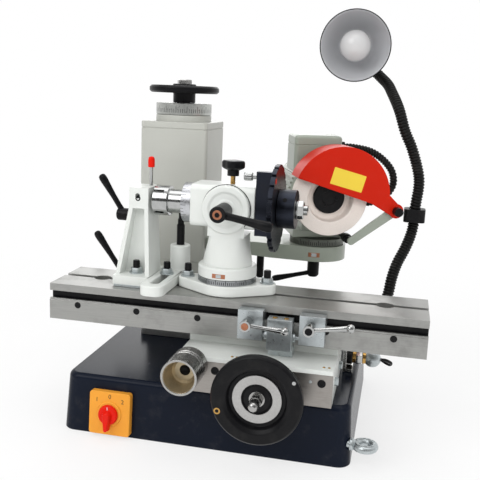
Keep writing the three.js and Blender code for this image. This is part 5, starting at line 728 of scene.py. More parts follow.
# Each look is a finish and the material slot of the frame that it stands for
NAVY = ("base enamel", "navy_paint")
WHITE = ("white enamel", "white_paint")
COLUMN_GREY = ("column enamel", "grey_paint")
ARM_GREY = ("arm enamel", "grey_paint")
TABLE_STEEL = ("ground table", "ground_steel")
STEEL = ("ground steel", "ground_steel")
TURNED_STEEL = ("turned steel", "ground_steel")
PLATE_STEEL = ("front plate", "ground_steel")
CUP_STEEL = ("cup steel", "ground_steel")
RAM_STEEL = ("ram steel", "ground_steel")
ZINC = ("zinc", "zinc")
BRASS = ("brass", "zinc")
COPPER = ("copper", "zinc")
CHROME = ("chrome", "chrome")
ALUMINIUM = ("dull aluminium", "engraved_aluminium")
SPINDLE_DIAL = ("spindle graduations", "engraved_aluminium")
SWIVEL_DIAL = ("swivel graduations", "engraved_aluminium")
DISC_DIAL = ("disc graduations", "engraved_aluminium")
COLUMN_DIAL = ("dial graduations", "engraved_aluminium")
BLACKENED = ("blackened steel", "black_steel")
PLASTIC = ("black plastic", "black_plastic")
HOSE = ("hose rubber", "black_hose")
ORANGE = ("switch plate", "switch_orange")
RED = ("red plastic", "switch_red")
KNOB_MARK = ("white enamel", "switch_red")
GUARD = ("guard enamel", "guard_red")
STICKER = ("yellow film", "switch_orange")
INK = ("print ink", "black_plastic")
GRIT = ("abrasive", "abrasive")
SHADE = ("black plastic", "shade_black")
LINING = ("silver lining", "chrome")
GLASS = ("bulb glass", "bulb_glass")


# Small fittings that many pieces share


def along(point, axis):
    """A place at a point whose +Z runs along an axis."""
    turn = Vector((0, 0, 1)).rotation_difference(Vector(axis)).to_matrix().to_4x4()
    return Matrix.Translation(point) @ turn


def about(shape, *degrees):
    """Copies of a shape turned about +Z."""
    return together(*[moved(shape, Matrix.Rotation(math.radians(d), 4, "Z")) for d in degrees])


def torus(major, minor, steps=ROUND, around=FINE):
    points, faces = [], []
    for i in range(steps):
        a = 2 * math.pi * i / steps
        for k in range(around):
            b = 2 * math.pi * k / around
            reach = major + minor * math.cos(b)
            points.append((reach * math.cos(a), reach * math.sin(a), minor * math.sin(b)))
            n, m = (i + 1) % steps, (k + 1) % around
            faces.append([i * around + k, n * around + k, n * around + m, i * around + m])
    return points, faces


def ball(radius, steps):
    """A ball about the origin."""
    return turned([(0, -radius), *arc(0, 0, radius, -80, 80, 16), (0, radius)], steps, 0)


def hexagon(across_flats):
    reach = across_flats / math.sqrt(3)
    return arc(0, 0, reach, 0, 360, 6)[:-1]


def hex_nut(across_flats, low, high):
    """A hexagon block whose corners are taken off at the top."""
    ring_points = hexagon(across_flats)
    trim = (high - low) * 0.18
    return loft([
        [(x, y, low) for x, y in ring_points],
        [(x, y, high - trim) for x, y in ring_points],
        [(x * 0.88, y * 0.88, high) for x, y in ring_points],
    ])


def socket_head(radius, low, high, depth=None):
    """A cap screw's head with its hexagon socket, which is shallow where the face behind it is near."""
    corners = hexagon(radius)
    inner = [
        (a[0] + (b[0] - a[0]) * s / 4, a[1] + (b[1] - a[1]) * s / 4)
        for a, b in zip(corners, corners[1:] + corners[:1]) for s in range(4)
    ]
    outer = arc(0, 0, radius, 0, 360, len(inner))[:-1]
    floor = high - (depth or (high - low) * 0.6)
    return loft([
        [(x, y, low) for x, y in outer],
        [(x, y, high - 0.6) for x, y in outer],
        [(x * 0.92, y * 0.92, high) for x, y in outer],
        [(x, y, high) for x, y in inner],
        [(x, y, floor) for x, y in inner],
    ])


def stepped_block(x0, x1, y0, y1, radius, levels):
    """A block with round corners whose sides stand in by a given inset at each height."""
    return loft([
        [(x, y, height) for x, y in rounded(x0 + inset, x1 - inset, y0 + inset, y1 - inset, radius)]
        for height, inset in levels
    ])


def upright_outline(outline, front, back):
    """A plate whose outline is given as (x, height), between two depths."""
    return moved(prism(outline, -back, -front), Matrix.Rotation(math.pi / 2, 4, "X"))


def domed_head(radius, low, high):
    """A low domed screw head."""
    return turned([(0, low), (radius, low), (radius, high - 0.5), (radius * 0.6, high), (0, high + 0.1)],
                  FINE, 0.4)


def curved_plate(x, y, inner, outer, start, end, low, high):
    """A thin plate bent round an upright axis, between two angles in degrees."""
    return loft([
        [(*near, low), (*far, low), (*far, high), (*near, high)]
        for near, far in zip(arc(x, y, inner, start, end, 10), arc(x, y, outer, start, end, 10))
    ])


def table_bolt(name, x, y, seat, top, body):
    """A slot bolt: washer, plain nut and the black end of its stud."""
    place = upright(x, y)
    make(name + "_washer", ring(12, 5, seat, seat + 2.2, FINE, 0.4), ZINC, body, place=place)
    make(name + "_nut", hex_nut(17, seat + 2.2, seat + 9.5), ZINC, body, place=place, edge=0.4)
    make(name + "_end", hex_nut(11, seat + 9.5, top), PLASTIC, body, place=place, edge=0.8)


def numeral(name, text, size, place, look, body):
    """A plain figure that stands a hair proud of its plate."""
    curve = bpy.data.curves.new(name, "FONT")
    curve.body, curve.size, curve.extrude = text, size * MM, 0.08 * MM
    curve.align_x, curve.align_y = "CENTER", "CENTER"
    words = linked(name + "_words", curve)
    mesh = evaluated(words)
    bpy.data.objects.remove(words)
    obj = linked(name, mesh)
    obj.matrix_world = in_metres(place)
    return finish(obj, look, body)


# Sizes and colours that a user would change


class GRINDER_paints(bpy.types.PropertyGroup):
    """Colours of the painted and moulded parts."""

    base_paint: bpy.props.FloatVectorProperty(
        name="Base", description="Enamel of the base casting", subtype="COLOR", size=3, min=0, max=1,
        default=srgb("#131926"))
    white_paint: bpy.props.FloatVectorProperty(
        name="White castings", description="Enamel of the saddle, workhead and tailstock", subtype="COLOR",
        size=3, min=0, max=1, default=srgb("#e2e5e1"))
    column_paint: bpy.props.FloatVectorProperty(
        name="Column", description="Enamel of the column housing", subtype="COLOR", size=3, min=0, max=1,
        default=srgb("#bcbdb6"))
    arm_paint: bpy.props.FloatVectorProperty(
        name="Arm and motor", description="Enamel of the arm and the motor", subtype="COLOR", size=3,
        min=0, max=1, default=srgb("#989f93"))
    guard_paint: bpy.props.FloatVectorProperty(
        name="Guard", description="Enamel of the wheel guard", subtype="COLOR", size=3, min=0, max=1,
        default=srgb("#c8210a"))
    switch_paint: bpy.props.FloatVectorProperty(
        name="Switch plate", description="Moulded plate of the switch", subtype="COLOR", size=3, min=0,
        max=1, default=srgb("#eda138"))


class GRINDER_sizes(bpy.types.PropertyGroup):
    """Sizes of the fine forms that stand on the frame."""

    hose_pitch: bpy.props.FloatProperty(
        name="Hose rib pitch", description="Distance between ribs of the lamp hose", default=5.2 * MM,
        min=3 * MM, max=10 * MM, unit="LENGTH")
    conduit_pitch: bpy.props.FloatProperty(
        name="Conduit rib pitch", description="Distance between ribs of the motor conduit",
        default=5.6 * MM, min=3 * MM, max=10 * MM, unit="LENGTH")
    fins: bpy.props.IntProperty(
        name="Motor fins", description="Cooling fins round the motor", default=44, min=20, max=60)
    lamp_level: bpy.props.FloatProperty(
        name="Studio light", description="Level of the studio lamps", default=1.0, min=0.1, max=3,
        subtype="FACTOR")


def sizes():
    return bpy.context.scene.grinder_sizes


CAMERA_PLACE = (280.4, -1248.6, 566.1)
CAMERA_TURN = (12.22, 11.57, 2.27)  # yaw, pitch and roll in degrees
FOCAL_LENGTH, SENSOR = 54.79, 36


class GRINDER_OT_camera(bpy.types.Operator):
    """Stands the camera where the photograph was taken"""

    bl_idname = "grinder.camera"
    bl_label = "Camera"

    def execute(self, context):
        yaw, pitch, roll = (math.radians(a) for a in CAMERA_TURN)
        forward = Vector((-math.sin(yaw) * math.cos(pitch), math.cos(yaw) * math.cos(pitch),
                          -math.sin(pitch)))
        level = Vector((math.cos(yaw), math.sin(yaw), 0))
        above = level.cross(forward)
        right = level * math.cos(roll) + above * math.sin(roll)
        top = right.cross(forward)
        lens = bpy.data.cameras.new("Camera")
        lens.sensor_width, lens.lens = SENSOR, FOCAL_LENGTH
        lens.clip_start, lens.clip_end = 0.05, 60
        camera = linked("Camera", lens)
        turn = Matrix((right, top, -forward)).transposed().to_4x4()
        camera.matrix_world = in_metres(Matrix.Translation(CAMERA_PLACE) @ turn)
        context.scene.camera = camera
        return {"FINISHED"}


LEAD_ROUTE = [
    (273.3, -20, 118), (280.5, -20, 118), (290, -14, 112), (288, 0, 103), (276, 12, 104), (262, 22, 112),
    (246, 34, 122), (230, 48, 124), (219, 60, 116), (216, 64, 107), (216, 64, 97.3),
]
HOSE_ROUTE = [
    (259.1, -7.9, 136.3), (260.1, 3.1, 152.9), (263.5, 13, 174), (268.5, 22, 197), (275.6, 32, 224),
    (279.5, 44, 249), (286, 57, 272), (299.3, 73.1, 301), (306.5, 84.5, 322), (309.4, 89, 338),
    (310, 90, 352), (310, 90, 366), (311.6, 92.1, 386), (313.4, 95.7, 405), (312.9, 98.4, 422),
    (308.6, 100, 441), (294.9, 100, 479), (282, 100, 505), (268.4, 112, 542.5), (253.5, 142.5, 571),
    (243.5, 161.7, 587), (227.5, 180.4, 601.8), (211.3, 187.8, 616.4), (198.5, 189.9, 631.6),
]
CONDUIT_ROUTE = [
    (41.3, 0, 472), (55.3, 0, 472), (92, -4, 465), (118, -8, 448), (133, -10, 428), (135, -12, 406),
    (122, -13, 386), (102, -12, 375), (85.3, -12, 372), (71.3, -12, 372),
]
ARM_END = (136.5, 90)  # the middle of the arm's round end, where the wheelhead turns
HEAD = upright(*ARM_END) @ Matrix.Rotation(math.radians(20), 4, "Z")
AXLE = 388  # height of the grinding wheel's axle
LEAD_RADIUS = 2.5


def ribs(root, outer, pitch):
    """The radius along a corrugated hose: round ribs with narrow valleys."""
    def radius_at(distance):
        wave = 0.5 + 0.5 * math.cos(2 * math.pi * distance / pitch)
        return root + (outer - root) * min(1, 1.35 * wave ** 0.7)
    return radius_at


class GRINDER_OT_hoses(bpy.types.Operator):
    """Lays the lamp's thin lead, its corrugated gooseneck and the motor's conduit"""

    bl_idname = "grinder.hoses"
    bl_label = "Hoses and lead"

    def execute(self, context):
        lead = smooth_route(LEAD_ROUTE, 1.5)
        obj = make("Lamp_lead", hose(lead, lambda s: LEAD_RADIUS, 12), HOSE, "base", "lamp_lead")
        neck = smooth_route(HOSE_ROUTE, 0.65)
        make("Lamp_gooseneck", hose(neck, ribs(8.3, 9.9, sizes().hose_pitch / MM), 24), HOSE, "base",
             "gooseneck")
        conduit = smooth_route(CONDUIT_ROUTE, 0.7)
        make("Motor_conduit_hose", hose(conduit, ribs(5.6, 6.9, sizes().conduit_pitch / MM), 20), HOSE,
             "wheelhead", "motor_conduit", place=HEAD)
        return {"FINISHED"}


SWITCH = Matrix.Translation((-151, -196.62, 41)) @ Matrix.Rotation(math.pi / 2 - 0.0823, 4, "X")


def base_ring(height, inset):
    half_x, half_y = 240 - 5 * height / 97 - inset, 200 - 8 * height / 97 - inset
    return [(x, y, height) for x, y in rounded(-half_x, half_x, -half_y, half_y, 22 - inset)]


class GRINDER_OT_base(bpy.types.Operator):
    """Casts the base and screws in its eye bolt"""

    bl_idname = "grinder.base"
    bl_label = "Base and eye bolt"

    def execute(self, context):
        corner = 8
        rings = [base_ring(*level) for level in ((0, 1), (1, 0.1), (30, 0.1), (60, 0.1))]
        for i in range(7):
            turn = math.radians(15 * i)
            rings.append(base_ring(89 + corner * math.sin(turn), 0.1 + corner * (1 - math.cos(turn))))
        make("Base_casting", loft(rings), NAVY, "base", "base")
        shank = facing_right(-184, 35)
        collar = turned([(0, 236.5), (9.8, 236.5), (9.8, 241), (6.5, 246.5), (0, 246.5)], FINE, 1)
        eye = together(
            moved(torus(14, 6.3), upright(260.5, -184, 35)), moved(rod(6, 226, 250), shank),
            moved(collar, shank),
        )
        make("Lifting_eye", eye, ZINC, "base", "eye_bolt")
        return {"FINISHED"}


def drop_outline(radius, tip, distance, steps=12):
    """A circle drawn out to a small tip straight below it."""
    lean = math.degrees(math.acos((radius - tip) / distance))
    return [
        *arc(0, 0, radius, -90 + lean, 270 - lean, steps * 2),
        *arc(0, -distance, tip, 270 - lean, 270 + lean, steps),
    ]


class GRINDER_OT_switch(bpy.types.Operator):
    """Fits the rotary switch with its plate, figures and knob"""

    bl_idname = "grinder.switch"
    bl_label = "Switch"

    def execute(self, context):
        plate = prism(rounded(-35, 35, -36, 36, 5), 0, 12.9)
        make("Switch_plate", plate, ORANGE, "base", "switch_plate", place=SWITCH, edge=1.6)
        make("Switch_collar", turned([(0, 13), (21.5, 13), (20, 15.6), (0, 15.6)]), ORANGE, "base",
             place=SWITCH)
        for text, x, y in (("1", -22, 22), ("0", 0, 28.5), ("2", 22, 22)):
            place = SWITCH @ upright(x, y, 12.95)
            numeral("Switch_figure_" + text, text, 10, place, INK, "base")
        low = turned([(0, 16.2), (16.6, 16.2), (16.6, 19), (15, 22.5), (0, 22.5)], ROUND, 0.8)
        grip = loft([
            [(x, y, 19) for x, y in drop_outline(9, 4, 22.5)],
            [(x, y, 24) for x, y in drop_outline(8, 3.6, 22.5)],
            [(x, y, 29) for x, y in drop_outline(6, 3, 22.5)],
            [(x, y, 30.1) for x, y in drop_outline(4.8, 2.2, 22.5)],
        ])
        make("Switch_knob_disc", low, RED, "switch_knob", "switch_knob", place=SWITCH)
        make("Switch_knob_grip", grip, RED, "switch_knob", place=SWITCH, edge=0.6)
        make("Switch_stem", rod(4.8, 6, 17), ZINC, "switch_knob", place=SWITCH)
        line = block(-0.5, 0.5, 9, 14, 22.3, 22.7)
        make("Switch_knob_mark", line, KNOB_MARK, "switch_knob", place=SWITCH)
        return {"FINISHED"}


OILERS = (46, 54, 190, 198)


class GRINDER_OT_saddle(bpy.types.Operator):
    """Finishes the bed, the saddle, its front plate and the table's stop block"""

    bl_idname = "grinder.saddle"
    bl_label = "Saddle"

    def execute(self, context):
        dressed("bed", ARM_GREY, 0.8)
        dressed("saddle", WHITE, 1.1)
        dressed("saddle_front_plate", PLATE_STEEL, 0.6)
        for x in (22.3, 189.1):
            make(f"Front_plate_screw_{x:.0f}", socket_head(6.4, 199, 205.4, 1.1), PLASTIC, "saddle",
                 place=facing_front(x, 136))
        make("Front_plate_pin", rod(2.4, 198.6, 204.4), ZINC, "saddle", place=facing_front(172, 137))
        for y in (-160, -88):
            make(f"Saddle_bolt_{-y}", hex_nut(13, 205.9, 211.6), ZINC, "saddle", place=facing_right(y, 125),
                 edge=0.5)
        for x in OILERS:
            make(f"Saddle_oiler_{x}", turned([(0, 156.8), (2.4, 156.8), (1.8, 158), (0, 158.3)], FINE, 0.3),
                 BRASS, "saddle", place=upright(x, -190))
        dressed("stop_block", ZINC, 0.6)
        for x in (108, 126):
            make(f"Stop_screw_{x}", domed_head(4, 222, 223.6), BRASS, "saddle", place=upright(x, -172))
        return {"FINISHED"}


class GRINDER_OT_cross_drive(bpy.types.Operator):
    """Turns the cross handwheel, its pale ring and the screw behind it"""

    bl_idname = "grinder.cross_drive"
    bl_label = "Cross handwheel"

    def execute(self, context):
        place = facing_front(99.5, 119)
        wheel = [
            (0, 204.4), (21.6, 204.4), (21.6, 231), (52, 240), (56, 246), (66, 246.2), (70, 249.5),
            (70, 258.5), (66.5, 261.8), (52, 261.8), (46, 258), (43.5, 249.9), (24, 249.6), (23.3, 253.6),
            (22, 253.6), (21, 250.5), (0, 250.5),
        ]
        make("Cross_handwheel", turned(wheel, ROUND, 1.2), PLASTIC, "cross_wheel", "cross_handwheel",
             place=place)
        make("Cross_wheel_ring", ring(37.4, 23.9, 249.9, 252.9, ROUND, 0.3), ALUMINIUM, "cross_wheel",
             "handwheel_dial", place=place)
        screw = together(
            turned([(0, -61.5), (7.8, -61.5), (7.8, 250), (0, 250)], FINE),
            turned([(0, 250.6), (12.1, 250.6), (12.1, 252.6), (0, 252.6)], FINE, 0.3),
            turned([(0, 266), (7.5, 266), (7.5, 281), (6.2, 284), (3.4, 285.8), (0, 286)], FINE, 0.8),
        )
        make("Cross_screw", screw, TURNED_STEEL, "cross_wheel", "cross_screw", place=place)
        nut = hex_nut(17, 252.6, 266)
        make("Cross_screw_nut", nut, TURNED_STEEL, "cross_wheel", place=place, edge=0.5)
        make("Cross_wheel_insert", ring(5.2, 2.6, 258, 261.9, FINE, 0.4), BRASS, "cross_wheel",
             place=place @ upright(-58, -22))
        make("Cross_wheel_index", rod(3, 258, 261.9), CHROME, "cross_wheel", place=place @ upright(55, 36))
        return {"FINISHED"}


class GRINDER_OT_traverse_drive(bpy.types.Operator):
    """Turns the table's chrome hub with its hollow mouth"""

    bl_idname = "grinder.traverse_drive"
    bl_label = "Traverse hub"

    def execute(self, context):
        profile = [
            (0, 204.4), (28.4, 204.4), (28.4, 222), (27.2, 222.6), (27.2, 224.4), (28.4, 225), (28.4, 229),
            (27.2, 229.6), (27.2, 231.4), (28.4, 232), (28.4, 265.9), (25, 265.9), (24.4, 258), (20, 236),
            (16, 232.2), (8.4, 232), (8.4, 224.5), (0, 224.5),
        ]
        place = facing_front(-18, 143)
        make("Traverse_hub", turned(profile, ROUND, 0.5), TURNED_STEEL, "traverse_hub", "traverse_hub",
             place=place)
        bore = turned([(0, 224.6), (8.2, 224.6), (8.2, 231), (0, 224.8)], FINE, 0.1)
        make("Traverse_hub_bore", bore, PLASTIC, "traverse_hub", place=place)
        cup = turned([(8.5, 232.1), (16.1, 232.4), (20.1, 236.2), (24.5, 258), (24.9, 264.6), (24.3, 264.4),
                      (23.8, 258.2), (19.6, 236.8), (15.8, 233), (8.5, 232.7), (8.5, 232.1)], ROUND, 0.2)
        make("Traverse_hub_cup", cup, CUP_STEEL, "traverse_hub", place=place)
        return {"FINISHED"}


class GRINDER_OT_table(bpy.types.Operator):
    """Grinds the table, and fits its dogs, levers and screws"""

    bl_idname = "grinder.table"
    bl_label = "Table"

    def execute(self, context):
        dressed("table", TABLE_STEEL, 0.9)
        for x in (-228, -124.4, -20.6, 83, 186.6, 290):
            make(f"Table_screw_{x:.0f}".replace("-", "m"), socket_head(5.5, 156.2, 161.2, 0.5), PLASTIC,
                 "table", place=facing_front(x, 204.3))
        # A thin black strip on the groove's back wall: painted shade that stands for the groove's dark
        # depth
        make("Table_groove_floor", block(-278.5, 341.1, -149, -148.6, 210, 228.6), PLASTIC, "table")
        dressed("dog_left", ZINC, 0.5)
        dressed("dog_right", ZINC, 0.5)
        levers = (
            ("left", (68, -203, 215), (128.6, -204.4, 212), "dog_lever_left", COPPER),
            ("right", (165.4, -203, 217.6), (226.9, -204.4, 227.5), "dog_lever_right", PLASTIC),
        )
        for side, (x, y, z), tip, body, screw in levers:
            place = facing_front(x, z)
            hub = turned([(0, 180.5), (7, 180.5), (7, 192), (8.9, 194), (8.9, 210.6), (0, 210.6)], FINE,
                         0.8)
            make(f"Dog_hub_{side}", hub, CHROME, body, body, place=place)
            make(f"Dog_hub_screw_{side}", socket_head(5.8, 208, 211.6, 0.8), screw, body, place=place)
            make(f"Dog_arm_{side}", lever_arm((x, y, z), tip, 4.6, 3.3, (0, 1, 0)), CHROME, body)
            make(f"Dog_ball_{side}", ball(6.7, FINE), CHROME, body, place=upright(*tip))
        return {"FINISHED"}


WORKHEAD = (11.3, -96)
TILT_BOSS = facing_front(14.5, 380)  # the head tilts about the middle of this boss


def eared_outline(x, y, radius, ear, reach, steps=20):
    """A round flange drawn out to a round ear on its left and right."""
    lean = math.degrees(math.acos((radius - ear) / reach))
    return [
        *arc(x, y, radius, lean, 180 - lean, steps),
        *arc(x - reach, y, ear, 180 - lean, 180 + lean, steps),
        *arc(x, y, radius, 180 + lean, 360 - lean, steps),
        *arc(x + reach, y, ear, -lean, lean, steps),
    ]


def neck_ring(height, share):
    """A slice of the workhead's neck: a circle below that becomes a round-cornered block above."""
    x, y = WORKHEAD
    radius, half, front, shift, steps = 41, 30, 39.9, 3.2, 64
    made = []
    for i in range(steps):
        angle = 2 * math.pi * i / steps
        c, s = math.cos(angle), math.sin(angle)
        circle = Vector((x + radius * c, y + radius * s))
        reach = 1 / (abs(c) ** 5 + abs(s) ** 5) ** 0.2
        deep = front if s < 0 else half
        square = Vector((x + shift * share + half * c * reach, y + deep * s * reach))
        point = circle.lerp(square, share)
        made.append((point.x, point.y, height))
    return made


class GRINDER_OT_workhead(bpy.types.Operator):
    """Casts the workhead's flange, turret and head, with its graduated ring"""

    bl_idname = "grinder.workhead"
    bl_label = "Workhead"

    def execute(self, context):
        x, y = WORKHEAD
        flange = prism(eared_outline(x, y, 51.9, 15, 68), 238.4, 256)
        make("Workhead_flange", flange, WHITE, "table", "workhead_base", edge=2.2)
        for side, bolt_x in (("left", -56.7), ("right", 79.3)):
            table_bolt(f"Workhead_bolt_{side}", bolt_x, y, 256, 278, "table")
        make("Swivel_ring_scale", ring(48.6, 20, 0, 8.6, ROUND * 2, 0.3), SWIVEL_DIAL, "table",
             "swivel_ring", place=upright(x, y, 256.3))
        shares = [(282, 0), (290, 0.04), (300, 0.22), (310, 0.45), (320, 0.68), (330, 0.9), (335.8, 1)]
        neck = loft([neck_ring(h, s) for h, s in shares])
        plate = loft([[(px, min(py, -132.4), h) for px, py, _ in neck_ring(h, 1)] for h in (335, 350, 372)])
        boss = moved(turned([
            (0, 132.4), (38.8, 132.4), (38.8, 139), (36.6, 140.9), (29, 140.9), (25.5, 138.8), (17, 138.8),
            (14, 140.4), (0, 140.4),
        ], ROUND, 1.2), TILT_BOSS)
        foot = turned([(0, 265.4), (48.6, 265.4), (48.6, 282), (46.5, 284.2), (40, 284.8), (0, 284.8)],
                      ROUND, 1)
        make("Workhead_turret", foot, WHITE, "workhead_turret", "workhead_pedestal", place=upright(x, y))
        make("Workhead_neck", together(neck, plate, boss), WHITE, "workhead_turret", "workhead_pedestal")
        head = prism(rounded(-131.9, -60.1, 348.2, 416.8, 10), -46.6, 59.9)
        across = Matrix(((0, 0, 1, 0), (1, 0, 0, 0), (0, 1, 0, 0), (0, 0, 0, 1)))
        make("Workhead_head", moved(head, across), WHITE, "workhead_head", "workhead_head", edge=2.2)
        # A thin black ring in the gap between the head and the tilt boss: painted shade in that gap
        painted_gap_shade = moved(ring(40.2, 39.1, 132.1, 132.35, ROUND, 0), TILT_BOSS)
        make("Workhead_boss_gap", painted_gap_shade, PLASTIC, "workhead_turret")
        for name, look, outer, half, low, high in (
            ("Turret_plate", COPPER, 48.95, 13, 268.5, 275.5),
            ("Turret_plate_middle", ZINC, 49.1, 5, 269.3, 274.7),
        ):
            plate = curved_plate(x, y, 48.5, outer, 266 - half, 266 + half, low, high)
            make(name, plate, look, "workhead_turret")
        return {"FINISHED"}


class GRINDER_OT_indexing(bpy.types.Operator):
    """Fits the index housing, its plunger, the tilt lever and the star knob"""

    bl_idname = "grinder.indexing"
    bl_label = "Indexing and levers"

    def execute(self, context):
        dressed("index_housing", BLACKENED, 0.7)
        pin = moved(together(
            turned([(0, 53), (3.9, 53), (3.9, 83.8), (0, 84)], FINE, 0.4),
            turned([(0, 39.1), (6, 39.1), (6.9, 40.4), (6.9, 51.5), (6, 52.9), (0, 52.9)], FINE, 0.5),
        ), facing_right(-120, 433.4))
        make("Index_plunger", pin, CHROME, "index_pin", "index_pin")
        hub = turned([(0, 141.4), (10.5, 141.4), (12.9, 145), (12.9, 190), (11.6, 191.9), (0, 191.9)],
                     ROUND, 0.8)
        hub_stem = turned([(0, 119.1), (5.8, 119.1), (5.8, 142), (0, 142)], FINE, 0.3)
        arm = lever_arm((17, -180.7, 379.4), (99.6, -185, 365.2), 8.4, 6.6, (0, 1, 0))
        make("Tilt_lever_hub", together(hub, hub_stem), PLASTIC, "tilt_lever", "tilt_lever",
             place=TILT_BOSS)
        make("Tilt_lever_arm", arm, PLASTIC, "tilt_lever")
        make("Tilt_lever_screw", socket_head(7.6, 188, 192.4, 1.6), COPPER, "tilt_lever", place=TILT_BOSS)

        def star(radius, height, angle):
            lobes, depth = 4, 0.1
            return radius * (1 + depth * math.cos(lobes * angle)) / (1 + depth)

        place = upright(15.2, -96)
        grip = turned([(0, 439), (10, 439), (16, 441.5), (19, 444), (19, 452), (17.4, 454.6), (12, 455.2),
                       (0, 455.3)],
                      ROUND, 1, star)
        hub = turned([(0, 430), (9.6, 430), (9.6, 441), (0, 441)], FINE, 0.6)
        make("Star_knob_grip", together(grip, hub), PLASTIC, "star_knob", "star_knob", place=place)
        make("Star_knob_screw", rod(3.9, 407.2, 431), BRASS, "star_knob", place=place)
        return {"FINISHED"}


class GRINDER_OT_spindle(bpy.types.Operator):
    """Turns the work spindle with its nose, dial, index plate, collar and drawbar"""

    bl_idname = "grinder.spindle"
    bl_label = "Work spindle"

    def execute(self, context):
        y, z = WORKHEAD[1], 381.7
        left = facing_left(y, z)
        nose = [
            (9.2, 64.2), (19.9, 64.2), (19.9, 89.2), (25.1, 89.6), (25.1, 114.6), (23.8, 115.5),
            (10.4, 115.5), (9.2, 114), (9.2, 64.2),
        ]
        slots = about(block(16, 30, -2.5, 2.5, 96, 118), 45, 135, 225, 315)
        make("Spindle_nose", turned(nose, ROUND, 0.8), CHROME, "spindle", "spindle", place=left,
             cutter=slots)
        make("Spindle_shaft", ring(13.9, 9.2, -121.9, 66, ROUND, 0.3), TURNED_STEEL, "spindle", place=left)
        make("Spindle_dial_ring", ring(32.9, 20.3, 0, 16.4, ROUND, 0.7), SPINDLE_DIAL, "spindle",
             "spindle_dial", place=upright(-63.6, 0) @ facing_right(y, z))
        right = facing_right(y, z)
        notch_outline = []
        notches, root, outer = 20, 67, 70.9
        for i in range(notches):
            start = 360 * i / notches
            notch_outline += arc(0, 0, outer, start + 2.6, start + 15.4, 6)
            notch_outline += arc(0, 0, root, start + 16, start + 20, 3)
        make("Index_plate_disc", prism(notch_outline, 85.4, 92.9), BLACKENED, "spindle", "index_plate",
             place=right, edge=0.4)
        make("Index_plate_mark", rod(4.5, 92.9, 93.3), RED, "spindle", place=facing_right(y - 40, z + 48))
        make("Index_collar",
             turned([(14.2, 93.4), (31.5, 93.4), (31.5, 121.8), (14.2, 121.8), (14.2, 93.4)], ROUND, 0.9),
             BLACKENED, "spindle", "spindle_collar", place=right)
        # A black disc on the collar where its hole is: painted shade that stands for the hole's dark inside
        hole = Matrix.Translation((106, y, z)) @ Matrix.Rotation(math.radians(55), 4, "X")
        make("Index_collar_hole", rod(3.6, 31.1, 31.62), PLASTIC, "spindle", place=hole)
        drawbar = together(
            rod(7.9, 60, 139.9), turned([(0, 122.4), (15.9, 122.4), (15.9, 124.2), (0, 124.2)], ROUND, 0.3),
            hex_nut(26, 124.3, 134),
        )
        make("Drawbar", drawbar, CHROME, "spindle", "drawbar_nut", place=right, edge=0.4)
        return {"FINISHED"}


class GRINDER_OT_tailstock(bpy.types.Operator):
    """Finishes the tailstock, its quill and the red-capped clamp lever"""

    bl_idname = "grinder.tailstock"
    bl_label = "Tailstock"

    def execute(self, context):
        dressed("tailstock_body", WHITE, 1.6)
        strip = prism(rounded(-173.6, -114.9, -141.4, -50.6, 3), 238.4, 242.6)
        make("Tailstock_shim", strip, ZINC, "table", edge=0.4)
        table_bolt("Tailstock_bolt", -143, -112, 257, 279, "table")
        quill = moved(together(
            turned([(0, 119.9), (6.9, 132), (6.9, 154), (0, 154)], FINE, 0.3),
            turned([(0, 154), (3.7, 154), (3.7, 158.9), (0, 158.9)], FINE, 0.5),
        ), facing_left(-96, 387))
        make("Tailstock_centre", quill, TURNED_STEEL, "tailstock_quill", "tailstock_quill")
        place = upright(-129.5, -82)
        stem = turned([(0, 380.4), (2.9, 380.4), (2.9, 438), (0, 438)], FINE, 0.3)
        make("Quill_lever_stem", stem, CHROME, "quill_lever", "quill_lever", place=place)
        cap = turned([(2.9, 434), (5.5, 434), (5.7, 446), (4.6, 450.4), (2.4, 451.9), (0, 452)], FINE, 0.8)
        make("Quill_lever_cap", cap, RED, "quill_lever", place=place)
        front = facing_front(-139.5, 385)
        make("Tailstock_clamp_screw", socket_head(4.6, 117.6, 118.4), PLASTIC, "table", place=front)
        return {"FINISHED"}


class GRINDER_OT_tooth_rest(bpy.types.Operator):
    """Casts the tooth rest's slotted arm and its boss, with the rod in it"""

    bl_idname = "grinder.tooth_rest"
    bl_label = "Tooth rest"

    def execute(self, context):
        slot = prism(rounded(-101, -87, -165, -84, 6.9), 230, 262)
        arm = prism(rounded(-113.9, -74.1, -184.9, -34.1, 15), 238.4, 256)
        place = upright(-84, -54)
        bore = moved(rod(7.6, 241.4, 262), place)
        make("Tooth_rest_casting", arm, WHITE, "table", "tooth_rest_arm", edge=2.4,
             cutter=together(slot, bore))
        boss = turned([(7.6, 250), (19.4, 250), (19.4, 256.4), (17.8, 258.6), (17.4, 262), (17.4, 298),
                       (16.2, 299.8), (7.6, 299.8), (7.6, 250)], ROUND, 0.9)
        make("Tooth_rest_boss", boss, WHITE, "table", "tooth_rest_arm", place=place)
        table_bolt("Tooth_rest_bolt", -94, -96, 256, 277, "table")
        rod_profile = [(0, 262.1), (6.9, 262.1), (6.9, 334), (5.5, 336), (5.5, 344), (4.1, 345.6),
                       (4.1, 354.8), (0, 354.9)]
        make("Tooth_rest_rod_turned", turned(rod_profile, FINE, 0.5), PLASTIC, "tooth_rest_rod",
             "tooth_rest_rod", place=place)
        return {"FINISHED"}


COLUMN = (-127, 90)


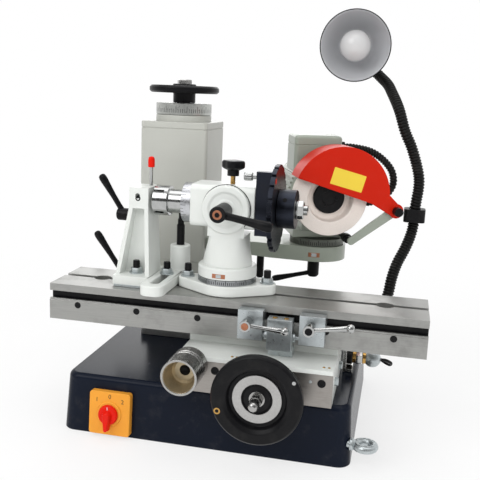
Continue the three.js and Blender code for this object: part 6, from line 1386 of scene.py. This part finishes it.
class GRINDER_OT_column(bpy.types.Operator):
    """Builds the column housing, its dial, elevating handwheel and screw"""

    bl_idname = "grinder.column"
    bl_label = "Column"

    def execute(self, context):
        x, y = COLUMN
        dressed("column_ram", RAM_STEEL, 1.0)
        shell = stepped_block(-190, -64, 28, 152, 6, (
            (184.1, 1), (185.2, 0.1), (248.6, 0.1), (249.1, 1.2), (250.2, 1.2), (250.7, 0.1), (492.6, 0.1),
            (493.1, 1.2), (494.2, 1.2), (494.7, 0.1), (503.8, 0.1), (505.2, 0.7), (505.9, 2),
        ))
        hollow = block(x - 50.3, x + 50.3, y - 60.3, y + 60.3, 180, 492)
        make("Column_shell", shell, COLUMN_GREY, "column", "column_housing", cutter=hollow)
        place = upright(x, y)
        make("Column_cap_ring",
             turned([(0, 505), (51.6, 505), (51.6, 516), (50.4, 517.4), (0, 517.4)], ROUND, 0.8),
             COLUMN_GREY, "column", place=place)
        make("Column_dial_ring", ring(51.7, 15, 0, 20.9, ROUND * 2, 0.8), COLUMN_DIAL, "elevating_wheel",
             "column_dial", place=upright(x, y, 517.95))
        wheel = [
            (9.2, 539.4), (20.8, 539.4), (20.8, 556), (24, 559), (46, 561), (50, 557), (61, 557.1),
            (64.8, 560.5), (64.8, 567), (61, 570.8), (50, 570.8), (46, 566), (24, 566), (21, 573.8),
            (9.2, 573.9), (9.2, 539.4),
        ]
        bays = about(self.bay(), 60, 180, 300)
        make("Elevating_wheel_rim", turned(wheel, ROUND, 1.2), PLASTIC, "elevating_wheel",
             "elevating_handwheel", place=place, cutter=bays)
        screw = together(rod(9, 300.1, 578), hex_nut(24, 574.1, 581.8))
        make("Elevating_screw_turned", screw, TURNED_STEEL, "elevating_wheel", "elevating_screw",
             place=place)
        return {"FINISHED"}

    def bay(self):
        """The opening between two spokes of the elevating handwheel."""
        inner, outer = 27, 44
        outline = [*arc(0, 0, outer, -44, 44, 20), *reversed(arc(0, 0, inner, -36, 36, 16))]
        return prism(outline, 550, 580)


class GRINDER_OT_levers(bpy.types.Operator):
    """Moulds the two column levers and the arm's lever"""

    bl_idname = "grinder.levers"
    bl_label = "Column and arm levers"

    def execute(self, context):
        levers = (
            ("upper", 324, (-281, 60, 397.6), "column_lever_upper"),
            ("lower", 203, (-291, 60, 285.6), "column_lever_lower"),
        )
        for name, z, tip, body in levers:
            place = facing_left(60, z)
            hub = turned([(0, 183.1), (6, 183.1), (6, 190.4), (10, 190.4), (11.9, 194), (11.9, 243.5),
                          (10, 245.9), (0, 245.9)], ROUND, 1)
            make(f"Column_lever_{name}_hub", hub, PLASTIC, body, body, place=place)
            arm = lever_arm((-234, 60, z + 2), tip, 7.6, 6.2, (0, 1, 0))
            make(f"Column_lever_{name}_arm", arm, PLASTIC, body)
            make(f"Column_lever_{name}_screw", socket_head(6.4, 243, 246), BLACKENED, body, place=place)
        place = upright(135, 75)
        hub = turned([(0, 232.1), (8, 232.1), (10.9, 236), (10.9, 264), (8, 267.6), (6, 267.6), (6, 276.6),
                      (0, 276.6)],
                     ROUND, 1)
        make("Arm_lever_hub", hub, PLASTIC, "arm_lever", "arm_lever", place=place)
        make("Arm_lever_arm", lever_arm((133, 74.6, 240), (61, 60.4, 223.6), 7.4, 5.6, (0, 0, 1)), PLASTIC,
             "arm_lever")
        return {"FINISHED"}


class GRINDER_OT_arm(bpy.types.Operator):
    """Casts the overhanging arm with its round end and the grip below it"""

    bl_idname = "grinder.arm"
    bl_label = "Arm"

    def execute(self, context):
        outline = [(-63.6, 40.1), (60, 40.1), *arc(*ARM_END, 53.9, -100, 100, 40), (60, 139.9),
                   (-63.6, 139.9)]
        arm = prism(outline, 268.1, 294.9)
        root = upright_outline([(-63.5, 262), (-63.5, 274), (58, 268.1), (58, 262)], 39, 141)
        make("Arm_casting", arm, ARM_GREY, "column", "arm", edge=2.4, cutter=root)
        for name, look, outer, start, end, low, high in (
            ("Arm_plate", COPPER, 54, 262, 284, 276.5, 284.5),
            ("Arm_plate_middle", ZINC, 54.1, 268, 278, 277.4, 283.6),
        ):
            make(name, curved_plate(*ARM_END, 53.6, outer, start, end, low, high), look, "column")
        grip = turned([(0, 222.1), (5, 222.1), (6.9, 225), (6.9, 262), (5.5, 268), (3, 268.4), (3, 275.4),
                       (0, 275.4)],
                      FINE, 0.8)
        make("Arm_grip_knob", grip, PLASTIC, "column", "arm_grip", place=upright(36, 68))
        return {"FINISHED"}


def on_axle():
    """Turns +Z to the grinding wheel's side of the head, on its axle."""
    return HEAD @ facing_front(0, AXLE)


class GRINDER_OT_motor(bpy.types.Operator):
    """Builds the grinding motor: finned stator, bells, foot, terminal box and glands"""

    bl_idname = "grinder.motor"
    bl_label = "Grinding motor"

    def execute(self, context):
        disc = ring(49.8, 5, 15.2, 27.9, ROUND * 2, 0.5)
        make("Swivel_disc_scale", disc, DISC_DIAL, "wheelhead", "swivel_disc",
             place=HEAD @ upright(0, 0, 280))
        make("Swivel_spigot", rod(20, 280.1, 296), TURNED_STEEL, "wheelhead", place=HEAD)
        axle = on_axle()
        shell = turned([
            (0, -111.8), (50, -111.8), (55, -110), (61.8, -103), (61.8, 29.8), (61.5, 30.2), (59, 34),
            (46, 43.5), (28, 43.5), (26, 44.9), (0, 44.9),
        ], ROUND, 1.5)
        make("Motor_shell", shell, ARM_GREY, "wheelhead", "motor", place=axle)
        fins = []
        count = sizes().fins
        step = 360 / count
        for i in range(count):
            start = 360 * i / count
            fins += arc(0, 0, 60.5, start, start + step * 0.52, 2)
            fins += arc(0, 0, 65.6, start + step * 0.6, start + step * 0.92, 1)
        make("Motor_fins", prism(fins, -79.5, 29.8), ARM_GREY, "wheelhead", "motor", place=axle, edge=0.4)
        foot = together(
            block(-51.9, 41.5, -29.9, 61.9, 308.4, 321.9), block(-36.3, 36.3, -29.8, 61.8, 321, 352),
        )
        make("Motor_foot", foot, ARM_GREY, "wheelhead", "motor", place=HEAD, edge=1.8)
        box = stepped_block(-55, 32, -25, 48, 8, (
            (428, 0.1), (474.4, 0.1), (475, 1), (476, 1), (476.6, 0.1), (486.5, 0.1), (489.4, 1),
            (491.6, 3), (492.9, 6.5),
        ))
        make("Terminal_box", box, ARM_GREY, "wheelhead", "motor", place=HEAD)
        for name, x, y, z in (("top", 32, 0, 472), ("low", 62, -12, 372)):
            start = x - (9 if name == "low" else 0.5)
            end = x + 9 - start
            gland = turned(
                [(0, 0), (9.8, 0), (9.8, 3.5), (8.2, 3.8), (8.2, 5), (9.8, 5.3), (9.8, end), (0, end)],
                FINE, 0.4)
            make(f"Conduit_gland_{name}", gland, PLASTIC, "wheelhead",
                 place=HEAD @ upright(start, 0) @ facing_right(y, z))
        return {"FINISHED"}


def guard_rim(radius, start=2, end=160, steps=48):
    return arc(15.5, 396, radius, start, end, steps)


class GRINDER_OT_wheel(bpy.types.Operator):
    """Dresses the grinding wheel, its flanges, the red guard and the guard's bar"""

    bl_idname = "grinder.wheel"
    bl_label = "Grinding wheel and guard"

    def execute(self, context):
        axle = on_axle()
        stone = turned([
            (16, 60.1), (64.2, 60.1), (64.9, 60.8), (64.9, 84.2), (64.2, 84.9), (42.5, 84.9), (40.5, 83.5),
            (38.4, 69), (36.4, 67.1), (16, 67.1), (16, 60.1),
        ], ROUND, 0.9)
        make("Grinding_stone", stone, GRIT, "grinding_wheel", "grinding_wheel", place=axle)
        flange = turned([
            (0, 20.4), (8.8, 20.4), (8.8, 45.6), (23.5, 45.6), (23.9, 59.4), (15.6, 59.7), (15.6, 67.3),
            (27.8, 67.3), (27.8, 72), (26.8, 72.9), (13, 72.9), (12, 72.2), (0, 72.2),
        ], ROUND, 0.6)
        make("Wheel_flange_turned", flange, PLASTIC, "grinding_wheel", "wheel_flange", place=axle)
        for turn in (115, 242, 355):
            angle = math.radians(turn)
            spot = axle @ upright(14 * math.cos(angle), 14 * math.sin(angle))
            make(f"Wheel_flange_screw_{turn}", socket_head(3.4, 71.8, 73.4), PLASTIC, "grinding_wheel",
                 place=spot)
        lip = (67.6, 383.8)
        ear = arc(113, 371.4, 12.8, -144, 81, 24)
        plate = upright_outline([*guard_rim(83.9), lip, *ear], -103.9, -101.4)
        make("Guard_plate", plate, GUARD, "wheel_guard", "wheel_guard", place=HEAD, edge=0.9)
        band = upright_outline([*guard_rim(83.9), *reversed(guard_rim(81.4))], -102.4, -45.6)
        make("Guard_band", band, GUARD, "wheel_guard", place=HEAD, edge=0.5)
        opening = moved(rod(52.8, 40, 56, ROUND, 0), facing_front(0, AXLE))
        make("Guard_back", upright_outline([*guard_rim(83.8), lip], -48.1, -45.6), GUARD, "wheel_guard",
             place=HEAD, cutter=opening)
        self.sticker()
        bar = upright_outline([
            *arc(113, 371.4, 8.8, -53.5, 126.5, 16), *arc(38, 316, 6.5, 126.5, 306.5, 16),
        ], -97.9, -93.1)
        make("Guard_bar_flat", bar, ARM_GREY, "wheelhead", "guard_bar", place=HEAD, edge=0.6)
        stud = moved(together(
            turned([(0, 97), (4.9, 97), (4.9, 105), (0, 105)], FINE, 0.2),
            turned([(0, 104.4), (7.7, 104.4), (7.7, 118.6), (6.4, 119.9), (0, 119.9)], FINE, 0.6),
        ), facing_front(113, 371.4))
        make("Guard_pivot_knob", stud, PLASTIC, "wheelhead", place=HEAD)
        leg = moved(turned([
            (0, 30.4), (5.4, 30.4), (5.4, 58.6), (8.4, 60), (8.4, 74), (7, 75.4), (5.4, 75.6), (5.4, 93.4),
            (0, 93.4),
        ], FINE, 0.8), facing_front(38, 316))
        make("Guard_bar_leg", leg, PLASTIC, "wheelhead", place=HEAD)
        return {"FINISHED"}

    def sticker(self):
        """A bare yellow sticker on the guard's face."""
        place = HEAD @ Matrix.Translation((23.5, -103.85, 424)) @ Matrix.Rotation(math.radians(15), 4, "Y")
        film = upright_outline(rounded(-29, 29, -14.6, 14.6, 1.2), -0.16, 0)
        make("Guard_sticker", film, STICKER, "wheel_guard", place=place)


SHADE_AXIS = Vector((0.072, -0.995, -0.064)).normalized()


class GRINDER_OT_lamp(bpy.types.Operator):
    """Fits the lamp's bracket and elbow, its hose clip, bell shade and bulb"""

    bl_idname = "grinder.lamp"
    bl_label = "Lamp"

    def execute(self, context):
        bracket = together(
            moved(prism(rounded(-142.6, -97.4, -45, 5, 5), 209.1, 214.9),
                  Matrix.Rotation(math.pi / 2, 4, "Y")),
            block(209.2, 225.8, -44.8, 4.8, 97.4, 103.2),
        )
        make("Lamp_bracket", bracket, STEEL, "base", "lamp_fitting", edge=0.6)
        place = facing_right(-20, 118)
        make("Fitting_nut", hex_nut(25.5, 215, 224.5), PLASTIC, "base", place=place, edge=0.8)
        make("Fitting_ring_one", turned([(0, 224), (10.8, 224), (10.8, 230.4), (0, 230.4)], FINE, 0.8),
             BRASS, "base", place=place)
        make("Fitting_hex", hex_nut(22.2, 230.4, 241.6), CHROME, "base", place=place, edge=0.5)
        make("Fitting_ring_two", turned([(0, 241.6), (10.6, 241.6), (9, 252), (0, 252)], FINE, 0.8), BRASS,
             "base", place=place)
        make("Fitting_elbow", ball(14.8, ROUND), ZINC, "base", place=upright(258, -20, 118))
        axis = Vector((0.05, 0.55, 0.83)).normalized()
        nozzle = turned([(0, 4), (12, 4), (12, 19), (10.4, 21.8), (0, 21.8)], ROUND, 0.8)
        make("Fitting_nozzle", nozzle, PLASTIC, "base", place=along((258, -20, 118), axis))
        hole = moved(rod(10.5, 340, 376, ROUND, 0), upright(310, 90))
        clip = prism(rounded(291.1, 328.9, 74.1, 105.9, 7.5), 346.1, 369.9)
        make("Hose_clip", clip, PLASTIC, "base", "gooseneck_clip", edge=1, cutter=hole)
        shade = along((183, 105, 652), SHADE_AXIS)
        bell = [
            (0, -102.9), (17, -102.9), (22.5, -101), (23.9, -97), (23.9, -76), (29, -73), (35, -69.6),
            (43, -61), (49.6, -50.8), (55, -38.5), (59.2, -23.8), (62, -10), (63.4, -1.2), (63.2, -0.1),
            (62, -0.1), (61, -4), (57.6, -24), (48, -50.2), (33.4, -67.3), (13.4, -71.1), (13.4, -88.8),
            (0, -88.8),
        ]
        make("Lamp_bell", turned(bell, ROUND, 1.2), SHADE, "base", "lamp_shade", place=shade)
        inner = [
            (61.4, -1.2), (60.6, -5), (57.3, -24), (53, -39), (47.6, -50), (41, -59.5), (33.2, -67),
            (22, -70), (13.6, -70.8), (13.6, -70), (22, -68.6), (32, -65.2), (39.4, -57.9), (46, -49.2),
            (51.1, -38.4), (56, -24), (59.6, -5), (60.4, -1.2), (61.4, -1.2),
        ]
        make("Lamp_reflector", turned(inner, ROUND, 0.2), LINING, "base", place=shade)
        fins = together(*[
            turned([(23.5, z), (24.4, z + 0.4), (24.4, z + 1.6), (23.5, z + 2), (23.5, z)], ROUND, 0.2)
            for z in (-96, -91, -86, -81)
        ])
        make("Lamp_socket_ribs", fins, SHADE, "base", place=shade)
        spigot_axis = Vector((0.68, -0.7, 0.2)).normalized()
        spigot = turned([(0, 14), (11.8, 14), (11.8, 33), (10.4, 33.9), (0, 33.9)], ROUND, 0.8)
        make("Lamp_spigot", spigot, SHADE, "base", place=shade @ along((0, 0, -89), spigot_axis))
        start = -90 + math.degrees(math.asin(13 / 28)) + 4
        glass = turned([
            (0, -88.6), (12.9, -88.6), (12.9, -60), *arc(0, -26.25, 27.9, start, 88, 24), (0, 1.65),
        ], ROUND, 0.3)
        make("Lamp_globe", glass, GLASS, "base", "lamp_bulb", place=shade)
        return {"FINISHED"}


class GRINDER_OT_plain_nodes(bpy.types.Operator):
    """Gives the frame's own nodes that stay in view their finishes"""

    bl_idname = "grinder.plain_nodes"
    bl_label = "Rack and pinion"

    def execute(self, context):
        for name in ("table_rack", "traverse_pinion"):
            node = frame["nodes"][name]
            if node.material_slots:
                for slot in node.material_slots:
                    slot.material = surface("ground steel")
            else:
                node.data.materials.append(surface("ground steel"))
        return {"FINISHED"}


class GRINDER_OT_stage(bpy.types.Operator):
    """Lays a plain pale floor under soft studio light, with a white surround"""

    bl_idname = "grinder.stage"
    bl_label = "Floor and light"

    def execute(self, context):
        scene = context.scene
        scene.view_settings.view_transform = "Standard"
        self.floor()
        self.surround(scene)
        middle = Vector((0.03, 0, 0.25))
        level = sizes().lamp_level
        for name, place, size, power in (
            ("Key", (-1.5, -2.2, 2.2), 2.2, 34), ("Fill", (2.4, -2.0, 1.2), 2.4, 17),
            ("Top", (0.1, 0.3, 2.8), 2.4, 21), ("Front", (0.3, -2.7, 2.2), 2.0, 20),
            ("Back", (-0.6, 2.4, 1.4), 2.0, 14),
        ):
            lamp = bpy.data.lights.new(name, "AREA")
            lamp.shape, lamp.size, lamp.energy = "DISK", size, power * level
            holder = linked(name, lamp)
            holder.location = place
            holder.visible_glossy = name in ("Key", "Top", "Back")
            holder.rotation_euler = (middle - Vector(place)).to_track_quat("-Z", "Y").to_euler()
        return {"FINISHED"}

    def seen_directly(self, tree):
        """1 for rays that show the surround: from the camera, mirrored or through glass."""
        path = tree.nodes.new("ShaderNodeLightPath")
        seen = math_node(tree, "MAXIMUM", path.outputs["Is Camera Ray"], path.outputs["Is Glossy Ray"])
        return math_node(tree, "MAXIMUM", seen, path.outputs["Is Transmission Ray"])

    def floor(self):
        steps, reach = 48, 14
        points = [(0, 0, 0), *[(x, y, 0) for x, y in arc(0, 0, reach, 0, 360, steps)[:-1]]]
        mesh = bpy.data.meshes.new("Floor")
        mesh.from_pydata(points, [], [(0, i + 1, (i + 1) % steps + 1) for i in range(steps)])
        obj = linked("Floor", mesh)
        obj.location.z = -0.0006
        material, tree, shader = new_material("pale floor")
        shader.inputs["Roughness"].default_value = 0.7
        shader.inputs["Specular IOR Level"].default_value = 0.2
        tint = span(tree, noise(tree, object_place(tree), 3.0), 0.3, 0.7, 0.86, 0.9)
        joined = tree.nodes.new("ShaderNodeCombineColor")
        for socket in joined.inputs[:3]:
            tree.links.new(tint, socket)
        tree.links.new(joined.outputs[0], shader.inputs["Base Color"])
        glow = tree.nodes.new("ShaderNodeEmission")
        glow.inputs["Strength"].default_value = 1.0
        mixed = tree.nodes.new("ShaderNodeMixShader")
        away = tree.nodes.new("ShaderNodeVectorMath")
        away.operation = "LENGTH"
        tree.links.new(object_place(tree), away.inputs[0])
        white = span(tree, away.outputs["Value"], 0.45, 1.3, 0.7, 1.0)
        tree.links.new(times(tree, self.seen_directly(tree), white), mixed.inputs[0])
        tree.links.new(shader.outputs[0], mixed.inputs[1])
        tree.links.new(glow.outputs[0], mixed.inputs[2])
        tree.links.new(mixed.outputs[0], tree.nodes["Material Output"].inputs["Surface"])
        mesh.materials.append(material)

    def surround(self, scene):
        world = bpy.data.worlds.new("Studio")
        scene.world = world
        world.use_nodes = True
        tree = world.node_tree
        background = tree.nodes["Background"]
        background.inputs["Color"].default_value = (1, 1, 1, 1)
        _, ahead, height = axes(tree, tree.nodes.new("ShaderNodeTexCoord").outputs["Generated"])
        back = span(tree, ahead, -0.75, 0.35, 0.1, 0.9)
        high = span(tree, height, 0.35, 0.9, 0.0, 0.8)
        room = math_node(tree, "MAXIMUM", back, high)
        path = tree.nodes.new("ShaderNodeLightPath")
        shown = math_node(tree, "MAXIMUM", path.outputs["Is Camera Ray"],
                          path.outputs["Is Transmission Ray"])
        mirrored = times(tree, path.outputs["Is Glossy Ray"], room)
        rest = math_node(tree, "SUBTRACT", 1, self.seen_directly(tree))
        light = times(tree, rest, 0.56)
        total = plus(tree, math_node(tree, "MAXIMUM", shown, mirrored), light)
        tree.links.new(total, background.inputs["Strength"])


STEPS = (
    GRINDER_OT_camera, GRINDER_OT_hoses, GRINDER_OT_base, GRINDER_OT_switch, GRINDER_OT_saddle,
    GRINDER_OT_cross_drive, GRINDER_OT_traverse_drive, GRINDER_OT_table, GRINDER_OT_workhead,
    GRINDER_OT_indexing, GRINDER_OT_spindle, GRINDER_OT_tailstock, GRINDER_OT_tooth_rest,
    GRINDER_OT_column, GRINDER_OT_levers, GRINDER_OT_arm, GRINDER_OT_motor, GRINDER_OT_wheel,
    GRINDER_OT_lamp, GRINDER_OT_plain_nodes, GRINDER_OT_stage,
)


class GRINDER_PT_steps(bpy.types.Panel):
    """Lists the sizes, the paints and each building step"""

    bl_label = "Tool grinder"
    bl_space_type = "VIEW_3D"
    bl_region_type = "UI"
    bl_category = "Grinder"

    def draw(self, context):
        for group in (context.scene.grinder_sizes, context.scene.grinder_paints):
            for name in group.__annotations__:
                self.layout.prop(group, name)
        for step in STEPS:
            self.layout.operator(step.bl_idname)


def register():
    for part in (GRINDER_paints, GRINDER_sizes, *STEPS, GRINDER_PT_steps):
        bpy.utils.register_class(part)
    bpy.types.Scene.grinder_paints = bpy.props.PointerProperty(type=GRINDER_paints)
    bpy.types.Scene.grinder_sizes = bpy.props.PointerProperty(type=GRINDER_sizes)


def unregister():
    del bpy.types.Scene.grinder_sizes
    del bpy.types.Scene.grinder_paints
    for part in reversed((GRINDER_paints, GRINDER_sizes, *STEPS, GRINDER_PT_steps)):
        bpy.utils.unregister_class(part)


def main():
    register()
    for step in STEPS:
        group, name = step.bl_idname.split(".")
        getattr(getattr(bpy.ops, group), name)()


if __name__ == "__main__":
    main()
